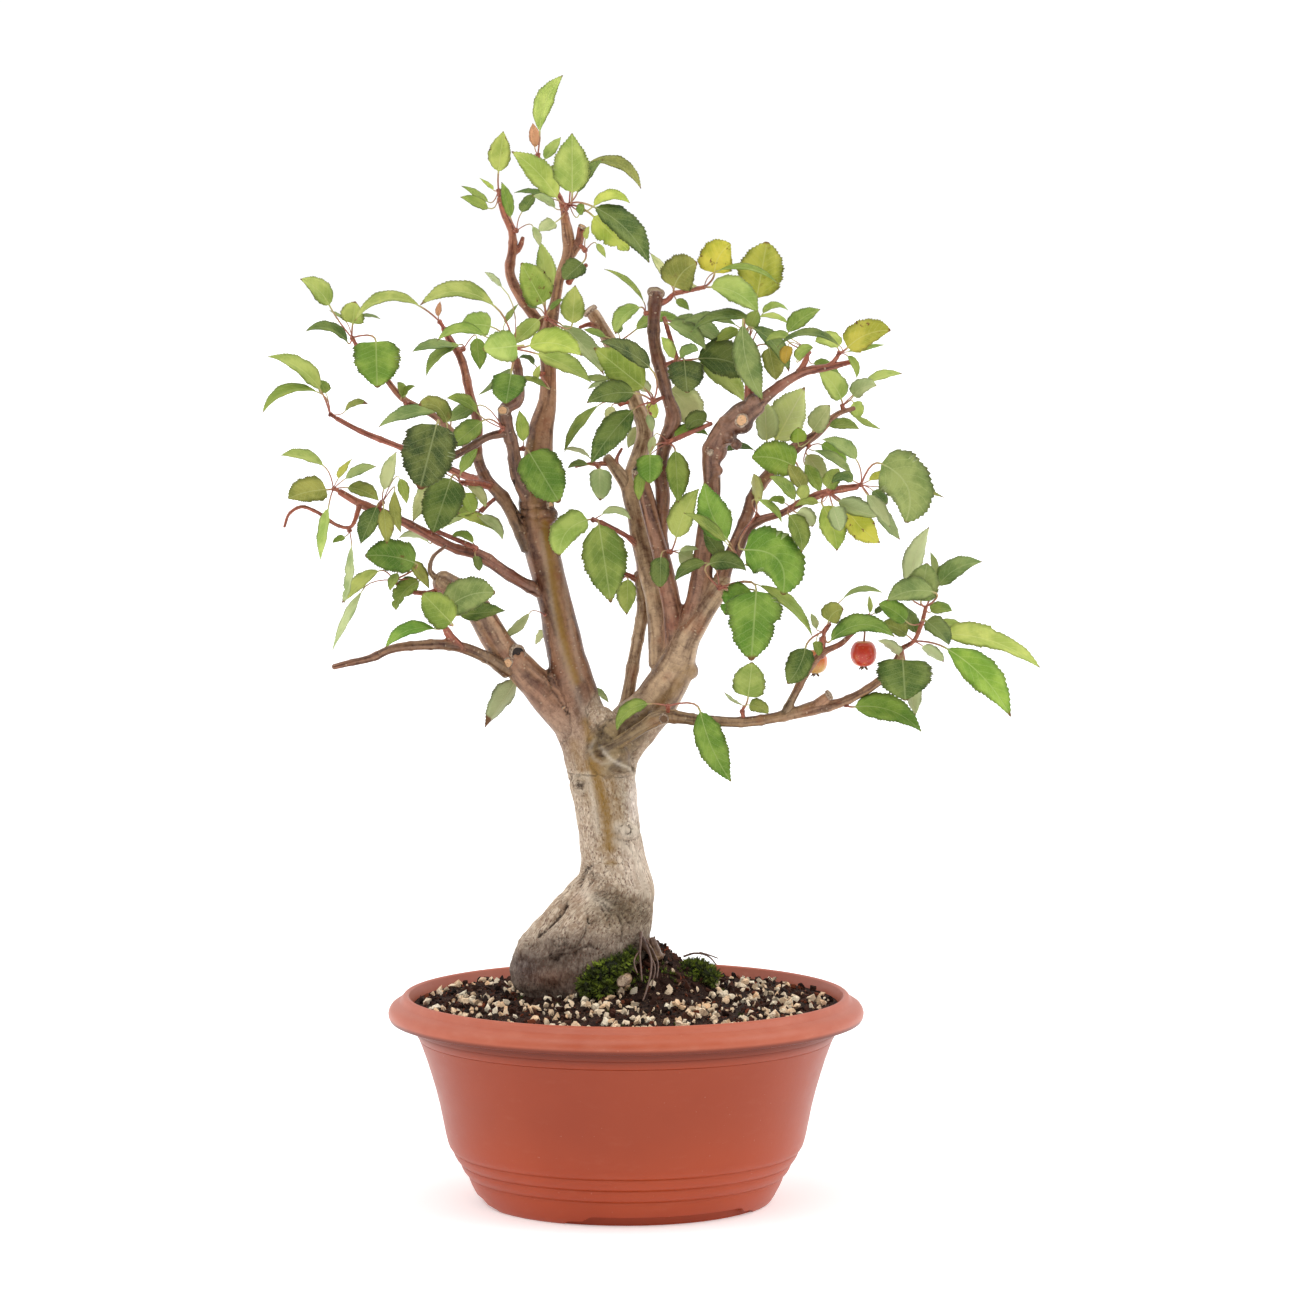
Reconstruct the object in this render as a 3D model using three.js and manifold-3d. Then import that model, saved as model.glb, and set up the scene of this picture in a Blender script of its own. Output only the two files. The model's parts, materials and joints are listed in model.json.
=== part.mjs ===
// A crabapple bonsai in its round training bowl: three.js 0.186 + manifold-3d, millimetres, +Z up.
// The origin is the middle of the bowl's flat underside, and the tree's front looks along -Y.
import * as THREE from 'three';
import { mergeVertices } from 'three/addons/utils/BufferGeometryUtils.js';
import Module from 'manifold-3d';

const wasm = await Module();
wasm.setup();

// ---------- driving dimensions, mm ----------
const UNIT = 0.6;              // one unit of the tree's elevation sheet
const GAP = 0.3;               // clearance between pieces that touch
const RIM_RADIUS = 143;        // widest point of the bowl's rolled lip
const FLOOR_THICKNESS = 4.8;   // the bowl's floor
const DRAIN_HOLES = 4;
const DRAIN_HOLE_RADIUS = 6;
const DRAIN_RING_RADIUS = 52;
const FOOT_NOTCHES = 3;        // stepped cut-outs that divide the base ring into feet
const NOTCH_HEIGHT = 6.3;
const NOTCH_SPAN = 1.33;       // radians
const NOTCH_TURN = 0.314;      // the front notch sits this far right of the front
const BASE_PANEL_RADIUS = 84.6;
const BLADE_THICKNESS = 0.8;
const STALK_HALF_WIDTH = 0.75; // leaf stalks are ribbons as thick as the blade
const LEAF_STRETCH = 10;       // a blade is split across about this often
const FOLDED_LEAF = 27;        // shorter blades are flat, with no fold at the midrib
const SPUR_RADIUS = 2.8;       // the woody knob that a bunch of leaves grows from
const TWIG_RADIUS = 1.2;        // the short twig between that knob and its limb
const BRANCH_STEP = 25;        // length of one straight piece of a bent limb
const POT_SEGMENTS = 28;       // straight sides of the bowl and of the soil in it

// ---------- the elevation sheet ----------
// The tree is drawn on a front elevation seen by an eye in front of it: u runs right, v runs down
// and depth runs back from the bowl's axis, all in sheet units.
const EYE_DISTANCE = 5100;
const EYE_U = 650;
const HORIZON_V = 228;
const AXIS_U = 626;
const GROUND_V = 1201;

// The place in space of a sheet point, carried along its sight line to its depth.
function place(u, v, depth) {
  const spread = 1 + depth / EYE_DISTANCE;
  const x = (u - EYE_U) * spread + EYE_U - AXIS_U;
  const z = GROUND_V - HORIZON_V - (v - HORIZON_V) * spread;
  return new THREE.Vector3(x, depth, z).multiplyScalar(UNIT);
}

// ---------- helpers ----------
const colours = {
  terracotta: '#bb6650', soil: '#3a2a22', wood: '#8b7a68', leaf: '#7f9a45', moss: '#5c7d22',
  fruitRed: '#c9502f', fruitGold: '#dca15a',
};

function solid(geometry) {
  geometry.deleteAttribute('normal');
  geometry.deleteAttribute('uv');
  const merged = mergeVertices(geometry, 1e-5);
  const mesh = new wasm.Mesh({
    numProp: 3,
    vertProperties: new Float32Array(merged.attributes.position.array),
    triVerts: new Uint32Array(merged.index.array),
  });
  const body = new wasm.Manifold(mesh);
  if (body.volume() < 0) throw new Error('A solid is inside out.');
  return body;
}

function fused(solids) {
  return wasm.Manifold.union(solids);
}

function largestPiece(body) {
  return body.decompose().reduce((best, piece) => (piece.volume() > best.volume() ? piece : best));
}

function shown(name, body, colour, roughness) {
  const data = body.getMesh();
  const geometry = new THREE.BufferGeometry();
  geometry.setAttribute('position', new THREE.BufferAttribute(new Float32Array(data.vertProperties), 3));
  geometry.setIndex(new THREE.BufferAttribute(new Uint32Array(data.triVerts), 1));
  geometry.computeVertexNormals();
  const material = new THREE.MeshStandardMaterial({ color: colour, roughness, metalness: 0 });
  const mesh = new THREE.Mesh(geometry, material);
  mesh.name = name;
  return mesh;
}

// A closed skin over rings of points that all turn the same way; each end is capped by a fan.
function lofted(rings) {
  const count = rings[0].length;
  const positions = rings.flat().flatMap((point) => point.toArray());
  const faces = [];
  for (let row = 0; row + 1 < rings.length; row += 1) {
    for (let i = 0; i < count; i += 1) {
      const next = (i + 1) % count;
      const a = row * count + i;
      const b = row * count + next;
      faces.push(a, b, a + count, b, b + count, a + count);
    }
  }
  const last = (rings.length - 1) * count;
  for (let i = 1; i + 1 < count; i += 1) {
    faces.push(0, i + 1, i, last, last + i, last + i + 1);
  }
  const geometry = new THREE.BufferGeometry();
  geometry.setAttribute('position', new THREE.Float32BufferAttribute(positions, 3));
  geometry.setIndex(faces);
  return solid(geometry);
}

function limbCurve(stations) {
  return new THREE.CatmullRomCurve3(stations.map(([u, v, depth]) => place(u, v, depth)));
}

// The radius at share t of the way through stations [u, v, depth, radius].
function radiusAlong(stations, t) {
  const along = t * (stations.length - 1);
  const low = Math.min(Math.floor(along), stations.length - 2);
  return THREE.MathUtils.lerp(stations[low][3], stations[low + 1][3], along - low) * UNIT;
}

// A tapering tube through stations, widened by extra mm.
function limb(stations, sides, extra) {
  const curve = limbCurve(stations);
  const fewest = Math.ceil(0.6 * (stations.length - 1));
  const segments = Math.max(fewest, Math.round(curve.getLength() / BRANCH_STEP));
  const frames = curve.computeFrenetFrames(segments, false);
  const rings = [];
  for (let i = 0; i <= segments; i += 1) {
    const t = curve.getUtoTmapping(i / segments);
    const radius = radiusAlong(stations, t) + extra;
    const end = i === 0 ? -extra : (i === segments ? extra : 0);
    const centre = curve.getPoint(t).addScaledVector(frames.tangents[i], end);
    const ring = [];
    for (let k = 0; k < sides; k += 1) {
      const angle = (2 * Math.PI * k) / sides;
      ring.push(centre.clone()
        .addScaledVector(frames.normals[i], Math.cos(angle) * radius)
        .addScaledVector(frames.binormals[i], Math.sin(angle) * radius));
    }
    rings.push(ring);
  }
  return lofted(rings);
}

// ---------- the bowl ----------
// Half section in sheet units, from the underside's middle out, up over the lip and down inside.
const BOWL_OUTSIDE = [
  [0, 0], [143, 0], [149, 12], [153, 25], [156, 27], [161, 37], [164, 39], [168, 48], [172, 51],
  [183, 82], [195, 124], [211, 168],
];
const BOWL_LIP = [
  [213, 181], [219, 192], [231, 188], [235, 183], [238.5, 190], [233, 200], [219, 209],
];
const BOWL_INSIDE = [
  [206, 168], [189, 122], [176, 72], [159, 39], [137, FLOOR_THICKNESS / UNIT], [0, FLOOR_THICKNESS / UNIT],
];

function bowl() {
  const scale = RIM_RADIUS / Math.max(...BOWL_LIP.map(([radius]) => radius));
  const profile = [...BOWL_OUTSIDE, ...BOWL_LIP, ...BOWL_INSIDE].map(
    ([radius, height]) => new THREE.Vector2(radius * scale, height * UNIT));
  const lathe = new THREE.LatheGeometry(profile, POT_SEGMENTS);
  lathe.rotateX(Math.PI / 2);
  let body = solid(lathe);
  for (let i = 0; i < DRAIN_HOLES; i += 1) {
    const hole = new THREE.CylinderGeometry(DRAIN_HOLE_RADIUS, DRAIN_HOLE_RADIUS, 6 * FLOOR_THICKNESS, 8);
    hole.rotateX(Math.PI / 2);
    hole.translate(DRAIN_RING_RADIUS, 0, 0);
    hole.rotateZ((2 * Math.PI * i) / DRAIN_HOLES);
    body = body.subtract(solid(hole));
  }
  for (let i = 0; i < FOOT_NOTCHES; i += 1) {
    const notch = new THREE.Shape();
    notch.absarc(0, 0, RIM_RADIUS, -NOTCH_SPAN / 2, NOTCH_SPAN / 2, false);
    notch.absarc(0, 0, BASE_PANEL_RADIUS, NOTCH_SPAN / 2, -NOTCH_SPAN / 2, true);
    const cut = new THREE.ExtrudeGeometry(notch, {
      depth: 2 * NOTCH_HEIGHT, bevelEnabled: false, curveSegments: 8,
    });
    cut.translate(0, 0, -NOTCH_HEIGHT);
    cut.rotateZ(-Math.PI / 2 + NOTCH_TURN + (2 * Math.PI * i) / FOOT_NOTCHES);
    body = body.subtract(solid(cut));
  }
  return body;
}

// ---------- the wood ----------
// The trunk: [v, left edge, right edge, half depth, depth of its axis].
const TRUNK = [
  [716, 548, 652, 24, 0], [732, 556, 650, 27, 0], [750, 563, 641, 31, 0], [769, 567, 636, 32, 0],
  [803, 574, 638, 31, 0], [838, 579, 642, 31, 0], [866, 580, 649, 34, 0], [890, 569, 655, 38, -2],
  [909, 546, 653, 43, -4], [932, 523, 650, 48, -6], [956, 512, 648, 50, -6], [980, 512, 644, 50, -4],
  [1010, 530, 636, 44, 0],
];
const TRUNK_SIDES = 12;

// Limbs, twigs and cut stubs: [sides, stations of [u, v, depth, radius]].
const LIMBS = [
  // left main stem, with its ring scar, up to the two prongs of the crown
  [7, [[590, 760, 0, 30], [580, 715, 0, 26], [567, 655, 1, 19.5], [555, 600, 3, 16.5], [545, 558, 5, 17.5],
    [537, 510, 8, 18.5], [538, 470, 9, 16], [541, 430, 10, 13], [548, 398, 10, 9], [549, 365, 10, 8],
    [549, 330, 10, 9], [556, 302, 12, 5.5], [561, 275, 14, 5], [570, 252, 15, 7], [568, 232, 15, 6],
    [565, 216, 15, 4.5]]],
  [4, [[572, 254, 15, 5], [580, 240, 12, 4.5], [582, 227, 11, 4]]],
  [3, [[569, 282, 14, 3], [576, 272, 10, 3], [587, 264, 6, 2]]],
  // left limb with its rough dead end
  [7, [[584, 730, 0, 22], [545, 690, -6, 18], [518, 662, -14, 15], [498, 640, -22, 14], [478, 606, -34, 13.5],
    [458, 588, -44, 13], [441, 577, -52, 11]]],
  // low twig on the left, and its spur
  [5, [[508, 668, -20, 8], [488, 655, -40, 6], [456, 643, -60, 5.5], [425, 642, -76, 5], [392, 646, -90, 4.5],
    [372, 655, -96, 4], [350, 660, -103, 3.5], [334, 664, -109, 3]]],
  [4, [[462, 645, -58, 4.5], [450, 632, -66, 4], [446, 625, -70, 3.5]]],
  // twigs of the left limb's end
  [3, [[446, 586, -48, 4], [428, 590, -54, 2.5], [411, 588, -58, 2.5], [398, 581, -60, 2]]],
  [3, [[440, 578, -50, 4], [431, 568, -54, 2.5], [434, 554, -58, 2], [447, 543, -60, 1.5]]],
  // rusty branch to the far left, and its thin hanging twig
  [5, [[545, 592, 0, 7], [525, 581, -10, 6], [508, 571, -18, 6], [480, 552, -28, 6], [455, 545, -36, 5],
    [422, 528, -46, 4.8], [392, 513, -54, 4.5], [360, 500, -60, 4], [341, 489, -62, 3.5]]],
  [3, [[362, 500, -60, 3], [352, 524, -66, 1.8], [340, 523, -68, 1.8], [318, 509, -72, 1.8], [303, 504, -74, 1.8],
    [291, 511, -76, 1.6], [286, 524, -77, 1.4]]],
  // olive branch up the left side
  [5, [[530, 545, 2, 9], [517, 518, 0, 7.5], [505, 497, 4, 6.5], [486, 474, 14, 6], [478, 450, 24, 5.5],
    [479, 424, 32, 5], [471, 392, 42, 4.8], [463, 358, 52, 4.2], [450, 336, 58, 3.6], [445, 326, 60, 3]]],
  [4, [[492, 484, 8, 4], [478, 481, -6, 3.5], [467, 480, -16, 3]]],
  // knobby branch inside the left half, with its cut and its side shoot
  [5, [[532, 498, 4, 9], [518, 474, -10, 7], [514, 446, -22, 6.5], [508, 424, -30, 6.5], [506, 407, -34, 7],
    [519, 398, -38, 5.5], [520, 376, -42, 5], [517, 358, -45, 4.5]]],
  [3, [[517, 362, -45, 4], [513, 348, -48, 3], [504, 338, -50, 2.2]]],
  [4, [[512, 430, -28, 4.5], [490, 434, -38, 4], [474, 443, -46, 4], [458, 452, -54, 3.5], [446, 458, -58, 3.5]]],
  // branch to the upper left
  [5, [[550, 334, 10, 7], [536, 316, 14, 6], [522, 296, 20, 5.5], [511, 272, 27, 5], [514, 248, 33, 4.6],
    [513, 230, 36, 4], [506, 214, 40, 4], [501, 198, 42, 3.2]]],
  [3, [[513, 254, 32, 3.5], [521, 246, 34, 3], [524, 237, 35, 2]]],
  // two branches at the back left
  [4, [[492, 482, 8, 5], [468, 474, 30, 4], [440, 462, 42, 3.6], [400, 444, 50, 3.2], [365, 430, 56, 3],
    [338, 416, 61, 2.6]]],
  [4, [[480, 456, 20, 5], [462, 438, 50, 4], [436, 414, 66, 3.6], [404, 396, 78, 3.4], [384, 372, 86, 3.2],
    [358, 343, 92, 2.8]]],
  // short twig inside the crown
  [3, [[567, 220, 15, 4], [560, 196, 24, 2.5], [545, 174, 28, 2.4], [540, 162, 28, 2.4]]],
  // right limb
  [8, [[608, 756, 0, 28], [632, 724, 0, 25], [656, 698, 0, 22], [674, 666, -4, 19], [688, 632, -12, 14],
    [706, 604, -20, 11.5], [722, 582, -26, 10]]],
  // grey stem at the back, its left fork with a cut end, and the twigs there
  [6, [[663, 662, 4, 14], [657, 600, 12, 12], [645, 552, 20, 11], [637, 514, 26, 10], [631, 484, 32, 10],
    [640, 452, 40, 9], [645, 428, 46, 9], [636, 402, 52, 8.5], [622, 366, 60, 8], [608, 336, 66, 7.5],
    [593, 312, 72, 7]]],
  [5, [[632, 490, 31, 8], [619, 470, 30, 6.5], [607, 455, 28, 5]]],
  [3, [[607, 461, 28, 3], [598, 461, 22, 2], [590, 461, 16, 1.6], [576, 464, 12, 1.4]]],
  [3, [[618, 468, 30, 3], [617, 456, 26, 1.8], [622, 446, 24, 1.4]]],
  [3, [[604, 328, 66, 4], [590, 323, 64, 2.4], [580, 326, 62, 1.6]]],
  [3, [[640, 544, 20, 5], [628, 534, 10, 2.6], [612, 525, -4, 2.6], [600, 519, -12, 2.6]]],
  // brown stem in front: a stub with a cut end, and the long shoot beside it
  [6, [[676, 650, -6, 12], [672, 605, -10, 10], [663, 560, -14, 9], [655, 530, -16, 8], [647, 498, -18, 8],
    [639, 470, -20, 7.5]]],
  [5, [[666, 572, -12, 7], [662, 530, -10, 6], [663, 494, -10, 7.5], [661, 462, -12, 6.5], [665, 440, -14, 7],
    [673, 414, -16, 8], [667, 394, -18, 6], [661, 368, -20, 7], [655, 344, -20, 6.2], [654, 316, -20, 6.2],
    [656, 293, -20, 7.6]]],
  [3, [[658, 302, -20, 4], [667, 299, -21, 2.6], [672, 294, -22, 2.4]]],
  [3, [[661, 366, -20, 4], [668, 362, -24, 2.4], [673, 360, -27, 2.2]]],
  // gnarled stem of the right half, with the wound at its bend and its long side shoot
  [6, [[684, 640, -10, 12], [700, 582, -20, 11], [705, 530, -26, 9], [712, 486, -32, 9], [712, 452, -36, 10],
    [722, 432, -40, 12], [740, 414, -44, 13], [758, 402, -48, 9]]],
  [4, [[752, 406, -47, 7], [776, 386, -50, 5], [803, 370, -54, 4.6], [828, 365, -58, 3.6], [854, 359, -60, 2.6]]],
  [3, [[820, 367, -57, 3], [830, 362, -59, 2.4], [836, 355, -61, 2.2]]],
  [3, [[796, 374, -53, 4], [803, 362, -53, 3], [806, 355, -53, 2.6]]],
  [4, [[750, 408, -46, 7], [749, 386, -38, 5], [749, 366, -33, 3.5], [746, 356, -30, 3]]],
  // striped stem running up to the right
  [5, [[716, 592, -24, 9], [730, 553, -22, 6.5], [744, 520, -16, 6.5], [756, 488, -8, 6.5], [773, 467, 0, 6],
    [794, 446, 8, 5.5], [816, 431, 16, 4.5], [836, 412, 24, 3], [853, 406, 28, 2.4]]],
  // red-brown shoot to the right
  [4, [[734, 556, -22, 5], [747, 528, -30, 4.5], [758, 518, -36, 4.4], [780, 511, -46, 3.6], [806, 497, -60, 4],
    [832, 488, -74, 4], [856, 484, -86, 3.2]]],
  // low branch to the right: it springs from the trunk's front, with a cut stub and two shoots
  [6, [[590, 752, -14, 12], [616, 741, -28, 9], [643, 724, -34, 6.8], [662, 714, -37, 7.5], [700, 717, -40, 5.5],
    [744, 719, -44, 5.2], [784, 713, -48, 5.5], [814, 705, -51, 7.5], [842, 699, -53, 4.6], [880, 677, -55, 4.5],
    [896, 658, -55, 4.2], [900, 650, -55, 4]]],
  [5, [[812, 706, -51, 6], [820, 699, -54, 5.5], [827, 694, -57, 5]]],
  [4, [[784, 713, -48, 5], [792, 696, -52, 4.2], [806, 670, -58, 4], [822, 650, -63, 3.6], [840, 641, -60, 3],
    [852, 630, -56, 2.6], [866, 617, -54, 2]]],
  [3, [[820, 654, -62, 4], [822, 640, -62, 3.4], [823, 634, -62, 3]]],
  // cut stem stub behind the crotch, with its twigs
  [5, [[624, 716, 12, 8], [630, 680, 16, 6.6], [637, 640, 20, 6], [643, 604, 24, 6.5], [641, 573, 27, 7]]],
  [3, [[642, 580, 26, 4], [630, 573, 24, 2.6], [624, 570, 23, 2]]],
  [3, [[640, 576, 27, 3], [638, 562, 27, 1.8], [637, 550, 27, 1.6]]],
];

// Bare roots: over the right shoulder of the soil, and down its front.
const ROOTS = [
  [4, [[640, 930, -26, 9], [650, 942, -24, 8], [662, 952, -20, 6], [668, 966, -18, 4]]],
  [3, [[644, 925, -30, 5], [643, 944, -42, 2.2], [641, 968, -52, 1.8], [642, 985, -60, 1.6]]],
];

function trunk(extra) {
  const rings = TRUNK.map(([v, left, right, halfDepth, depth]) => {
    const ring = [];
    for (let k = 0; k < TRUNK_SIDES; k += 1) {
      const angle = (2 * Math.PI * k) / TRUNK_SIDES;
      const point = place((left + right) / 2 + (Math.cos(angle) * (right - left)) / 2, v,
        depth - Math.sin(angle) * halfDepth);
      point.x += Math.cos(angle) * extra;
      point.y -= Math.sin(angle) * extra;
      ring.push(point);
    }
    return ring;
  });
  if (extra > 0) {
    rings[0].forEach((point) => { point.z += extra; });
    rings.at(-1).forEach((point) => { point.z -= extra; });
  }
  return lofted(rings);
}

function wood(extra) {
  return fused([trunk(extra), ...[...LIMBS, ...ROOTS].map(([sides, stations]) => limb(stations, sides, extra))]);
}

// ---------- soil and moss ----------
const SOIL_RINGS = [26, 52, 82, 116, 160, 212.5];   // sheet units from the bowl's axis
const SOIL_EDGE = 200;         // height where the soil meets the bowl, sheet units
const SOIL_CROWN = 11;         // rise towards the middle
const SOIL_RIPPLE = 1.6;       // height of the hummocks
const SOIL_SIDE_GAP = 1.2;     // clearance to the slanting wall, measured across
const SOIL_FLOOR_GAP = 0.6;
const MOUND = { x: 24, depth: 4, height: 50, wide: 32, deep: 36 };

// Height of the soil over a spot of the bowl, in sheet units.
function soilHeight(x, depth) {
  const radius = Math.hypot(x, depth);
  const across = ((x - MOUND.x) / MOUND.wide) ** 2 + ((depth - MOUND.depth) / MOUND.deep) ** 2;
  const inwards = SOIL_RINGS.at(-1) - radius;
  const crown = SOIL_CROWN * (1 - (radius / SOIL_RINGS.at(-1)) ** 2);
  const ripple = SOIL_RIPPLE * Math.sin(x * 0.19 + 2 * Math.sin(depth * 0.11)) * Math.cos(depth * 0.17);
  return SOIL_EDGE + crown + MOUND.height * Math.exp(-across / 2) + ripple * Math.min(1, inwards / 30);
}

function soil(clearanceOfWood) {
  const inside = BOWL_INSIDE.slice(0, -1).map(([radius, height]) => [radius - SOIL_SIDE_GAP, height + SOIL_FLOOR_GAP]);
  const ringAt = (radius, height) => {
    const ring = [];
    for (let k = 0; k < POT_SEGMENTS; k += 1) {
      const angle = (2 * Math.PI * k) / POT_SEGMENTS;
      const x = Math.cos(angle) * radius;
      const depth = Math.sin(angle) * radius;
      const z = height === null ? soilHeight(x, depth) : height;
      ring.push(new THREE.Vector3(x, depth, z).multiplyScalar(UNIT));
    }
    return ring;
  };
  const below = inside.reverse().map(([radius, height]) => ringAt(radius, height));
  const above = [...SOIL_RINGS].reverse().map((radius) => ringAt(radius, null));
  return largestPiece(lofted([...below, ...above]).subtract(clearanceOfWood));
}

// A moss cushion: [u, v, depth of its middle, half width, half height, half depth].
const MOSS = {
  moss_front: [604, 973, -50, 27, 22, 20],
  moss_right: [698, 967, 2, 19, 11, 18],
};

function moss([u, v, depth, halfWidth, halfHeight, halfDepth], cutters) {
  const ball = new THREE.SphereGeometry(1, 9, 6);
  ball.rotateX(Math.PI / 2);
  ball.scale(halfWidth * UNIT, halfDepth * UNIT, halfHeight * UNIT);
  ball.translate(...place(u, v, depth).toArray());
  return largestPiece(cutters.reduce((body, cutter) => body.subtract(cutter), solid(ball)));
}

// ---------- fruit ----------
// [u, v, depth of the fruit, radius, top of the stalk u, v, depth], in sheet units.
const FRUITS = {
  fruit_red: { at: [863, 650, -56], radius: 13, stalk: [864, 621, -55], colour: colours.fruitRed },
  fruit_gold: { at: [815, 658, -44], radius: 12, stalk: [820, 635, -60], colour: colours.fruitGold },
};
// Half section of a fruit of radius 1, from the dried calyx up to the hollow round the stalk.
const FRUIT_PROFILE = [
  [0, -1.26], [0.36, -1.3], [0.2, -1.02], [0.7, -0.74], [1, 0], [0.78, 0.66], [0.4, 0.9], [0, 0.8],
];

function fruit({ at, radius, stalk }) {
  const profile = FRUIT_PROFILE.map(([r, h]) => new THREE.Vector2(r, h).multiplyScalar(radius * UNIT));
  const flesh = new THREE.LatheGeometry(profile, 10);
  flesh.rotateX(Math.PI / 2);
  flesh.translate(...place(...at).toArray());
  const stem = limb([[at[0], at[1] - radius * 0.5, at[2], 1.4], [...stalk, 1.6]], 5, 0);
  return fused([solid(flesh), stem]);
}

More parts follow.
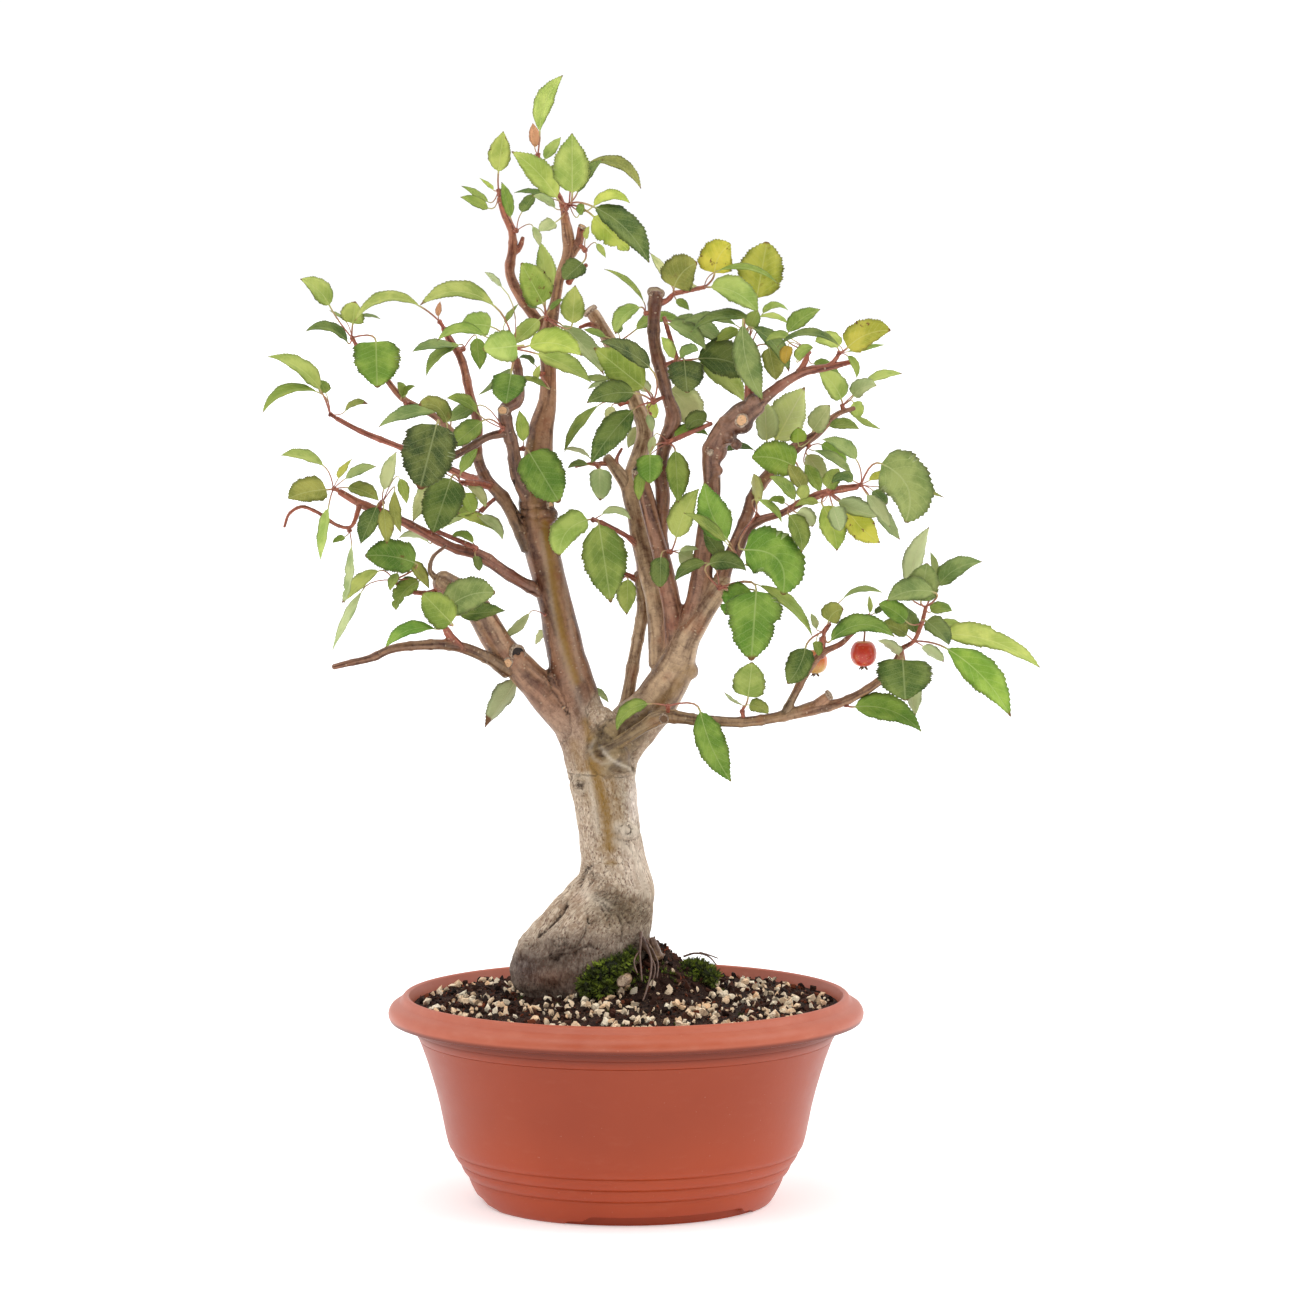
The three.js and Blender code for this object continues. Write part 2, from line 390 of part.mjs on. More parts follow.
// ---------- leaves ----------
// Each bunch: a spur (points of its woody stem, the first next to the branch) and its leaves.
// A leaf: [base u, v, tip u, v, width, roll, bow, base depth, tip depth]. Roll 0 shows the upper
// face from the front, 90 turns it to the sky and 180 shows the underside; bow lifts the middle.
const BUNCHES = {
  spray_back_left_high: { spur: [[354, 336, 91]], leaves: [
    [330, 304, 302, 280, 22, 40, 4, 88, 75], [355, 322, 358, 300, 28, 20, 0, 84, 78],
    [362, 316, 383, 318, 11, 70, 2, 102, 112], [350, 341, 308, 330, 22, 62, 9, 80, 62],
    [378, 340, 379, 386, 50, 8, 0, 70, 36]] },
  spray_far_left_high: { spur: [[332, 412, 62]], leaves: [
    [322, 388, 270, 357, 24, 60, 7, 52, 34], [320, 390, 265, 411, 22, 60, 12, 40, 22],
    [328, 391, 322, 378, 15, 30, 0, 66, 70], [347, 409, 370, 402, 14, 60, 4, 54, 44]] },
  spray_left_high: { spur: [[441, 320, 62]], leaves: [[422, 305, 357, 320, 26, 62, 15, 44, 26]] },
  spray_left_upper: { spur: [[465, 347, 46]], leaves: [
    [457, 345, 414, 350, 22, 62, 3, 34, 16], [461, 343, 428, 374, 22, 58, 6, 34, 22],
    [478, 336, 481, 368, 19, 20, 0, 30, 20]] },
  spray_knob_tip: { spur: [[515, 347, -52]], leaves: [
    [496, 303, 422, 302, 32, 55, 20, -46, -60], [503, 286, 486, 271, 14, 120, 0, -34, -28],
    [492, 325, 463, 325, 26, 20, 2, -66, -78], [506, 322, 520, 302, 12, 60, 0, -44, -40],
    [485, 334, 439, 339, 21, 58, 8, -84, -100], [518, 344, 484, 348, 34, 14, 0, -92, -108],
    [513, 366, 479, 393, 21, 66, -4, -60, -70], [512, 372, 507, 402, 36, 8, 0, -72, -92],
    [530, 344, 582, 354, 36, 42, 7, -68, -84], [538, 352, 592, 381, 30, 48, 3, -50, -58]] },
  spray_stem_left: { spur: [[541, 372, -2]], leaves: [
    [548, 386, 514, 379, 15, 64, 4, -18, -30], [535, 362, 520, 356, 14, 66, 2, -10, -16]] },
  spray_stem_high: { spur: [[547, 317, -4]], leaves: [
    [544, 302, 522, 262, 36, 25, 0, -12, -24], [546, 300, 541, 241, 28, 40, 2, 22, 40],
    [573, 322, 576, 284, 27, 15, 0, -22, -30]] },
  spray_crown_left: { spur: [[500, 190, 42]], leaves: [
    [500, 172, 505, 132, 26, 20, 0, 34, 24], [490, 202, 463, 186, 14, 60, 0, 34, 26],
    [490, 208, 462, 197, 18, 50, 0, 22, 8]] },
  spray_crown_left_low: { spur: [[518, 230, 30]], leaves: [
    [512, 217, 503, 182, 16, 40, 0, 24, 12], [523, 212, 536, 194, 16, 40, 0, 36, 40],
    [534, 226, 541, 246, 13, 50, 0, 26, 22]] },
  spray_crown_top: { spur: [[539, 155, 28]], leaves: [
    [541, 133, 564, 77, 25, 35, 6, 16, 6], [536, 148, 534, 124, 14, 30, 0, 34, 38],
    [546, 160, 562, 138, 16, 40, 0, 34, 40]] },
  spray_crown: { spur: [[566, 210, 14], [570, 204, 6]], leaves: [
    [558, 198, 513, 152, 29, 22, 4, -8, -22], [573, 193, 573, 134, 40, 8, 0, -22, -34],
    [578, 193, 604, 160, 22, 50, 3, 2, -2], [588, 166, 641, 193, 22, 62, 12, 16, 8],
    [546, 196, 515, 193, 15, 64, 2, 4, 6], [556, 208, 533, 196, 18, 60, 2, -2, -6],
    [556, 222, 540, 231, 18, 40, 0, -10, -16], [594, 206, 630, 203, 20, 55, 8, -26, -36],
    [597, 212, 648, 266, 30, 42, 5, -34, -52], [594, 216, 629, 250, 32, 15, 0, -14, -20]] },
  spray_crown_right: { spur: [[586, 250, 4]], leaves: [[583, 262, 564, 279, 26, 30, 0, -10, -16]] },
  spray_left_big: { spur: [[440, 457, -62]], leaves: [
    [438, 422, 421, 487, 56, 8, 0, -92, -110], [443, 407, 369, 421, 22, 62, 9, -40, -56],
    [448, 420, 420, 403, 24, 50, 8, -66, -78]] },
  spray_left_inner: { spur: [[504, 426, -44]], leaves: [
    [483, 419, 450, 446, 26, 30, 0, -62, -76], [478, 410, 448, 396, 20, 54, 4, -50, -58]] },
  spray_stem_mid: { spur: [[524, 446, -14]], leaves: [
    [522, 437, 515, 415, 14, 40, 0, -20, -24], [530, 450, 560, 500, 46, 12, 0, -34, -50]] },
  spray_left_stub: { spur: [[462, 480, -20]], leaves: [
    [452, 476, 434, 530, 42, 10, 0, -44, -62], [436, 474, 414, 519, 21, 30, 0, -24, -30],
    [462, 470, 479, 446, 20, 50, 0, -30, -30], [466, 490, 474, 511, 19, 30, 0, -36, -44]] },
  spray_left_low: { spur: [[482, 508, 6]], leaves: [
    [476, 506, 455, 513, 17, 50, 0, 4, 0], [480, 514, 503, 537, 20, 55, 4, -6, -18],
    [468, 514, 442, 527, 12, 60, 2, 8, 10]] },
  spray_rusty_knot: { spur: [[477, 545, -38]], leaves: [
    [474, 540, 451, 535, 15, 60, 5, -40, -44], [437, 545, 400, 535, 20, 115, 4, -52, -46]] },
  spray_far_left: { spur: [[335, 486, -64]], leaves: [
    [325, 463, 283, 453, 22, 62, 4, -62, -78], [328, 487, 290, 496, 32, 35, 2, -78, -98],
    [340, 476, 354, 456, 16, 60, 0, -56, -48], [347, 476, 378, 464, 16, 50, 2, -74, -84],
    [330, 505, 322, 557, 22, 56, 0, -84, -92]] },
  spray_far_left_low: { spur: [[384, 499, -58]], leaves: [
    [385, 487, 398, 449, 20, 40, 0, -68, -80], [396, 487, 402, 530, 18, 50, -4, -76, -84],
    [378, 504, 362, 541, 25, 30, 0, -78, -92], [385, 506, 388, 541, 19, 30, 0, -88, -98]] },
  spray_hanging_left: { spur: [[351, 528, -68]], leaves: [[353, 543, 345, 600, 18, 56, -3, -84, -92]] },
  spray_dead_end: { spur: [[395, 577, -62]], leaves: [
    [380, 568, 343, 600, 21, 48, 3, -58, -60], [400, 554, 364, 556, 34, 22, 2, -62, -76],
    [398, 570, 391, 588, 14, 40, 0, -70, -78], [368, 590, 337, 650, 18, 58, 0, -58, -62],
    [404, 590, 392, 604, 16, 50, 0, -64, -70]] },
  spray_left_lowest: { spur: [[442, 618, -76]], leaves: [
    [452, 620, 423, 590, 34, 15, 0, -96, -110], [448, 606, 496, 590, 38, 26, 6, -78, -90],
    [460, 612, 506, 608, 28, 50, 0, -62, -66], [436, 626, 386, 645, 22, 52, 8, -102, -120]] },
  spray_under_limb: { spur: [[524, 668, 6]], leaves: [[519, 678, 486, 726, 27, 125, 0, 8, -2]] },
  spray_inner_twig: { spur: [[593, 517, -18]], leaves: [
    [588, 517, 560, 553, 34, 32, 9, -26, -40], [602, 522, 614, 600, 44, 10, 0, -34, -46],
    [602, 512, 631, 517, 15, 60, 6, -22, -24]] },
  spray_fork: { spur: [[599, 464, 10]], leaves: [
    [590, 455, 564, 447, 16, 112, 2, 18, 24], [588, 462, 568, 466, 14, 60, 2, 4, 0],
    [600, 466, 600, 498, 25, 20, 0, 0, -8]] },
  spray_shoot_mid: { spur: [[653, 400, -32]], leaves: [
    [644, 386, 594, 346, 42, 24, 0, -42, -50], [650, 390, 622, 381, 24, 118, 2, -28, -30],
    [634, 391, 587, 401, 29, 32, 4, -58, -76], [633, 408, 591, 461, 31, 20, 2, -44, -62],
    [650, 366, 600, 340, 28, 48, 4, -62, -80], [648, 412, 652, 430, 12, 40, 0, -40, -44]] },
  spray_shoot_back: { spur: [[672, 396, -8]], leaves: [[670, 388, 694, 425, 36, 24, 5, 4, 14]] },
  spray_grey_stem: { spur: [[620, 402, 44]], leaves: [
    [599, 403, 565, 450, 19, 54, 4, 26, 14], [612, 404, 611, 425, 15, 35, 0, 40, 38],
    [614, 384, 588, 387, 18, 112, 2, 40, 44], [610, 378, 583, 376, 13, 55, 0, 52, 56]] },
  spray_shoot_low: { spur: [[668, 440, -24]], leaves: [
    [650, 452, 650, 481, 28, 8, 0, -48, -60], [642, 468, 639, 498, 16, 40, 0, -36, -40],
    [675, 448, 678, 500, 28, 28, 0, -30, -40], [674, 434, 708, 433, 18, 50, 6, -22, -26],
    [689, 426, 718, 415, 22, 42, 3, -34, -30]] },
  spray_shoot_high: { spur: [[677, 359, -30]], leaves: [
    [684, 359, 687, 391, 38, 8, 0, -46, -60], [674, 356, 661, 335, 17, 44, 0, -38, -46],
    [680, 355, 698, 349, 18, 54, 3, -44, -52], [697, 357, 757, 376, 44, 28, 7, -26, -14],
    [698, 361, 744, 400, 30, 34, 6, -12, 0], [668, 322, 705, 348, 27, 52, 4, -30, -38],
    [672, 320, 726, 350, 27, 48, 8, -10, -6]] },
  spray_shoot_left: { spur: [[645, 312, -22]], leaves: [
    [644, 301, 604, 268, 11, 56, 5, -18, -22], [640, 306, 616, 333, 24, 48, 6, -32, -40]] },
  spray_shoot_tip: { spur: [[675, 292, -23], [690, 289, -22], [704, 286, -20]], leaves: [
    [674, 286, 697, 262, 40, 18, 4, -36, -46], [671, 284, 650, 252, 15, 50, 0, -20, -20],
    [708, 272, 722, 243, 38, 12, 4, -26, -34], [717, 270, 777, 283, 13, 56, 9, -44, -54],
    [710, 286, 757, 311, 36, 42, 7, -34, -30]] },
  spray_grey_tip: { spur: [[619, 340, 62]], leaves: [
    [636, 328, 683, 321, 24, 56, 7, 40, 30], [619, 332, 615, 316, 13, 45, 0, 52, 50],
    [606, 335, 584, 328, 13, 55, 0, 44, 36]] },
  spray_right_crown: { spur: [[746, 349, -29]], leaves: [
    [752, 318, 690, 331, 22, 56, 9, -34, -46], [757, 316, 788, 323, 12, 60, 4, -20, -22],
    [736, 322, 682, 319, 15, 60, 6, -22, -30], [742, 322, 762, 398, 31, 16, -6, -62, -74],
    [752, 326, 788, 370, 24, 46, 6, -46, -54], [768, 346, 775, 378, 26, 30, 0, -32, -36],
    [749, 326, 757, 309, 17, 20, 0, -40, -46], [756, 297, 766, 241, 48, 12, 0, -4, 8],
    [762, 312, 787, 309, 13, 56, 6, 0, 6]] },
  spray_right_shoot: { spur: [[808, 350, -54]], leaves: [
    [787, 331, 819, 308, 23, 40, 3, -36, -30], [790, 337, 765, 340, 16, 56, 4, -66, -74],
    [796, 358, 812, 346, 15, 40, 3, -70, -78], [787, 344, 784, 362, 15, 30, 0, -64, -70],
    [812, 362, 838, 372, 15, 50, 3, -46, -42]] },
  spray_right_high: { spur: [[838, 351, -63]], leaves: [
    [846, 346, 889, 329, 33, 30, 5, -70, -80], [836, 346, 814, 340, 22, 40, 5, -52, -44],
    [838, 344, 776, 346, 16, 58, 13, -82, -98], [846, 354, 855, 376, 11, 40, 3, -68, -72],
    [846, 350, 884, 343, 12, 56, 0, -54, -50]] },
  spray_right_upper: { spur: [[841, 403, 26]], leaves: [
    [840, 397, 818, 370, 27, 30, 3, 16, 6], [852, 394, 875, 384, 22, 42, 4, 14, 8],
    [862, 384, 901, 372, 17, 56, 4, 34, 42], [852, 400, 858, 416, 18, 30, 0, 34, 38],
    [852, 413, 880, 427, 12, 56, -2, 34, 36]] },
  spray_right_bend: { spur: [[822, 424, 12]], leaves: [
    [828, 424, 858, 427, 17, 46, 3, 2, -4], [812, 428, 829, 403, 25, 30, 0, 4, -6],
    [797, 440, 797, 425, 18, 12, 0, -8, -12]] },
  spray_right_mid: { spur: [[787, 449, 0]], leaves: [
    [775, 438, 804, 385, 44, 165, 0, 26, 44], [766, 438, 764, 400, 28, 150, 0, 14, 22],
    [794, 464, 751, 455, 37, 18, 4, -26, -40], [754, 448, 715, 453, 15, 56, 6, -6, -12]] },
  spray_right_inner: { spur: [[808, 444, 10]], leaves: [
    [812, 448, 851, 473, 17, 54, 4, -6, -16], [820, 442, 844, 466, 22, 30, 3, 8, 4],
    [806, 452, 825, 478, 22, 150, 0, 20, 26]] },
  spray_right_tip: { spur: [[860, 482, -88]], leaves: [
    [855, 457, 821, 437, 21, 44, 4, -78, -72], [880, 461, 904, 520, 52, 12, 15, -98, -112],
    [866, 492, 889, 524, 21, 44, 0, -104, -116], [872, 500, 899, 537, 24, 54, -2, -84, -88],
    [872, 488, 886, 502, 17, 50, 0, -92, -98], [878, 484, 943, 495, 18, 54, 3, -76, -70],
    [868, 478, 890, 468, 13, 50, 0, -78, -70], [852, 478, 831, 481, 18, 56, 4, -94, -96]] },
  spray_right_twig: { spur: [[828, 490, -80]], leaves: [
    [826, 485, 838, 466, 19, 20, 0, -82, -88], [837, 498, 884, 514, 25, 115, -3, -78, -78],
    [832, 504, 840, 528, 23, 150, 0, -84, -92], [822, 503, 836, 548, 31, 20, 3, -66, -64],
    [846, 506, 879, 540, 31, 20, -3, -60, -54], [818, 500, 794, 504, 14, 56, 2, -80, -82]] },
  spray_right_knob: { spur: [[790, 505, -62]], leaves: [
    [788, 512, 801, 549, 25, 30, 4, -72, -72], [796, 510, 812, 524, 22, 150, 2, -66, -60],
    [794, 497, 768, 474, 19, 46, 3, -62, -70], [802, 486, 788, 462, 22, 40, 0, -50, -42],
    [800, 496, 807, 482, 16, 30, 0, -66, -70], [784, 500, 768, 499, 13, 56, 2, -60, -62]] },
  spray_right_bud: { spur: [[756, 512, -38]], leaves: [
    [757, 497, 781, 520, 13, 50, 4, -60, -64], [756, 500, 753, 471, 23, 120, 0, -28, -22],
    [748, 545, 788, 592, 54, 12, 20, -58, -78]] },
  spray_right_fork: { spur: [[738, 557, -34]], leaves: [
    [727, 537, 704, 479, 37, 20, -5, -52, -66], [726, 540, 683, 510, 17, 44, 3, -70, -84],
    [722, 555, 703, 528, 20, 30, 0, -48, -50], [744, 562, 786, 575, 19, 54, 5, -42, -48]] },
  spray_right_heart: { spur: [[719, 585, -42]], leaves: [
    [705, 560, 675, 578, 19, 48, 4, -58, -66], [709, 561, 746, 568, 25, 38, 5, -60, -70],
    [756, 588, 751, 658, 60, 10, 0, -70, -88], [752, 590, 725, 612, 36, 22, 3, -58, -64],
    [758, 582, 812, 634, 20, 50, 7, -58, -66]] },
  spray_shoot_base: { spur: [[671, 549, -20]], leaves: [
    [676, 535, 699, 486, 31, 28, 3, -30, -40], [678, 550, 697, 560, 23, 24, 0, -14, -10],
    [680, 547, 700, 546, 11, 56, 0, -28, -32], [661, 554, 660, 585, 22, 22, 0, -42, -50]] },
  spray_low_bud: { spur: [[742, 708, -50]], leaves: [
    [751, 697, 756, 662, 34, 12, 0, -62, -70], [742, 702, 724, 689, 13, 110, -3, -48, -44],
    [749, 702, 768, 711, 17, 36, 2, -68, -74]] },
  spray_low_knot: { spur: [[668, 703, -48]], leaves: [
    [693, 706, 725, 778, 35, 22, -4, -58, -68], [648, 701, 617, 728, 21, 46, 7, -58, -66]] },
  spray_low_spur: { spur: [[824, 628, -64], [829, 621, -64]], leaves: [
    [805, 645, 787, 681, 29, 26, -3, -72, -84], [828, 618, 843, 606, 24, 22, 3, -74, -80],
    [842, 596, 882, 590, 12, 62, 6, -62, -58], [830, 638, 894, 634, 27, 48, 14, -82, -92]] },
  spray_low_mid: { spur: [[846, 703, -54]], leaves: [[854, 704, 921, 729, 33, 34, 9, -56, -66]] },
  spray_low_tip: { spur: [[902, 645, -55], [913, 638, -55], [921, 620, -55], [925, 604, -55]], leaves: [
    [902, 657, 905, 698, 58, 6, 0, -72, -100], [898, 652, 877, 638, 22, 120, 2, -62, -66],
    [905, 662, 915, 713, 28, 130, 0, -42, -42], [945, 645, 1010, 714, 39, 25, 7, -72, -90],
    [944, 631, 1039, 665, 33, 46, 9, -50, -52], [936, 618, 968, 634, 15, 50, 3, -42, -40],
    [922, 643, 943, 659, 19, 130, 0, -58, -54], [925, 618, 948, 642, 28, 46, 2, -70, -78],
    [930, 609, 951, 608, 17, 46, 3, -46, -42], [937, 583, 981, 559, 27, 42, 6, -50, -56],
    [908, 588, 928, 524, 25, 150, 4, -40, -38], [920, 598, 926, 560, 34, 14, 0, -64, -70],
    [933, 578, 929, 549, 11, 40, 2, -48, -46], [932, 589, 886, 598, 31, 38, 5, -80, -92],
    [905, 618, 878, 601, 23, 30, 2, -72, -78], [906, 632, 881, 621, 21, 40, 2, -64, -66],
    [915, 630, 902, 602, 20, 40, 0, -50, -46]] },
};

const FOLD = 0.3;              // each half of a blade rises from the midrib by this angle, radians
const TOOTH_LEAN = 0.07;       // the cut edge leans forward and back by this share of the width
const BLADE_WIDTHS = [[1], [0.95, 0.75], [0.7, 1, 0.62], [0.6, 1, 0.8, 0.5]];
const FRONT = new THREE.Vector3(0, -1, 0);

// Where a leaf lies: its midrib, and which way across it is up.
function leafPose([baseU, baseV, tipU, tipV, , roll, bow, baseDepth, tipDepth]) {
  const base = place(baseU, baseV, baseDepth);
  const tip = place(tipU, tipV, tipDepth);
  const across = tip.clone().sub(base).cross(FRONT).normalize();
  const hand = across.z < 0 ? -1 : 1;
  const middle = base.clone().lerp(tip, 0.5).addScaledVector(across, 2 * hand * bow * UNIT);
  return { midrib: new THREE.QuadraticBezierCurve3(base, middle, tip), hand, roll: THREE.MathUtils.degToRad(roll) };
}

// One row of points across a leaf, with the direction out of its upper face there.
function leafRow(centre, along, { hand, roll }, halfWidth, places, lean) {
  const up = along.clone().cross(FRONT).normalize().multiplyScalar(hand);
  const front = FRONT.clone().addScaledVector(along, -along.dot(FRONT)).normalize();
  const side = up.clone().multiplyScalar(Math.cos(roll)).addScaledVector(front, -Math.sin(roll));
  const normal = front.clone().multiplyScalar(Math.cos(roll)).addScaledVector(up, Math.sin(roll));
  const points = places.map((spot) => centre.clone()
    .addScaledVector(side, -hand * spot * halfWidth * Math.cos(FOLD))
    .addScaledVector(normal, Math.abs(spot) * halfWidth * Math.sin(FOLD))
    .addScaledVector(along, lean * spot * halfWidth));
  return { points, normal };
}

// A leaf as one thin shell: a ribbon stalk from the spur, then a folded blade with a cut edge.
function leafShell(leaf, spur, extra) {
  const pose = leafPose(leaf);
  const length = pose.midrib.getLength();
  const places = length > FOLDED_LEAF ? [-1, 0, 1] : [-1, 1];
  const widths = BLADE_WIDTHS[THREE.MathUtils.clamp(Math.round(length / LEAF_STRETCH) - 1, 0, 3)];
  const base = pose.midrib.getPoint(0);
  const roots = spur.map(([u, v, depth]) => place(u, v, depth));
  const root = roots.reduce((best, point) => (
    point.distanceTo(base) < best.distanceTo(base) ? point : best));
  const stalk = base.clone().sub(root).normalize();
  const turn = stalk.clone().add(pose.midrib.getTangent(0)).normalize();
  const rows = [
    leafRow(root, stalk, pose, STALK_HALF_WIDTH + extra, [-1, 1], 0),
    leafRow(base, turn, pose, STALK_HALF_WIDTH + extra, [-1, 1], 0),
  ];
  widths.forEach((share, i) => {
    const t = (i + 1) / (widths.length + 1);
    const halfWidth = (share * leaf[4] * UNIT) / 2 + extra;
    const lean = TOOTH_LEAN * (i % 2 ? 1 : -1);
    rows.push(leafRow(pose.midrib.getPoint(t), pose.midrib.getTangent(t), pose, halfWidth, places, lean));
  });
  const ending = pose.midrib.getTangent(1);
  rows.push(leafRow(pose.midrib.getPoint(1).addScaledVector(ending, extra), ending, pose, 0, [0], 0));
  return thinShell(rows, BLADE_THICKNESS / 2 + extra);
}

// A closed shell between two copies of a strip of rows, both split into triangles alike.
function thinShell(rows, halfThickness) {
  const positions = [];
  const faces = [];
  const firsts = [];
  rows.forEach(({ points, normal }) => {
    firsts.push(positions.length / 6);
    points.forEach((point) => {
      positions.push(...point.clone().addScaledVector(normal, halfThickness).toArray());
      positions.push(...point.clone().addScaledVector(normal, -halfThickness).toArray());
    });
  });
  const both = (a, b, c) => faces.push(2 * a, 2 * b, 2 * c, 2 * a + 1, 2 * c + 1, 2 * b + 1);
  const wall = (a, b) => faces.push(2 * a, 2 * a + 1, 2 * b, 2 * b, 2 * a + 1, 2 * b + 1);
  for (let row = 0; row + 1 < rows.length; row += 1) {
    const [near, far] = [rows[row].points.length - 1, rows[row + 1].points.length - 1];
    let [i, j] = [0, 0];
    while (i < near || j < far) {
      const [a, b] = [firsts[row] + i, firsts[row + 1] + j];
      if (j < far && (i === near || (j + 1) * near <= (i + 1) * far)) {
        both(a, b, b + 1);
        j += 1;
      } else {
        both(a, b, a + 1);
        i += 1;
      }
    }
    wall(firsts[row], firsts[row + 1]);
    wall(firsts[row + 1] + far, firsts[row] + near);
  }
  wall(1, 0);
  const geometry = new THREE.BufferGeometry();
  geometry.setAttribute('position', new THREE.Float32BufferAttribute(positions, 3));
  geometry.setIndex(faces);
  return solid(geometry);
}

// Points along the axes of all limbs with the limb's radius there, to find where a bunch sits.
const LIMB_AXES = LIMBS.flatMap(([, stations]) => {
  const steps = 8 * stations.length;
  return limbCurve(stations).getPoints(steps).map((point, i) => (
    { point, radius: radiusAlong(stations, i / steps) }));
});

// The short twig that ties a spur to the nearest limb, where its knob doesn't reach the bark.
function spurTwig([u, v, depth], extra) {
  const spur = place(u, v, depth);
  const foot = LIMB_AXES.reduce((best, spot) => (
    spot.point.distanceTo(spur) < best.point.distanceTo(spur) ? spot : best));
  const reach = foot.point.distanceTo(spur);
  if (reach < foot.radius + SPUR_RADIUS * 0.6) return [];
  const twig = new THREE.CylinderGeometry(TWIG_RADIUS + extra, TWIG_RADIUS + extra, reach, 3);
  twig.applyQuaternion(new THREE.Quaternion().setFromUnitVectors(
    new THREE.Vector3(0, 1, 0), foot.point.clone().sub(spur).normalize()));
  twig.translate(...foot.point.clone().lerp(spur, 0.5).toArray());
  return [solid(twig)];
}

function spurKnobs(spur, extra) {
  const knobs = spur.map(([u, v, depth], i) => {
    const knob = new THREE.OctahedronGeometry((i === 0 ? SPUR_RADIUS : SPUR_RADIUS * 0.7) + extra, 0);
    knob.translate(...place(u, v, depth).toArray());
    return solid(knob);
  });
  if (spur.length > 1) knobs.push(limb(spur.map((point) => [...point, 2.2]), 4, extra));
  return [...knobs, ...spurTwig(spur[0], extra)];
}

function bunch({ spur, leaves }, extra) {
  return fused([...spurKnobs(spur, extra), ...leaves.map((leaf) => leafShell(leaf, spur, extra))]);
}

// ---------- assembly ----------
const group = new THREE.Group();
const tree = wood(0);
const treeRoom = wood(GAP);
const earth = soil(treeRoom);

group.add(shown('pot', bowl(), colours.terracotta, 0.55));
group.add(shown('soil', earth, colours.soil, 0.95));
group.add(shown('tree', tree, colours.wood, 0.8));

const taken = [treeRoom];
const earthRaised = earth.translate(0, 0, GAP);
Object.entries(MOSS).forEach(([name, cushion]) => {
  group.add(shown(name, moss(cushion, [treeRoom, earthRaised]), colours.moss, 1));
});
Object.entries(FRUITS).forEach(([name, apple]) => {
  const body = largestPiece(fruit(apple).subtract(treeRoom));
  group.add(shown(name, body, apple.colour, 0.35));
  taken.push(body);
});
Object.entries(BUNCHES).forEach(([name, leafBunch]) => {
  const body = taken.reduce((rest, other) => rest.subtract(other), bunch(leafBunch, 0));
  group.add(shown(name, largestPiece(body), colours.leaf, 0.6));
  taken.push(bunch(leafBunch, GAP));
});

export default group;
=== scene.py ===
"""A young crabapple bonsai in its round training bowl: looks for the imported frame, in metres, +Z up."""

import json
import math
import random

import bmesh
import bpy
import numpy as np
from mathutils import Matrix, Vector, kdtree, noise

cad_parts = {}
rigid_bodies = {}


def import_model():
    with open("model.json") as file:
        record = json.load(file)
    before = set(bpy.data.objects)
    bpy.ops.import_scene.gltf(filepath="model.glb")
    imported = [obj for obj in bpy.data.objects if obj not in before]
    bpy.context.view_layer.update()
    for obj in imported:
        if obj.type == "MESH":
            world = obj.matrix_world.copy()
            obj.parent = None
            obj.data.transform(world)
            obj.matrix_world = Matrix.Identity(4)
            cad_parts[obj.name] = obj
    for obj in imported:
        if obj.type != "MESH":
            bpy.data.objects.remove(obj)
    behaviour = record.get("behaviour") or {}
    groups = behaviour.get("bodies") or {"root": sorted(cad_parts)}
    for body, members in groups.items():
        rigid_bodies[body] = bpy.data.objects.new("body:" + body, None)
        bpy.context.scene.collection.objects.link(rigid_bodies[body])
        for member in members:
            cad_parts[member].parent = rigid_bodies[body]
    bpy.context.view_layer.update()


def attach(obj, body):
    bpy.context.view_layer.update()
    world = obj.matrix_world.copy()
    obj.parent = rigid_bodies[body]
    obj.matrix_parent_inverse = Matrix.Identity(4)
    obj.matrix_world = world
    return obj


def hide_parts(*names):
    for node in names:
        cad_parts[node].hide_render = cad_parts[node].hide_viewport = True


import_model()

# ---------- camera ----------
# The tree is drawn on a front elevation seen by an eye in front of it: u runs right, v runs down and
# depth runs back from the bowl's axis, all in units of 0.6 mm. The camera stands at that eye and is
# tipped down towards the middle of the object.
UNIT = 0.0006
EYE_DISTANCE = 5100
EYE_U = 650
HORIZON_V = 228
AXIS_U = 626
GROUND_V = 1201
SHEET_WIDTH = 1300
AIM_DROP = 419
LENS_REACH = 1.006
CLIP_END = 50


def place(u, v, depth):
    """The place in space of a sheet point, carried along its sight line to its depth."""
    spread = 1 + depth / EYE_DISTANCE
    x = (u - EYE_U) * spread + EYE_U - AXIS_U
    z = GROUND_V - HORIZON_V - (v - HORIZON_V) * spread
    return Vector((x, depth, z)) * UNIT


def shown(name, data):
    """An object of the scene that holds a mesh, a lamp or a camera."""
    made = bpy.data.objects.new(name, data)
    bpy.context.scene.collection.objects.link(made)
    return made


camera = shown("camera", bpy.data.cameras.new("camera"))
camera.location = ((EYE_U - AXIS_U) * UNIT, -EYE_DISTANCE * UNIT, (GROUND_V - HORIZON_V) * UNIT)
camera.rotation_euler = (math.pi / 2 - math.atan(AIM_DROP / EYE_DISTANCE), 0, 0)
camera.data.angle = 2 * math.atan(SHEET_WIDTH / 2 / EYE_DISTANCE / LENS_REACH)
camera.data.clip_end = CLIP_END
bpy.context.scene.camera = camera


# ---------- stage ----------
# A plain pale floor that runs back under even, soft studio light: a wide, soft key from above and in
# front, and a pale surround that is brighter at the sides than in front.
FLOOR_SIZE = 60.0


def paint(red, green, blue):
    """A colour on the 0 to 255 scale of a paint chart, as the linear light that nodes work in."""
    return tuple(((part / 255 + 0.055) / 1.055) ** 2.4 for part in (red, green, blue))


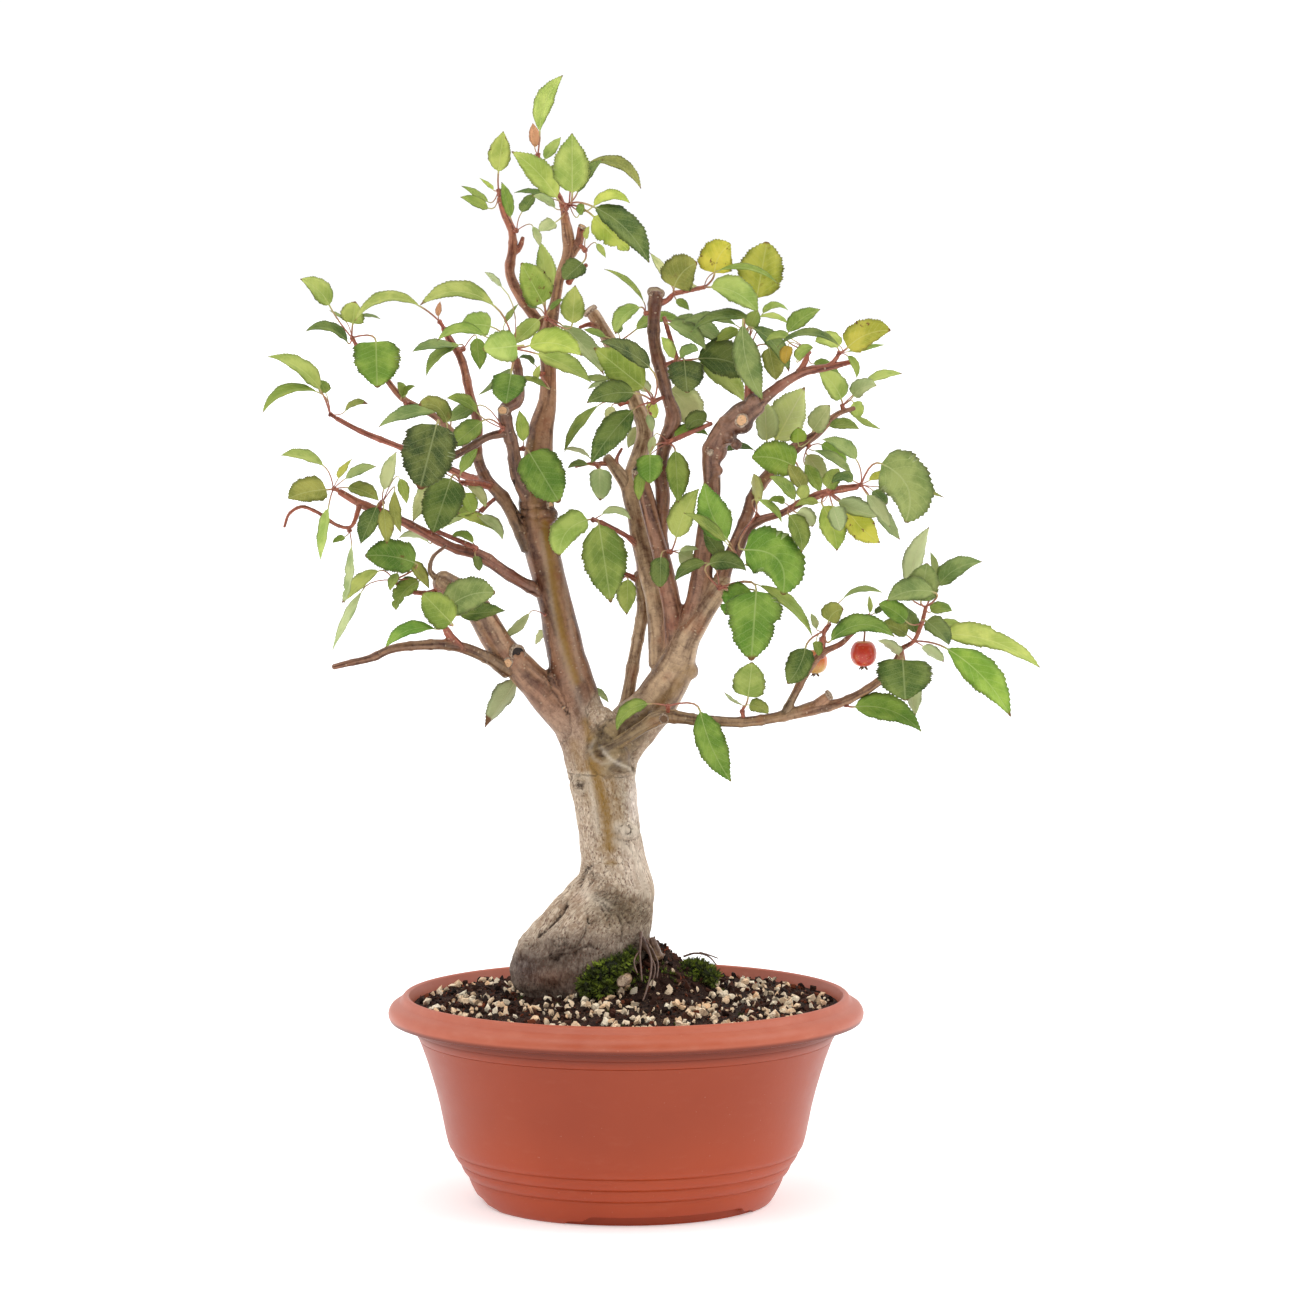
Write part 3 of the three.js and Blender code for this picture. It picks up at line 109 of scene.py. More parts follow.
class Wire:
    """One output of a node, so that sums on it are written with Python's operators."""

    def __init__(self, board, node, socket):
        self.board, self.node, self.socket = board, node, socket

    def out(self, name):
        return Wire(self.board, self.node, self.node.outputs[name])

    def maths(self, operation, other=0.0):
        """The result of a Math node; functions of one number leave the other out."""
        return self.board.add("ShaderNodeMath", {0: self, 1: other}, operation=operation)

    def __add__(self, other):
        return self.maths("ADD", other)

    def __mul__(self, other):
        return self.maths("MULTIPLY", other)

    def __sub__(self, other):
        return self.maths("SUBTRACT", other)

    def __rsub__(self, other):
        return self.board.add("ShaderNodeMath", {0: other, 1: self}, operation="SUBTRACT")

    __radd__ = __add__
    __rmul__ = __mul__

    def clamp(self, low, high):
        """0 below low, 1 above high, and a smooth rise between them."""
        return self.board.add("ShaderNodeMapRange", {"Value": self, "From Min": low, "From Max": high},
                              interpolation_type="SMOOTHSTEP")


class Board:
    """A node tree written as expressions; add() puts in any node and gives one of its outputs."""

    def __init__(self, tree):
        self.tree = tree

    def add(self, kind, values=None, output=0, **settings):
        node = self.tree.nodes.new(kind)
        for name, value in settings.items():
            setattr(node, name, value)
        for key, value in (values or {}).items():
            self.feed(node.inputs[key], value)
        return Wire(self, node, node.outputs[output])

    def feed(self, socket, value):
        """Links a socket to a wire, or sets it to a constant."""
        if isinstance(value, Wire):
            self.tree.links.new(value.socket, socket)
        else:
            socket.default_value = value

    def vector(self, operation, *values, output=0):
        """The result of a Vector Math node, or its number as output 1."""
        return self.add("ShaderNodeVectorMath", dict(enumerate(values)), output, operation=operation)

    def blend(self, factor, first, second, way="MIX"):
        """A colour between two others, each of them a wire or its numbers on the paint chart."""
        first, second = [c if isinstance(c, Wire) else (*paint(*c), 1) for c in (first, second)]
        return self.add("ShaderNodeMix", {0: factor, 6: first, 7: second}, 2, data_type="RGBA",
                        blend_type=way)

    def times(self, colour, by):
        """A colour multiplied by another."""
        return self.blend(1.0, colour, by, "MULTIPLY")

    def noise(self, space, scale, detail=3, rough=0.55):
        return self.add("ShaderNodeTexNoise",
                        {"Vector": space, "Scale": scale, "Detail": detail, "Roughness": rough})

    def cells(self, space, scale, feature="F1"):
        """How far a point is from the nearest cell's middle, or from the nearest edge between cells."""
        return self.add("ShaderNodeTexVoronoi", {"Vector": space, "Scale": scale}, feature=feature)

    def apart(self, vector):
        """The node that splits a vector, whose out() gives X, Y or Z."""
        return self.add("ShaderNodeSeparateXYZ", {0: vector})

    def stretched(self, space, scale):
        """The same space with its three directions scaled apart."""
        return self.add("ShaderNodeMapping", {"Vector": space, "Scale": scale})

    def attribute(self, name, output="Fac"):
        return self.add("ShaderNodeAttribute", None, output, attribute_name=name)

    def bump(self, height, depth):
        """A surface that stands out by up to depth, in metres, where height is 1."""
        return self.add("ShaderNodeBump", {"Height": height, "Distance": depth, "Strength": 1.0})


class Finish(Board):
    """A material with one Principled surface; own() says what reaches the surface's sockets."""

    def __init__(self, name):
        self.material = bpy.data.materials.new(name)
        self.material.use_nodes = True
        super().__init__(self.material.node_tree)
        self.surface = self.tree.nodes["Principled BSDF"]

    def place(self):
        return self.add("ShaderNodeTexCoord", None, "Object")

    def own(self, **values):
        for name, value in values.items():
            self.feed(self.surface.inputs[name.replace("_", " ")], value)
        return self.material


def mesh_object(name, vertices, faces, material=None, smooth=True):
    """An object at the origin from points and faces, in metres."""
    mesh = bpy.data.meshes.new(name)
    mesh.from_pydata([tuple(point) for point in vertices], [], faces)
    mesh.polygons.foreach_set("use_smooth", [smooth] * len(mesh.polygons))
    mesh.update()
    if material:
        mesh.materials.append(material)
    return shown(name, mesh)


half = FLOOR_SIZE / 2
corners = [(-half, -half, 0), (half, -half, 0), (half, half, 0), (-half, half, 0)]
floor = mesh_object("floor", corners, [(0, 1, 2, 3)])
paper = Finish("floor paper")
floor.data.materials.append(paper.own(
    Base_Color=paper.blend(paper.noise(paper.place(), 3.0), (244, 244, 244), (248, 248, 248)),
    Roughness=0.9, Specular_IOR_Level=0.1, Emission_Color=(1, 0.99, 0.99, 1), Emission_Strength=0.3))


def sun(name, strength, spread, direction):
    """A distant soft light that shines along a direction; spread is its width in the sky, in degrees."""
    made = shown(name, bpy.data.lights.new(name, "SUN"))
    made.data.energy = strength
    made.data.angle = math.radians(spread)
    made.rotation_euler = Vector(direction).to_track_quat("-Z", "Y").to_euler()


sun("key", 1.0, 50, (0.2, 0.5, -1.0))
sun("right", 1.0, 50, (-0.9, 0.15, -0.8))
sun("left", 0.5, 60, (0.9, 0.15, -0.8))
surround = bpy.data.worlds.new("surround")
surround.use_nodes = True
sky = Board(surround.node_tree)
heading = sky.apart(sky.add("ShaderNodeTexCoord", None, "Generated"))
towards_back = heading.out("Y").clamp(-0.8, 0.3)
towards_side = heading.out("X").maths("ABSOLUTE").clamp(0.3, 0.95)
glow = 0.2 + towards_back * 0.75 + towards_side * 0.42
light_of_day = sky.add("ShaderNodeBackground", {0: (1, 1, 1, 1), 1: glow})
backdrop = sky.add("ShaderNodeBackground", {0: (1, 1, 1, 1), 1: 1.05})
seen = sky.add("ShaderNodeLightPath", None, "Is Camera Ray")
both = sky.add("ShaderNodeMixShader", {0: seen, 1: light_of_day, 2: backdrop})
sky.tree.links.new(both.socket, sky.tree.nodes["World Output"].inputs["Surface"])
bpy.context.scene.world = surround
bpy.context.scene.view_settings.view_transform = "Standard"


# ---------- the bowl ----------
# A round training bowl, injection-moulded in terracotta-coloured polypropylene with a rolled lip,
# three stepped bands over the base and a foot ring that is cut away in three stepped notches.
RIM_RADIUS = 0.143
BOWL_TURNS = 168
DRAIN_HOLES = 4
DRAIN_HOLE_RADIUS = 0.006
DRAIN_RING_RADIUS = 0.052
DRAIN_RING_TURN = 0.37
DRAIN_HOLE_TURNS = 24
FOOT_NOTCHES = 3
NOTCH_TURN = 0.3163
NOTCH_REACH = 0.12
NOTCH_DROP = -0.01
# Half of a notch's top edge, as (angle from its middle, height), from its end to its flat part.
NOTCH_STEPS = ((0.752, -0.009), (0.75, 0.0002), (0.705, 0.002), (0.68, 0.0024), (0.605, 0.0026),
               (0.575, 0.0042), (0.55, 0.0056), (0.52, 0.0059))
NOTCH_FLAT_STEPS = 20
BASE_PANEL_RADIUS = 0.0846
# Half section in units, from the underside's middle out, over the foot ring and the bands, up to the
# lip and down inside.
BOWL_FOOT = (
    (0, 0), (141, 0), (143.6, 0), (145.4, 0.8), (147.4, 3), (150, 7.2), (152.8, 12.4), (155.4, 17.4),
    (157.2, 21.6), (158.2, 24.6), (158.1, 25.6), (157.9, 26.2),
)
BOWL_BANDS = (
    (158.6, 26.9), (160.6, 28.4), (163, 31.2), (164.9, 34.4), (166, 37.2), (165.9, 38.2), (165.6, 38.8),
    (166.4, 39.6), (168.4, 41.2), (170.6, 44), (172.3, 47), (173.3, 49.4), (173.2, 50.4), (172.9, 51),
)
BOWL_SIDE = (
    (173.6, 51.8), (175.8, 53.8), (177.8, 57), (179.2, 61), (181, 68), (183.4, 80), (187, 98), (191, 114),
    (195.4, 129), (200.4, 145), (204, 155), (206.4, 161.4), (207.6, 164.3), (207.4, 164.9), (208.1, 165.6),
    (209.6, 168), (210.8, 170.4), (211.7, 172.7), (211.5, 173.4), (212, 174.1), (212.7, 177),
)
BOWL_LIP = (
    (213.2, 181), (214, 186), (216.6, 190), (220, 192), (226, 190.5), (230, 188), (232, 184.6), (234, 183.2),
    (236.5, 184), (238, 187), (238.5, 190.5), (237.6, 194), (235.6, 197.2), (232, 199.6), (228, 201.2),
    (226, 202.4), (224.5, 206), (222.5, 208.4), (220, 209), (217.8, 207.8), (216.6, 204.5),
)
BOWL_INSIDE = ((213.5, 195), (206, 168), (189, 122), (176, 72), (159, 39), (137, 8), (0, 8))
BOWL_CREASE_ANGLE = 38


def walls(first, rows, sides):
    """The faces between rings of points that follow one another, from the first ring's first point."""
    faces = []
    for low in range(first, first + (rows - 1) * sides, sides):
        for k in range(sides):
            after = (k + 1) % sides
            faces.append((low + k, low + sides + k, low + sides + after, low + after))
    return faces


def closed_by_rings(bottom, first, rows, turns, top):
    """The faces of a body of rings about the vertical axis, which is closed by a point at each end."""
    faces = []
    last = first + (rows - 1) * turns
    for k in range(turns):
        after = (k + 1) % turns
        faces.append((bottom, first + after, first + k))
        for low in range(first, last, turns):
            faces.append((low + k, low + after, low + turns + after, low + turns + k))
        faces.append((top, last + k, last + after))
    return faces


def turned(name, section, turns):
    """A closed body turned about the vertical axis from a half section that starts and ends on it."""
    vertices = [(0, 0, section[0][1]), (0, 0, section[-1][1])]
    for radius, height in section[1:-1]:
        for k in range(turns):
            angle = 2 * math.pi * k / turns
            vertices.append((radius * math.cos(angle), radius * math.sin(angle), height))
    return mesh_object(name, vertices, closed_by_rings(0, 2, len(section) - 2, turns, 1))


def outward(piece):
    """Turns every face of a closed piece outwards, after its doubles are merged."""
    work = bmesh.new()
    work.from_mesh(piece.data)
    bmesh.ops.remove_doubles(work, verts=work.verts, dist=1e-6)
    bmesh.ops.recalc_face_normals(work, faces=work.faces)
    work.to_mesh(piece.data)
    work.free()


def settle(piece):
    """Makes what a piece's modifiers show into its plain mesh."""
    graph = bpy.context.evaluated_depsgraph_get()
    mesh = bpy.data.meshes.new_from_object(piece.evaluated_get(graph))
    piece.modifiers.clear()
    piece.data = mesh


def cut_away(body, cutter):
    """Takes the cutter out of the body and removes the cutter."""
    outward(cutter)
    modifier = body.modifiers.new("cut", "BOOLEAN")
    modifier.operation = "DIFFERENCE"
    modifier.solver = "EXACT"
    modifier.object = cutter
    settle(body)
    bpy.data.objects.remove(cutter)
    outward(body)


def notch_block(middle):
    """What a notch takes away: a block between two radii under a stepped top edge."""
    ends = [(-angle, top) for angle, top in NOTCH_STEPS]
    flat_from, flat_top = NOTCH_STEPS[-1]
    flat = [(flat_from * (k / NOTCH_FLAT_STEPS - 1), flat_top) for k in range(1, 2 * NOTCH_FLAT_STEPS)]
    edge = [*ends, *flat, *[(-angle, top) for angle, top in reversed(ends)]]
    vertices = []
    for angle, top in edge:
        for radius, height in ((BASE_PANEL_RADIUS, NOTCH_DROP), (NOTCH_REACH, NOTCH_DROP),
                               (NOTCH_REACH, top), (BASE_PANEL_RADIUS, top)):
            vertices.append((radius * math.cos(middle + angle), radius * math.sin(middle + angle), height))
    last = len(vertices) - 4
    faces = [(0, 1, 2, 3), (last + 3, last + 2, last + 1, last), *walls(0, len(edge), 4)]
    return mesh_object("notch", vertices, faces)


section = [*BOWL_FOOT, *BOWL_BANDS, *BOWL_SIDE, *BOWL_LIP, *BOWL_INSIDE]
scale = RIM_RADIUS / max(radius for radius, height in section)
bowl = turned("bowl", [(radius * scale, height * UNIT) for radius, height in section], BOWL_TURNS)
outward(bowl)
for number in range(DRAIN_HOLES):
    angle = 2 * math.pi * number / DRAIN_HOLES + DRAIN_RING_TURN
    hole = turned("hole", [(0, -0.01), (DRAIN_HOLE_RADIUS, -0.01), (DRAIN_HOLE_RADIUS, 0.02), (0, 0.02)],
                  DRAIN_HOLE_TURNS)
    hole.data.transform(Matrix.Translation((DRAIN_RING_RADIUS * math.cos(angle),
                                            DRAIN_RING_RADIUS * math.sin(angle), 0)))
    cut_away(bowl, hole)
for number in range(FOOT_NOTCHES):
    cut_away(bowl, notch_block(NOTCH_TURN - math.pi / 2 + 2 * math.pi * number / FOOT_NOTCHES))

plastic = Finish("terracotta plastic")
around = plastic.place()
cloud = plastic.noise(around, 9.0, 4)
dust = plastic.noise(plastic.stretched(around, (1, 1, 2.5)), 60.0, 5)
grit = plastic.noise(around, 480.0, 2).clamp(0.72, 0.8)
red = plastic.blend(cloud.clamp(0.3, 0.7), (160, 61, 26), (169, 68, 32))
red = plastic.blend(dust.clamp(0.55, 0.85) * 0.1, red, (204, 132, 104))
red = plastic.blend(grit * 0.25, red, (222, 176, 152))
height = plastic.apart(around).out("Z")
lip = height.clamp(0.111, 0.1135)
# Painted highlight, partly pale dust: the lip is made paler than the wall, more so where the dust noise is
# high.
red = plastic.blend(lip * (0.05 + dust * 0.24), red, (222, 160, 136))
# Painted shade: the wall darkens from 20 mm to 70 mm up and stays darker above that, short of the lip, as if
# shaded from above.
red = plastic.blend(height.clamp(0.02, 0.07) * (1 - lip) * 0.22, red, (84, 26, 10))
# Painted shade: a dark band on the wall just under the lip, where the lip's shadow falls.
crease = height.clamp(0.098, 0.109) * (1 - lip)
red = plastic.blend(crease * 0.62, red, (70, 26, 16))
skin = plastic.noise(around, 1400.0, 2) * 0.5 + plastic.noise(around, 260.0, 3)
bowl.data.materials.clear()
bowl.data.materials.append(plastic.own(
    Base_Color=red,
    Roughness=0.34 + dust * 0.1,
    Specular_IOR_Level=0.34,
    Normal=plastic.bump(skin, 0.00004)))
bowl.data.polygons.foreach_set("use_smooth", [True] * len(bowl.data.polygons))
bowl.data.set_sharp_from_angle(angle=math.radians(BOWL_CREASE_ANGLE))
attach(bowl, "root")
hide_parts("pot")


# ---------- soil ----------
# Open bonsai soil that fills the bowl to its lip and rises against the trunk: dark peat and bark with
# cream pumice grains of 3 to 7 mm on top.
SOIL_RADIUS = 212.5
SOIL_EDGE = 200
SOIL_CROWN = 11
# The mound's middle, height and spread, and the soil's side below its edge as (radius, height).
MOUND = {"x": 24, "depth": 4, "height": 50, "wide": 32, "deep": 36}
SOIL_BELOW = ((206.5, 178), (201, 160), (186, 122), (173.5, 72), (156.5, 40), (135, 9.2))
SOIL_RING_STEP = 2.5
SOIL_TURNS = 220
PUMICE_PER_M2 = 26000
CHIPS_PER_M2 = 26000
CRUMBS_PER_M2 = 75000
GRAIN_REACH = 206
# The soil's uneven top in units: a bent wave, then lumps and small lumps, all calm towards the bowl.
WAVE_HEIGHT, WAVE_OVER_X, WAVE_OVER_DEPTH, WAVE_BEND = 1.6, 0.19, 0.17, 0.11
LUMP_HEIGHT, LUMP_FINENESS = 2.2, 0.09
SMALL_LUMP_HEIGHT, SMALL_LUMP_FINENESS, SMALL_LUMP_SLICE = 1.2, 0.28, 5
CALM_EDGE = 30
SOIL_SINK = 1.5
# Where few grains lie, as (x, depth, width, depth of the spot) in units: the mound and the front left.
BARE_MOUND = (30, 2, 46, 50)
BARE_FRONT = (-105, -90, 75, 120)


def soil_height(x, depth):
    """Height of the soil over a spot of the bowl, all in units."""
    radius = math.hypot(x, depth)
    across = ((x - MOUND["x"]) / MOUND["wide"]) ** 2 + ((depth - MOUND["depth"]) / MOUND["deep"]) ** 2
    crown = SOIL_CROWN * (1 - (radius / SOIL_RADIUS) ** 2)
    bend = 2 * math.sin(depth * WAVE_BEND)
    ripple = WAVE_HEIGHT * math.sin(x * WAVE_OVER_X + bend) * math.cos(depth * WAVE_OVER_DEPTH)
    lumps = LUMP_HEIGHT * noise.noise(Vector((x, depth, 0)) * LUMP_FINENESS)
    small = noise.noise(Vector((x, depth, SMALL_LUMP_SLICE)) * SMALL_LUMP_FINENESS)
    ripple += lumps + SMALL_LUMP_HEIGHT * small
    ripple *= min(1, (SOIL_RADIUS - radius) / CALM_EDGE)
    return SOIL_EDGE - SOIL_SINK + crown + MOUND["height"] * math.exp(-across / 2) + ripple


def hill(x, depth, middle_x, middle_depth, wide, deep):
    """A smooth rise to 1 over a spot of the bowl, in units."""
    return math.exp(-(((x - middle_x) / wide) ** 2 + ((depth - middle_depth) / deep) ** 2))


class Layout(Board):
    """A geometry node tree written as expressions, with named inputs."""

    def __init__(self, name, inputs):
        super().__init__(bpy.data.node_groups.new(name, "GeometryNodeTree"))
        self.sockets = {}
        for label, kind in [("Geometry", "Geometry"), *inputs]:
            self.sockets[label] = self.tree.interface.new_socket(
                label, in_out="INPUT", socket_type="NodeSocket" + kind)
        self.tree.interface.new_socket("Geometry", in_out="OUTPUT", socket_type="NodeSocketGeometry")
        self.given = self.add("NodeGroupInput")

    def read(self, name, kind="FLOAT"):
        return self.add("GeometryNodeInputNamedAttribute", {"Name": name}, data_type=kind)

    def store(self, geometry, name, value, kind="FLOAT"):
        return self.add("GeometryNodeStoreNamedAttribute",
                        {"Geometry": geometry, "Name": name, "Value": value}, data_type=kind, domain="POINT")

    def scaled(self, vector, factor):
        return self.add("ShaderNodeVectorMath", {0: vector, "Scale": factor}, operation="SCALE")

    def shapes(self, collection):
        """A hidden collection's shapes, to pick from by number."""
        return self.add("GeometryNodeCollectionInfo",
                        {"Collection": collection, "Separate Children": True, "Reset Children": True},
                        transform_space="ORIGINAL")

    def laid(self, points, shapes, more):
        """One of the shapes on each point; more says how it is picked, turned and sized."""
        return self.add("GeometryNodeInstanceOnPoints",
                        {"Points": points, "Instance": shapes, "Pick Instance": True, **more})

    def chance(self, least, most, number, kind="FLOAT"):
        """A random value at each point, between two values or two vectors."""
        first, output = (0, 0) if kind == "FLOAT_VECTOR" else (2, 1)
        return self.add("FunctionNodeRandomValue", {first: least, first + 1: most, 8: number}, output,
                        data_type=kind)

    def dressed(self, geometry, material):
        return self.add("GeometryNodeSetMaterial", {"Geometry": geometry, "Material": material})

    def finish(self, geometry, material=None, smooth=True):
        """Ends the tree in real faces."""
        geometry = self.add("GeometryNodeRealizeInstances", {"Geometry": geometry})
        geometry = self.add("GeometryNodeSetShadeSmooth", {"Geometry": geometry, "Shade Smooth": smooth})
        if material:
            geometry = self.dressed(geometry, material)
        self.tree.links.new(geometry.socket, self.tree.nodes.new("NodeGroupOutput").inputs[0])

    def run(self, piece, values):
        """Lays the tree on a piece with its inputs set, and keeps the result as a plain mesh."""
        modifier = piece.modifiers.new("layout", "NODES")
        modifier.node_group = self.tree
        for label, value in values.items():
            modifier[self.sockets[label].identifier] = value
        settle(piece)


def scattered_over(name, inputs):
    """A layout that scatters shapes over a mesh, thicker where the mesh's named attribute says."""
    layout = Layout(name, [("Shapes", "Collection"), ("Where", "String"), ("Per square metre", "Float"),
                           ("Smallest", "Float"), ("Largest", "Float"), ("Seed", "Int"),
                           ("Finish", "Material"), *inputs])
    given = layout.given
    density = layout.read(given.out("Where")) * given.out("Per square metre")
    points = layout.add("GeometryNodeDistributePointsOnFaces",
                        {"Mesh": given.out("Geometry"), "Density": density, "Seed": given.out("Seed")})
    seeded = layout.store(points, "shade", layout.chance(0.0, 1.0, 3))
    size = layout.chance(given.out("Smallest"), given.out("Largest"), 5)
    return layout, points, seeded, layout.shapes(given.out("Shapes")), size


def strewn(name, over, layout, where, held, density, sizes, seed, finish, slot, **more):
    """A piece of shapes scattered over a copy of a mesh."""
    piece = shown(name, over.data.copy())
    layout.run(piece, {"Shapes": held, "Where": where, "Per square metre": density, "Smallest": sizes[0],
                       "Largest": sizes[1], "Seed": seed, "Finish": finish.material, **more})
    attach(piece, "root")


CORNER_REACH = (0.82, 1.1)


def pebbles(name, count, corners, shape, seed):
    """A hidden collection of small angular lumps of about half width 1."""
    chance = random.Random(seed)
    held = bpy.data.collections.new(name)
    for number in range(count):
        work = bmesh.new()
        for _ in range(corners):
            spot = Vector([chance.gauss(0, 1) for _ in range(3)]).normalized()
            work.verts.new([spot[k] * shape[k] * chance.uniform(*CORNER_REACH) for k in range(3)])
        hull = bmesh.ops.convex_hull(work, input=work.verts)
        bmesh.ops.delete(work, geom=hull["geom_interior"], context="VERTS")
        mesh = bpy.data.meshes.new(f"{name}_{number}")
        work.to_mesh(mesh)
        work.free()
        held.objects.link(bpy.data.objects.new(f"{name}_{number}", mesh))
    return held


def put_away(made, held):
    """Moves a shape out of the scene into a hidden collection."""
    bpy.context.scene.collection.objects.unlink(made)
    held.objects.link(made)


def let_go(held):
    """Takes a hidden collection and its shapes out of the file."""
    for made in list(held.objects):
        bpy.data.objects.remove(made)
    bpy.data.collections.remove(held)


rings = [SOIL_RADIUS]
while rings[-1] > SOIL_RING_STEP:
    rings.append(rings[-1] - SOIL_RING_STEP)
vertices = [(0, 0, SOIL_BELOW[-1][1] * UNIT)]
for radius, height in [*reversed(SOIL_BELOW), *[(radius, None) for radius in rings]]:
    for k in range(SOIL_TURNS):
        angle = 2 * math.pi * k / SOIL_TURNS
        x, y = radius * math.cos(angle), radius * math.sin(angle)
        level = soil_height(x, y) if height is None else height
        vertices.append((x * UNIT, y * UNIT, level * UNIT))
vertices.append((0, 0, soil_height(0, 0) * UNIT))
faces = closed_by_rings(0, 1, len(SOIL_BELOW) + len(rings), SOIL_TURNS, len(vertices) - 1)
earth = Finish("dark bonsai soil")
around = earth.place()
lumps = earth.noise(around, 260, 5, 0.7)
damp = earth.noise(around, 40, 3)
dirt = earth.blend(lumps.clamp(0.3, 0.75), (18, 10, 7), (58, 35, 25))
dirt = earth.blend(damp.clamp(0.4, 0.7) * 0.4, dirt, (52, 28, 20))
dirt = earth.blend(earth.noise(around, 900, 2).clamp(0.62, 0.7) * 0.6, dirt, (150, 122, 94))
earth.own(Base_Color=dirt, Roughness=0.86 + lumps * 0.1, Specular_IOR_Level=0.2,
          Normal=earth.bump(lumps, 0.0016))
soil = mesh_object("soil_bed", vertices, faces, earth.material)
outward(soil)
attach(soil, "root")
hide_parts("soil")

top_from = len(SOIL_BELOW) * SOIL_TURNS + 1
places = vertices[top_from:]
sown = mesh_object("sown", places, [tuple(index - top_from for index in face) for face in faces
                                    if min(face) >= top_from], None, False)
# How thick each kind of grain and the moss lie: fewer grains on the mound and at the front left.
where = {"pumice": [], "chips": [], "crumbs": [], "moss": []}
# Where loose moss grows: (u, v, depth, radius).
MOSS_PATCHES = ((640, 974, -46, 15), (627, 966, -52, 13), (667, 968, -34, 10), (690, 975, -14, 13),
                (560, 995, -70, 6), (520, 1002, -40, 6), (717, 985, -8, 9), (742, 1010, -120, 5),
                (566, 1018, -186, 7), (676, 1016, -170, 5), (602, 1008, -108, 6), (620, 1014, -180, 6))
patches = [(place(u, v, depth), size * UNIT) for u, v, depth, size in MOSS_PATCHES]
for x, y, _ in places:
    radius = math.hypot(x, y) / UNIT
    edge = max(0.0, min(1.0, (GRAIN_REACH - radius) / 3))
    mound = hill(x / UNIT, y / UNIT, *BARE_MOUND)
    drift = 0.5 + 0.5 * noise.noise(Vector((x, y, 0)) * 42)
    front = min(1.0, max(0.25, 0.62 - y / 0.14))
    bare = 1 - 0.5 * hill(x / UNIT, y / UNIT, *BARE_FRONT)
    where["pumice"].append(edge * max(0.0, 1 - 1.25 * mound) * (0.2 + 1.05 * drift) * front * bare)
    where["chips"].append(edge * (0.5 + 0.6 * mound))
    where["crumbs"].append(edge)
    flat = [math.exp(-(((x - spot.x) ** 2 + (y - spot.y) ** 2) / size ** 2)) for spot, size in patches]
    where["moss"].append(edge * max(0.0, max(flat) - 0.35))


def tell(piece, name, values, kind="FLOAT"):
    """Writes a named value, or a vector's three numbers, at every point of a piece's mesh."""
    field = "vector" if kind == "FLOAT_VECTOR" else "value"
    piece.data.attributes.new(name, kind, "POINT").data.foreach_set(field, values)


for label, values in where.items():
    tell(sown, label, values)

pumice = Finish("pumice grain")
around = pumice.place()
shade = pumice.attribute("shade")
pores = pumice.noise(around, 900, 4, 0.7)
stone = pumice.blend(shade, (250, 206, 160), (255, 244, 218))
stone = pumice.blend((shade * 7.3).maths("FRACT").clamp(0.76, 0.92) * 0.7, stone, (204, 180, 148))
stone = pumice.blend((1 - pores.clamp(0.3, 0.5)) * 0.4, stone, (160, 118, 76))
pumice.own(Base_Color=stone, Roughness=0.82, Normal=pumice.bump(pores, 0.0011))
chip = Finish("bark chip")
around = chip.place()
shade = chip.attribute("shade")
fibre = chip.noise(chip.stretched(around, (1, 1, 3)), 420, 4, 0.65)
brown = chip.blend(shade, (19, 10, 7), (74, 40, 27))
brown = chip.blend((shade * 5.1).maths("FRACT").clamp(0.86, 0.95), brown, (112, 54, 30))
brown = chip.blend(fibre.clamp(0.5, 0.8) * 0.3, brown, (116, 80, 58))
chip.own(Base_Color=brown, Roughness=0.78 + fibre * 0.15, Specular_IOR_Level=0.2,
         Normal=chip.bump(fibre, 0.0007))

grains, _, seeded, shapes, size = scattered_over("grains on soil", [("Bury", "Float")])
turn = grains.chance((0, 0, 0), (6.283, 6.283, 6.283), 9, "FLOAT_VECTOR")
laid = grains.laid(seeded, shapes, {"Rotation": turn, "Scale": size})
lift = grains.add("ShaderNodeCombineXYZ", {"Z": grains.given.out("Bury")})
laid = grains.add("GeometryNodeSetPosition", {"Geometry": laid, "Offset": lift})
grains.finish(laid, grains.given.out("Finish"), False)
for label, count, corners, shape, sizes, density, bury, seed, finish in (
        ("crumbs", 4, 9, (1, 0.85, 0.7), (0.0005, 0.0016), CRUMBS_PER_M2, 0.0002, 31, chip),
        ("chips", 6, 16, (1.2, 0.8, 0.5), (0.0014, 0.0038), CHIPS_PER_M2, 0.0004, 17, chip),
        ("pumice", 9, 12, (1.12, 0.85, 0.62), (0.0012, 0.0039), PUMICE_PER_M2, 0.0012, 5, pumice)):
    held = pebbles(label + " shape", count, corners, shape, seed)
    strewn(label, sown, grains, label, held, density, sizes, seed, finish, "soil", Bury=bury)
    let_go(held)


# ---------- moss ----------
# Cushions of living moss against the foot of the trunk and on the right shoulder of the soil, with
# loose tufts around them.

# Lumps of each cushion: (u, v, depth, half width, half height, half depth).
CUSHIONS = {
    "moss_front": ((598, 977, -52, 16, 17, 17), (610, 968, -52, 12, 13, 14), (588, 984, -56, 10, 10, 12),
                   (620, 962, -46, 9, 11, 12), (629, 954, -40, 6, 7, 10), (604, 988, -58, 11, 8, 12),
                   (615, 975, -54, 8, 9, 10)),
    "moss_right": ((696, 968, 2, 12, 9, 13), (706, 972, -2, 9, 7, 12), (687, 969, -2, 8, 8, 12),
                   (713, 977, -6, 5, 5, 8), (680, 976, -8, 6, 5, 8)),
}
CLOD_SIZE, CLOD_RELIEF, CLOD_FINENESS = 0.86, 0.3, 2.4
TUFTS_PER_M2 = 330000
TUFT_SHAPES = 4
TUFT_LEAVES = 7
TUFT_SEED = 3
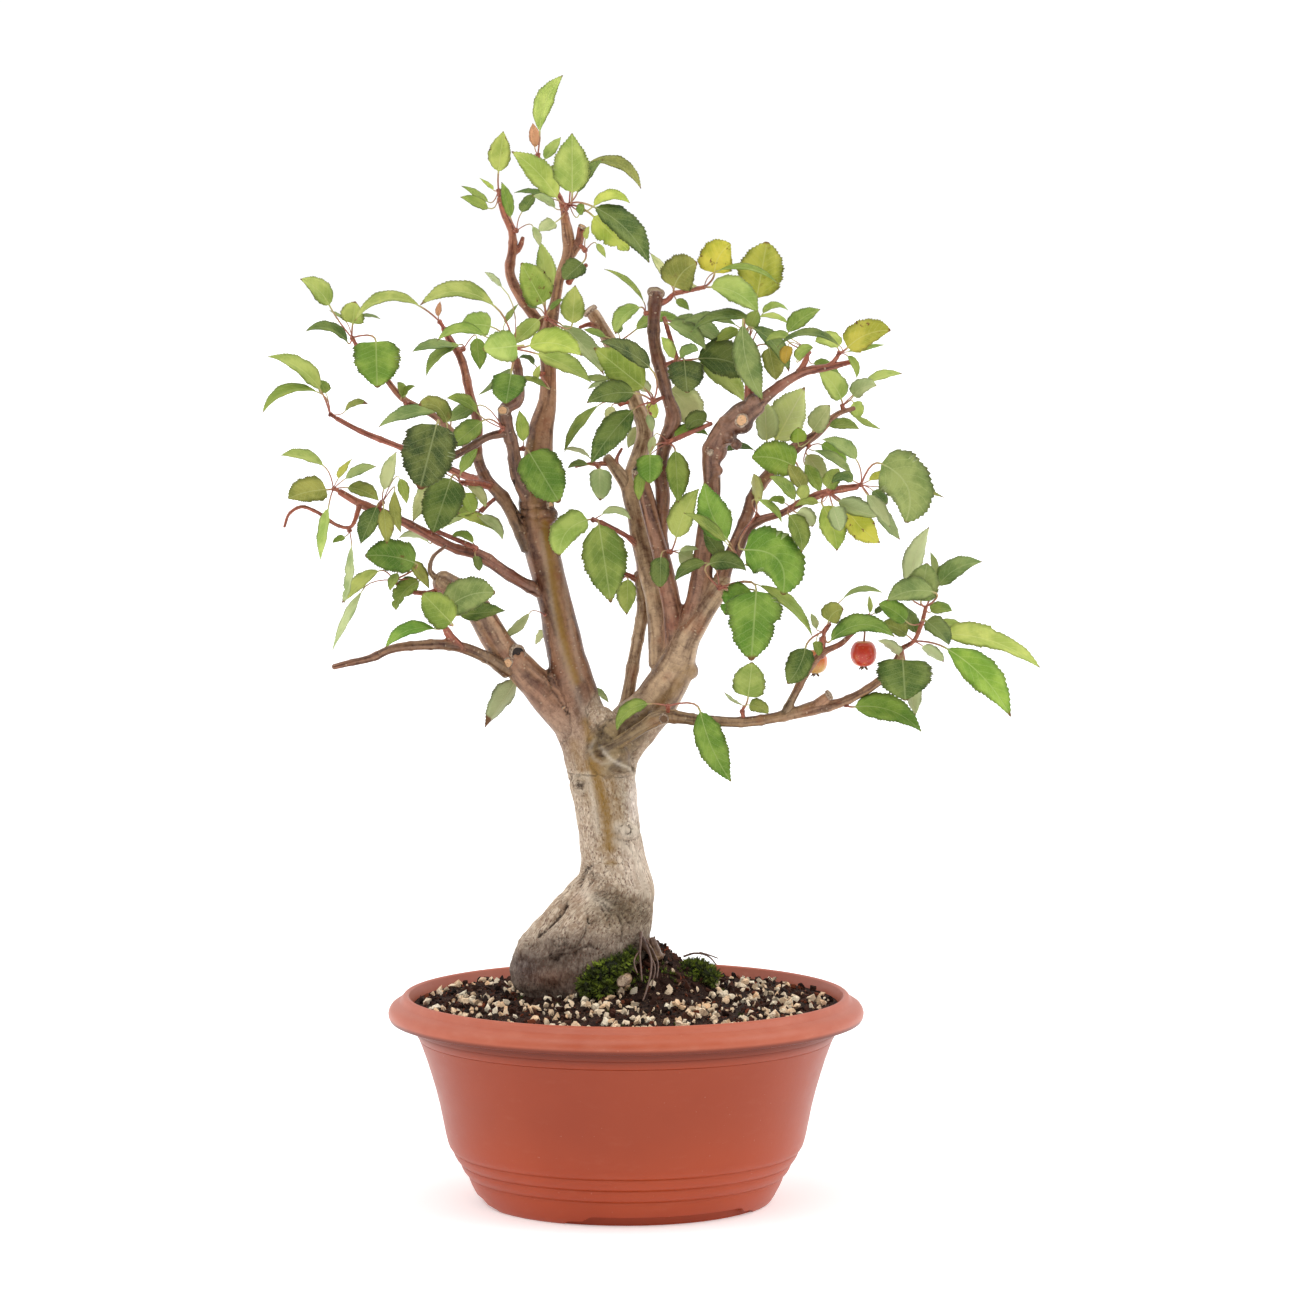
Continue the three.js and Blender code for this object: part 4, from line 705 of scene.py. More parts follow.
# One leaf of a shoot 1 high: how far it strays round the stem, its reach and rise, half its width, where
# it bends as shares of reach and rise, and how deep its foot sits.
TUFT_STRAY = 0.3
TUFT_REACH = (0.4, 0.75)
TUFT_RISE = (0.6, 1.5)
TUFT_HALF_WIDTH = 0.16
TUFT_BEND = (0.45, 0.55)
TUFT_FOOT = -0.2


def tuft_shapes():
    """Moss shoots of narrow leaves round a short stem, about 1 high."""
    chance = random.Random(TUFT_SEED)
    held = bpy.data.collections.new("tufts")
    for number in range(TUFT_SHAPES):
        vertices, faces = [], []
        for k in range(TUFT_LEAVES):
            angle = 2 * math.pi * k / TUFT_LEAVES + chance.uniform(-TUFT_STRAY, TUFT_STRAY)
            reach, rise = chance.uniform(*TUFT_REACH), chance.uniform(*TUFT_RISE)
            out = Vector((math.cos(angle), math.sin(angle), 0))
            aside = Vector((-out.y, out.x, 0)) * TUFT_HALF_WIDTH
            halfway = out * reach * TUFT_BEND[0]
            bend, top = Vector((0, 0, rise * TUFT_BEND[1])), Vector((0, 0, rise))
            first = len(vertices)
            vertices += [Vector((0, 0, TUFT_FOOT)), halfway + aside + bend, halfway - aside + bend,
                         out * reach + top]
            faces += [(first, first + 2, first + 3, first + 1)]
        put_away(mesh_object(f"tuft_{number}", vertices, faces), held)
    return held


def lump(shell, moved, radius=1):
    """Adds a ball to a shell of (vertices, faces); moved says where each of its points goes."""
    vertices, faces = shell
    first = len(vertices)
    work = bmesh.new()
    bmesh.ops.create_icosphere(work, subdivisions=3, radius=radius)
    vertices.extend(moved(vertex.co) for vertex in work.verts)
    faces.extend(tuple(first + vertex.index for vertex in face.verts) for face in work.faces)
    work.free()


moss = Finish("moss")
around = moss.place()
patch = moss.noise(around, 180, 4)
shade = moss.attribute("shade")
green = moss.blend(shade, (50, 64, 14), (160, 180, 62))
green = moss.blend(patch.clamp(0.42, 0.56) * 0.7, green, (56, 62, 22))
moss.own(Base_Color=green, Roughness=0.75 + patch * 0.2)
mossy = Finish("moss bed")
around = mossy.place()
patch = mossy.noise(around, 300, 4)
mossy.own(Base_Color=mossy.blend(patch.clamp(0.35, 0.7), (20, 20, 8), (48, 58, 16)),
          Roughness=0.9, Normal=mossy.bump(patch, 0.0012))
tufts, points, seeded, shapes, size = scattered_over("moss tufts", [])
laid = tufts.laid(seeded, shapes, {"Scale": size, "Rotation": points.out("Rotation")})
tufts.finish(laid, tufts.given.out("Finish"))
held = tuft_shapes()
for name, lumps in CUSHIONS.items():
    shell = ([], [])
    for u, v, depth, half_width, half_height, half_depth in lumps:
        def uneven(spot):
            dent = noise.noise(spot * CLOD_FINENESS + Vector((u, v, 0)))
            spot = spot * (CLOD_SIZE + CLOD_RELIEF * dent)
            return place(u, v, depth) + Vector(
                (spot.x * half_width, spot.y * half_depth, spot.z * half_height)) * UNIT

        lump(shell, uneven)
    cushion = mesh_object(name + "_bed", *shell, mossy.material)
    tell(cushion, "moss", [1.0] * len(shell[0]))
    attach(cushion, "root")
    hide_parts(name)
    strewn(name + "_shoots", cushion, tufts, "moss", held, TUFTS_PER_M2, (0.0012, 0.0034), 4, moss, "moss")
strewn("moss_flecks", sown, tufts, "moss", held, TUFTS_PER_M2 * 1.2, (0.001, 0.0022), 8, moss, "moss")
let_go(held)
bpy.data.objects.remove(sown)


# ---------- trunk and limbs ----------
# The tree's wood: a squat trunk with a swollen foot, two thick limbs that fork into upright stems, and
# thinner branches that were cut back and grew on; grey and flecked on old wood, red-brown on young.

# The trunk: (v, left edge, right edge, half depth, depth of its axis).
TRUNK = (
    (716, 548, 652, 24, 0), (732, 556, 650, 27, 0), (750, 563, 641, 31, 0), (769, 567, 636, 32, 0),
    (803, 574, 638, 31, 0), (838, 579, 642, 31, 0), (866, 580, 649, 34, 0), (890, 569, 655, 38, -2),
    (909, 546, 653, 43, -4), (932, 523, 650, 48, -6), (956, 512, 648, 50, -6), (980, 512, 644, 50, -4),
    (1010, 530, 636, 44, 0),
)
# Limbs, twigs and stubs: (bark at foot and tip, stations of (u, v, depth, radius)).
LIMBS = (
    # left main stem, with its ring scar, up to the two prongs of the crown
    ("mc", ((596, 766, 0, 22), (581, 715, 0, 25), (567, 655, 1, 19.5), (555, 600, 3, 16.5),
           (545, 558, 5, 17.5), (537, 510, 8, 18.5), (538, 470, 9, 16), (541, 430, 10, 13),
           (548, 398, 10, 9), (549, 365, 10, 8), (549, 330, 10, 9), (556, 302, 12, 5.5), (561, 275, 14, 5),
           (570, 252, 15, 7), (568, 232, 15, 6), (565, 216, 15, 4.5))),
    ("cr", ((572, 254, 15, 5), (580, 240, 12, 4.5), (582, 227, 11, 4))),
    ("rr", ((569, 282, 14, 3), (576, 272, 10, 3), (587, 264, 6, 2))),
    # left limb with its rough dead end
    ("bg", ((584, 730, 0, 22), (545, 690, -6, 18), (518, 662, -14, 15), (498, 640, -22, 14),
           (478, 606, -34, 13.5), (458, 588, -44, 13), (441, 577, -52, 11))),
    # low twig on the left, and its spur
    ("ob", ((508, 668, -20, 8), (488, 655, -40, 6), (456, 643, -60, 5.5), (425, 642, -76, 5),
           (392, 646, -90, 4.5), (372, 655, -96, 4), (350, 660, -103, 3.5), (334, 664, -109, 3))),
    ("rr", ((462, 645, -58, 4.5), (450, 632, -66, 4), (446, 625, -70, 3.5))),
    # twigs of the left limb's end
    ("rr", ((446, 586, -48, 4), (428, 590, -54, 2.5), (411, 588, -58, 2.5), (398, 581, -60, 2))),
    ("gk", ((440, 578, -50, 4), (431, 568, -54, 2.5), (434, 554, -58, 2), (447, 543, -60, 1.5))),
    # rusty branch to the far left, and its thin hanging twig
    ("kr", ((545, 592, 0, 7), (525, 581, -10, 6), (508, 571, -18, 6), (480, 552, -28, 6),
           (455, 545, -36, 5), (422, 528, -46, 4.8), (392, 513, -54, 4.5), (360, 500, -60, 4),
           (341, 489, -62, 3.5))),
    ("rr", ((362, 500, -60, 3), (352, 524, -66, 1.8), (340, 523, -68, 1.8), (318, 509, -72, 1.8),
           (303, 504, -74, 1.8), (291, 511, -76, 1.6), (286, 524, -77, 1.4))),
    # olive branch up the left side
    ("or", ((530, 545, 2, 9), (517, 518, 0, 7.5), (505, 497, 4, 6.5), (486, 474, 14, 6),
           (478, 450, 24, 5.5), (479, 424, 32, 5), (471, 392, 42, 4.8), (463, 358, 52, 4.2),
           (450, 336, 58, 3.6), (445, 326, 60, 3))),
    ("rr", ((492, 484, 8, 4), (478, 481, -6, 3.5), (467, 480, -16, 3))),
    # knobby branch inside the left half, with its cut and its side shoot
    ("kk", ((532, 498, 4, 9), (518, 474, -10, 7), (514, 446, -22, 6.5), (508, 424, -30, 6.5),
           (506, 407, -34, 7), (519, 398, -38, 5.5), (520, 376, -42, 5), (517, 358, -45, 4.5))),
    ("rr", ((517, 362, -45, 4), (513, 348, -48, 3), (504, 338, -50, 2.2))),
    ("kk", ((512, 430, -28, 4.5), (490, 434, -38, 4), (474, 443, -46, 4), (458, 452, -54, 3.5),
           (446, 458, -58, 3.5))),
    # branch to the upper left
    ("cr", ((550, 334, 10, 7), (536, 316, 14, 6), (522, 296, 20, 5.5), (511, 272, 27, 5),
           (514, 248, 33, 4.6), (513, 230, 36, 4), (506, 214, 40, 4), (501, 198, 42, 3.2))),
    ("rr", ((513, 254, 32, 3.5), (521, 246, 34, 3), (524, 237, 35, 2))),
    # two branches at the back left
    ("rr", ((492, 482, 8, 5), (468, 474, 30, 4), (440, 462, 42, 3.6), (400, 444, 50, 3.2),
           (365, 430, 56, 3), (338, 416, 61, 2.6))),
    ("or", ((480, 456, 20, 5), (462, 438, 50, 4), (436, 414, 66, 3.6), (404, 396, 78, 3.4),
           (384, 372, 86, 3.2), (358, 343, 92, 2.8))),
    # short twig inside the crown
    ("rr", ((567, 220, 15, 4), (560, 196, 24, 2.5), (545, 174, 28, 2.4), (540, 162, 28, 2.4))),
    # right limb
    ("gg", ((608, 762, 0, 24), (632, 724, 0, 25), (656, 698, 0, 22), (674, 666, -4, 19),
           (688, 632, -12, 14), (706, 604, -20, 11.5), (722, 582, -26, 10))),
    # grey stem at the back, its left fork with a cut end, and the twigs there
    ("gg", ((663, 662, 4, 14), (657, 600, 12, 12), (645, 552, 20, 11), (637, 514, 26, 10),
           (631, 484, 32, 10), (640, 452, 40, 9), (645, 428, 46, 9), (636, 402, 52, 8.5),
           (622, 366, 60, 8), (608, 336, 66, 7.5), (593, 312, 72, 7))),
    ("gg", ((632, 490, 31, 8), (619, 470, 30, 6.5), (607, 455, 28, 5))),
    ("rr", ((607, 461, 28, 3), (598, 461, 22, 2), (590, 461, 16, 1.6), (576, 464, 12, 1.4))),
    ("rr", ((618, 468, 30, 3), (617, 456, 26, 1.8), (622, 446, 24, 1.4))),
    ("rr", ((604, 328, 66, 4), (590, 323, 64, 2.4), (580, 326, 62, 1.6))),
    ("rr", ((640, 544, 20, 5), (628, 534, 10, 2.6), (612, 525, -4, 2.6), (600, 519, -12, 2.6))),
    # brown stem in front: a stub with a cut end, and the long shoot beside it
    ("bb", ((676, 650, -6, 12), (672, 605, -10, 10), (663, 560, -14, 9), (655, 530, -16, 8),
           (647, 498, -18, 8), (639, 470, -20, 7.5))),
    ("bk", ((666, 572, -12, 7), (662, 530, -10, 6), (663, 494, -10, 7.5), (661, 462, -12, 6.5),
           (665, 440, -14, 7), (673, 414, -16, 8), (667, 394, -18, 6), (661, 368, -20, 7),
           (655, 344, -20, 6.2), (654, 316, -20, 6.2), (656, 293, -20, 7.6))),
    ("rr", ((658, 302, -20, 4), (667, 299, -21, 2.6), (672, 294, -22, 2.4))),
    ("rr", ((661, 366, -20, 4), (668, 362, -24, 2.4), (673, 360, -27, 2.2))),
    # gnarled stem of the right half, with the wound at its bend and its long side shoot
    ("bk", ((684, 640, -10, 12), (700, 582, -20, 11), (705, 530, -26, 9), (712, 486, -32, 9),
           (712, 452, -36, 10), (722, 432, -40, 12), (740, 414, -44, 13), (758, 402, -48, 9))),
    ("kr", ((752, 406, -47, 7), (776, 386, -50, 5), (803, 370, -54, 4.6), (828, 365, -58, 3.6),
           (854, 359, -60, 2.6))),
    ("rr", ((820, 367, -57, 3), (830, 362, -59, 2.4), (836, 355, -61, 2.2))),
    ("rr", ((796, 374, -53, 4), (803, 362, -53, 3), (806, 355, -53, 2.6))),
    ("rr", ((750, 408, -46, 7), (749, 386, -38, 5), (749, 366, -33, 3.5), (746, 356, -30, 3))),
    # striped stem running up to the right
    ("bb", ((716, 592, -24, 9), (730, 553, -22, 6.5), (744, 520, -16, 6.5), (756, 488, -8, 6.5),
           (773, 467, 0, 6), (794, 446, 8, 5.5), (816, 431, 16, 4.5), (836, 412, 24, 3),
           (853, 406, 28, 2.4))),
    # red-brown shoot to the right
    ("kr", ((734, 556, -22, 5), (747, 528, -30, 4.5), (758, 518, -36, 4.4), (780, 511, -46, 3.6),
           (806, 497, -60, 4), (832, 488, -74, 4), (856, 484, -86, 3.2))),
    # low branch to the right: it springs from the trunk's front, with a cut stub and two shoots
    ("lc", ((590, 752, -14, 8), (616, 741, -28, 6.6), (643, 724, -34, 6), (662, 714, -37, 7.2),
           (700, 717, -40, 5.5), (744, 719, -44, 5.2), (784, 713, -48, 5.5), (814, 705, -51, 7.5),
           (842, 699, -53, 4.6), (880, 677, -55, 4.5), (896, 658, -55, 4.2), (900, 650, -55, 4))),
    ("cc", ((812, 706, -51, 6), (820, 699, -54, 5.5), (827, 694, -57, 5))),
    ("lr", ((784, 713, -48, 5), (792, 696, -52, 4.2), (806, 670, -58, 4), (822, 650, -63, 3.6),
           (840, 641, -60, 3), (852, 630, -56, 2.6), (866, 617, -54, 2))),
    ("rr", ((820, 654, -62, 4), (822, 640, -62, 3.4), (823, 634, -62, 3))),
    # cut stem stub behind the crotch, with its twigs
    ("gg", ((624, 716, 12, 8), (630, 680, 16, 6.6), (637, 640, 20, 6), (643, 604, 24, 6.5),
           (641, 573, 27, 7))),
    ("rr", ((642, 580, 26, 4), (630, 573, 24, 2.6), (624, 570, 23, 2))),
    ("rr", ((640, 576, 27, 3), (638, 562, 27, 1.8), (637, 550, 27, 1.6))),
)
# Swellings on the old wood: (u, v, depth, radius).
BURLS = (
    (627, 829, -24, 10), (580, 783, -22, 10), (603, 754, -24, 11), (640, 910, -20, 14), (560, 944, -42, 17),
    (636, 890, -6, 18), (534, 950, -24, 17), (616, 752, -20, 15), (517, 652, -24, 9), (507, 660, -24, 7),
    (532, 944, -10, 13), (600, 716, -16, 14), (643, 706, -16, 12), (549, 512, -8, 10), (741, 420, -48, 12),
    (714, 448, -36, 13), (724, 420, -50, 7), (752, 398, -54, 7),
    (736, 442, -46, 6), (717, 468, -42, 6), (706, 500, -34, 6), (728, 436, -52, 6), (483, 604, -34, 9),
    (674, 668, -10, 15), (690, 668, -6, 9),
)
# Folds of the swollen foot: stations of (u, v, depth, radius).
FOLDS = (
    ((598, 864, -6, 8), (577, 890, -16, 11), (557, 911, -22, 11), (536, 936, -22, 9), (526, 960, -16, 8)),
    ((594, 892, -36, 7), (590, 908, -42, 9), (585, 926, -48, 9), (573, 944, -51, 8), (554, 953, -48, 7),
     (536, 952, -38, 6)),
    ((600, 742, -24, 6), (604, 756, -27, 6), (618, 764, -27, 6), (634, 768, -22, 5)),
)
# Tints of bark, under the letters that the limbs name.
BARKS = {
    "t": (194, 174, 151), "b": (132, 82, 50), "c": (158, 112, 76), "g": (168, 141, 108), "o": (104, 78, 42),
    "r": (158, 74, 46), "k": (110, 68, 44), "l": (116, 100, 58), "m": (116, 70, 36), "n": (88, 52, 36),
}
# Bark turns old from one radius to the other, and below the crotch on all but thin wood; it is rough at
# the foot, and tints and marks lie on it from a third radius. All of these are in metres.
OLD_RADIUS = (0.0128, 0.0165)
FOOT_TOP = 0.2
FOOT_SPAN = 0.05
CROTCH_TOP = 0.302
CROTCH_SPAN = 0.042
CROTCH_RADIUS = 0.0075
CROTCH_RADIUS_SPAN = 0.003
WASHED_RADIUS = 0.0088
# The thickest radius of a twig and the least of a stem, in units, with each kind's sides, the space
# between its knuckles in millimetres, and the fineness of its skin in metres.
THIN_LIMB = 4.2
STEM_LIMB = 11.5
TRUNK_SIDES, FOLD_SIDES, STEM_SIDES, BRANCH_SIDES, TWIG_SIDES = 56, 16, 26, 18, 12
TRUNK_ROW_STEP = 3.0
BRANCH_KNUCKLES, TWIG_KNUCKLES, ROOT_KNUCKLES = 17, 5.5, 4.3
LIMB_SPACING, TWIG_SPACING = 0.002, 0.0008
STEM_VOXEL, BRANCH_VOXEL = 0.00115, 0.0008
STEM_SMOOTHING, BRANCH_SMOOTHING = 4, 2
STEM_RELIEF, BRANCH_RELIEF = 0.0007, 0.0003
FOOT_RELIEF = 0.0021
# How many points of the wood's lines a point of bark is weighed against, how far on each limb's bark
# starts from the last limb's, and how often tint and age are blurred.
NEAREST_LINES = 10
LIMB_SHIFT = 0.37
BARK_BLUR = 14


def course(stations, spacing):
    """A smooth line through stations of (u, v, depth, radius), as (place, radius, share of the way)."""
    knots = [place(*station[:3]) for station in stations]
    knots = [knots[0] * 2 - knots[1], *knots, knots[-1] * 2 - knots[-2]]
    found = []
    for i in range(len(stations) - 1):
        a, b, c, d = knots[i:i + 4]
        before, here, after = [max((q - p).length ** 0.5, 1e-4) for p, q in ((a, b), (b, c), (c, d))]
        leave = ((b - a) / before - (c - a) / (before + here) + (c - b) / here) * here
        reach = ((c - b) / here - (d - b) / (here + after) + (d - c) / after) * here
        steps = max(2, round((c - b).length / spacing))
        for k in range(steps + (i == len(stations) - 2)):
            t = k / steps
            spot = b + leave * t + ((c - b) * 3 - leave * 2 - reach) * t ** 2
            spot = spot + ((b - c) * 2 + leave + reach) * t ** 3
            radius = stations[i][3] * (1 - t) + stations[i + 1][3] * t
            found.append((spot, radius * UNIT, (i + t) / (len(stations) - 1)))
    return found


def framed(line):
    """A line with its direction and two directions across it at every point, carried along untwisted."""
    found = []
    across = None
    for k, (spot, radius, share) in enumerate(line):
        ahead = (line[min(k + 1, len(line) - 1)][0] - line[max(k - 1, 0)][0]).normalized()
        if across is None:
            across = ahead.cross(Vector((0, 1, 0.01)))
        across = (across - ahead * across.dot(ahead)).normalized()
        found.append((spot, radius, share, ahead, across, ahead.cross(across)))
    return found


# A twig's knuckles: how much they swell it, how wide each is, and how fast their spacing strays.
KNUCKLE_SWELL, KNUCKLE_WIDTH, KNUCKLE_STRAY = 0.16, 0.09, 30
# How far a tube's ends bulge past its line and how much they narrow, in shares of its radius there.
START_REACH, START_WIDTH = 0.4, 0.6
END_REACH, END_WIDTH = 0.45, 0.66
FLARE, FLARE_SPREAD, FLARE_FINENESS = 0.09, 0.02, 70


def tube(shell, frames, sides, knuckles):
    """Adds a closed tube to a shell of (vertices, faces); knuckles swell it at the nodes of a twig."""
    vertices, faces = shell
    first = len(vertices)
    gone = 0.0
    rings = []
    for k, (spot, radius, _, ahead, across, up) in enumerate(frames):
        if k:
            gone += (spot - frames[k - 1][0]).length
        swell = 1.0
        if knuckles:
            beat = (gone * 1000 / knuckles + noise.noise(spot * KNUCKLE_STRAY)) % 1
            swell += KNUCKLE_SWELL * math.exp(-((beat - 0.5) / KNUCKLE_WIDTH) ** 2)
        rings.append((spot, radius * swell, ahead, across, up))
    start, end = rings[0], rings[-1]
    rings.insert(0, (start[0] - start[2] * start[1] * START_REACH, start[1] * START_WIDTH, *start[2:]))
    rings.append((end[0] + end[2] * end[1] * END_REACH, end[1] * END_WIDTH, *end[2:]))
    for spot, radius, ahead, across, up in rings:
        for i in range(sides):
            angle = 2 * math.pi * i / sides
            beside = spot + across * math.cos(angle) * FLARE_SPREAD
            flare = 1 + FLARE * noise.noise(beside * FLARE_FINENESS)
            vertices.append(spot + (across * math.cos(angle) + up * math.sin(angle)) * radius * flare)
    for row in range(len(rings) - 1):
        for i in range(sides):
            a, b = first + row * sides + i, first + row * sides + (i + 1) % sides
            faces.append((a, b, b + sides, a + sides))
    faces.append(tuple(reversed(range(first, first + sides))))
    faces.append(tuple(range(len(vertices) - sides, len(vertices))))


# Folds in the depth of the trunk: (height, folds in a turn, how they wind over the height).
TRUNK_FOLDS = ((0.035, 3, 0.03), (0.02, 5, -0.05))


def trunk_shell(shell):
    """The trunk as rings drawn from its two edges and its depth."""
    vertices, faces = shell
    first, sides = len(vertices), TRUNK_SIDES
    levels = [row[0] for row in TRUNK]
    rows = []
    for v in np.arange(levels[0], levels[-1] + 1, TRUNK_ROW_STEP):
        i = min(max(int(np.searchsorted(levels, v, "right")) - 1, 0), len(TRUNK) - 2)
        share = (v - levels[i]) / (levels[i + 1] - levels[i])
        near = [TRUNK[min(max(k, 0), len(TRUNK) - 1)] for k in (i - 1, i, i + 1, i + 2)]
        row = [v]
        for part in range(1, len(TRUNK[0])):
            a, b, c, d = [station[part] for station in near]
            row.append(b + (c - a) / 2 * share + (a - 2.5 * b + 2 * c - d / 2) * share ** 2
                       + ((3 * b - a - 3 * c + d) / 2) * share ** 3)
        rows.append(row)
    for v, left, right, half_depth, depth in rows:
        for k in range(sides):
            angle = 2 * math.pi * k / sides
            wave = 1
            for height, folds, wind in TRUNK_FOLDS:
                wave += height * math.sin(folds * angle + v * wind)
            vertices.append(place((left + right) / 2 + math.cos(angle) * (right - left) / 2, v,
                                  depth - math.sin(angle) * half_depth * wave))
    faces.extend(walls(first, len(rows), sides))
    faces.append(tuple(range(first, first + sides)))
    faces.append(tuple(reversed(range(len(vertices) - sides, len(vertices)))))
    return [(place((left + right) / 2, v, depth), (right - left) / 2 * UNIT)
            for v, left, right, _, depth in rows]


def grown_together(name, shell, voxel, smoothing):
    """One skin over overlapping tubes, with the joins between them softened."""
    piece = mesh_object(name, *shell)
    outward(piece)
    remesh = piece.modifiers.new("skin", "REMESH")
    remesh.mode = "VOXEL"
    remesh.voxel_size = voxel
    remesh.use_smooth_shade = True
    smooth = piece.modifiers.new("soften", "SMOOTH")
    smooth.factor = 0.5
    smooth.iterations = smoothing
    settle(piece)
    return piece


axes = []
stem_shell, branch_shell, twig_shell = ([], []), ([], []), ([], [])
trunk_line = trunk_shell(stem_shell)
axes.append([(spot, radius, share, "tt") for (spot, radius), share in
             zip(trunk_line, np.linspace(0, 1, len(trunk_line)))])
for stations in FOLDS:
    tube(stem_shell, framed(course(stations, LIMB_SPACING)), FOLD_SIDES, 0)
for u, v, depth, radius in BURLS:
    lump(stem_shell, lambda spot: place(u, v, depth) + spot, radius * UNIT)
for barks, stations in LIMBS:
    thickest = max(station[3] for station in stations)
    line = course(stations, LIMB_SPACING if thickest > THIN_LIMB else TWIG_SPACING)
    frames = framed(line)
    axes.append([(*station, barks) for station in line])
    if thickest >= STEM_LIMB:
        tube(stem_shell, frames, STEM_SIDES, 0)
    elif thickest > THIN_LIMB:
        tube(branch_shell, frames, BRANCH_SIDES, BRANCH_KNUCKLES)
    else:
        tube(twig_shell, frames, TWIG_SIDES, TWIG_KNUCKLES)

stems = grown_together("stems", stem_shell, STEM_VOXEL, STEM_SMOOTHING)
branches = grown_together("branches", branch_shell, BRANCH_VOXEL, BRANCH_SMOOTHING)
twigs = mesh_object("twigs", *twig_shell)


def survey(axes):
    """The lines that wood grows along as one field of points, with what the bark needs at each."""
    field = {"spot": [], "radius": [], "along": [], "ahead": [], "across": [], "up": [], "tint": []}
    for number, line in enumerate(axes):
        gone = number * LIMB_SHIFT
        frames = framed([(spot, radius, share) for spot, radius, share, _ in line])
        for k, (spot, radius, share, ahead, across, up) in enumerate(frames):
            if k:
                gone += (spot - frames[k - 1][0]).length
            low, high = [np.array(paint(*BARKS[letter])) for letter in line[k][3]]
            for label, value in (("spot", tuple(spot)), ("radius", radius), ("along", gone),
                                 ("ahead", tuple(ahead)), ("across", tuple(across)), ("up", tuple(up)),
                                 ("tint", low * (1 - share) + high * share)):
                field[label].append(value)
    field = {label: np.array(values) for label, values in field.items()}
    field["near"] = kdtree.KDTree(len(field["spot"]))
    for k, spot in enumerate(field["spot"]):
        field["near"].insert(spot, k)
    field["near"].balance()
    return field


# Tints that lie over the old wood: (colour, (u, v), half width, half height, strength). The dark ones darken
# the foot; the brown-grey one above the collar at (624, 750) is painted shade, and the pale streaks down the
# trunk's right side at u 634 and 636 are painted highlight.
WASHES = (
    ((84, 60, 46), (562, 992), 92, 50, 1.0), ((78, 60, 62), (524, 964), 20, 15, 0.75),
    ((150, 104, 80), (552, 977), 22, 8, 0.55), ((84, 66, 50), (638, 946), 30, 20, 0.9),
    ((96, 84, 60), (612, 906), 26, 18, 0.35),
    ((118, 98, 66), (624, 908), 30, 22, 0.9), ((96, 76, 62), (572, 950), 44, 20, 0.8),
    ((216, 200, 184), (636, 862), 15, 30, 0.7), ((200, 176, 158), (582, 894), 10, 6, 0.7),
    ((150, 122, 98), (570, 738), 16, 32, 0.6), ((140, 118, 100), (624, 750), 12, 11, 0.8),
    ((150, 138, 116), (622, 792), 9, 22, 0.5), ((226, 214, 204), (634, 800), 6, 28, 0.9),
)
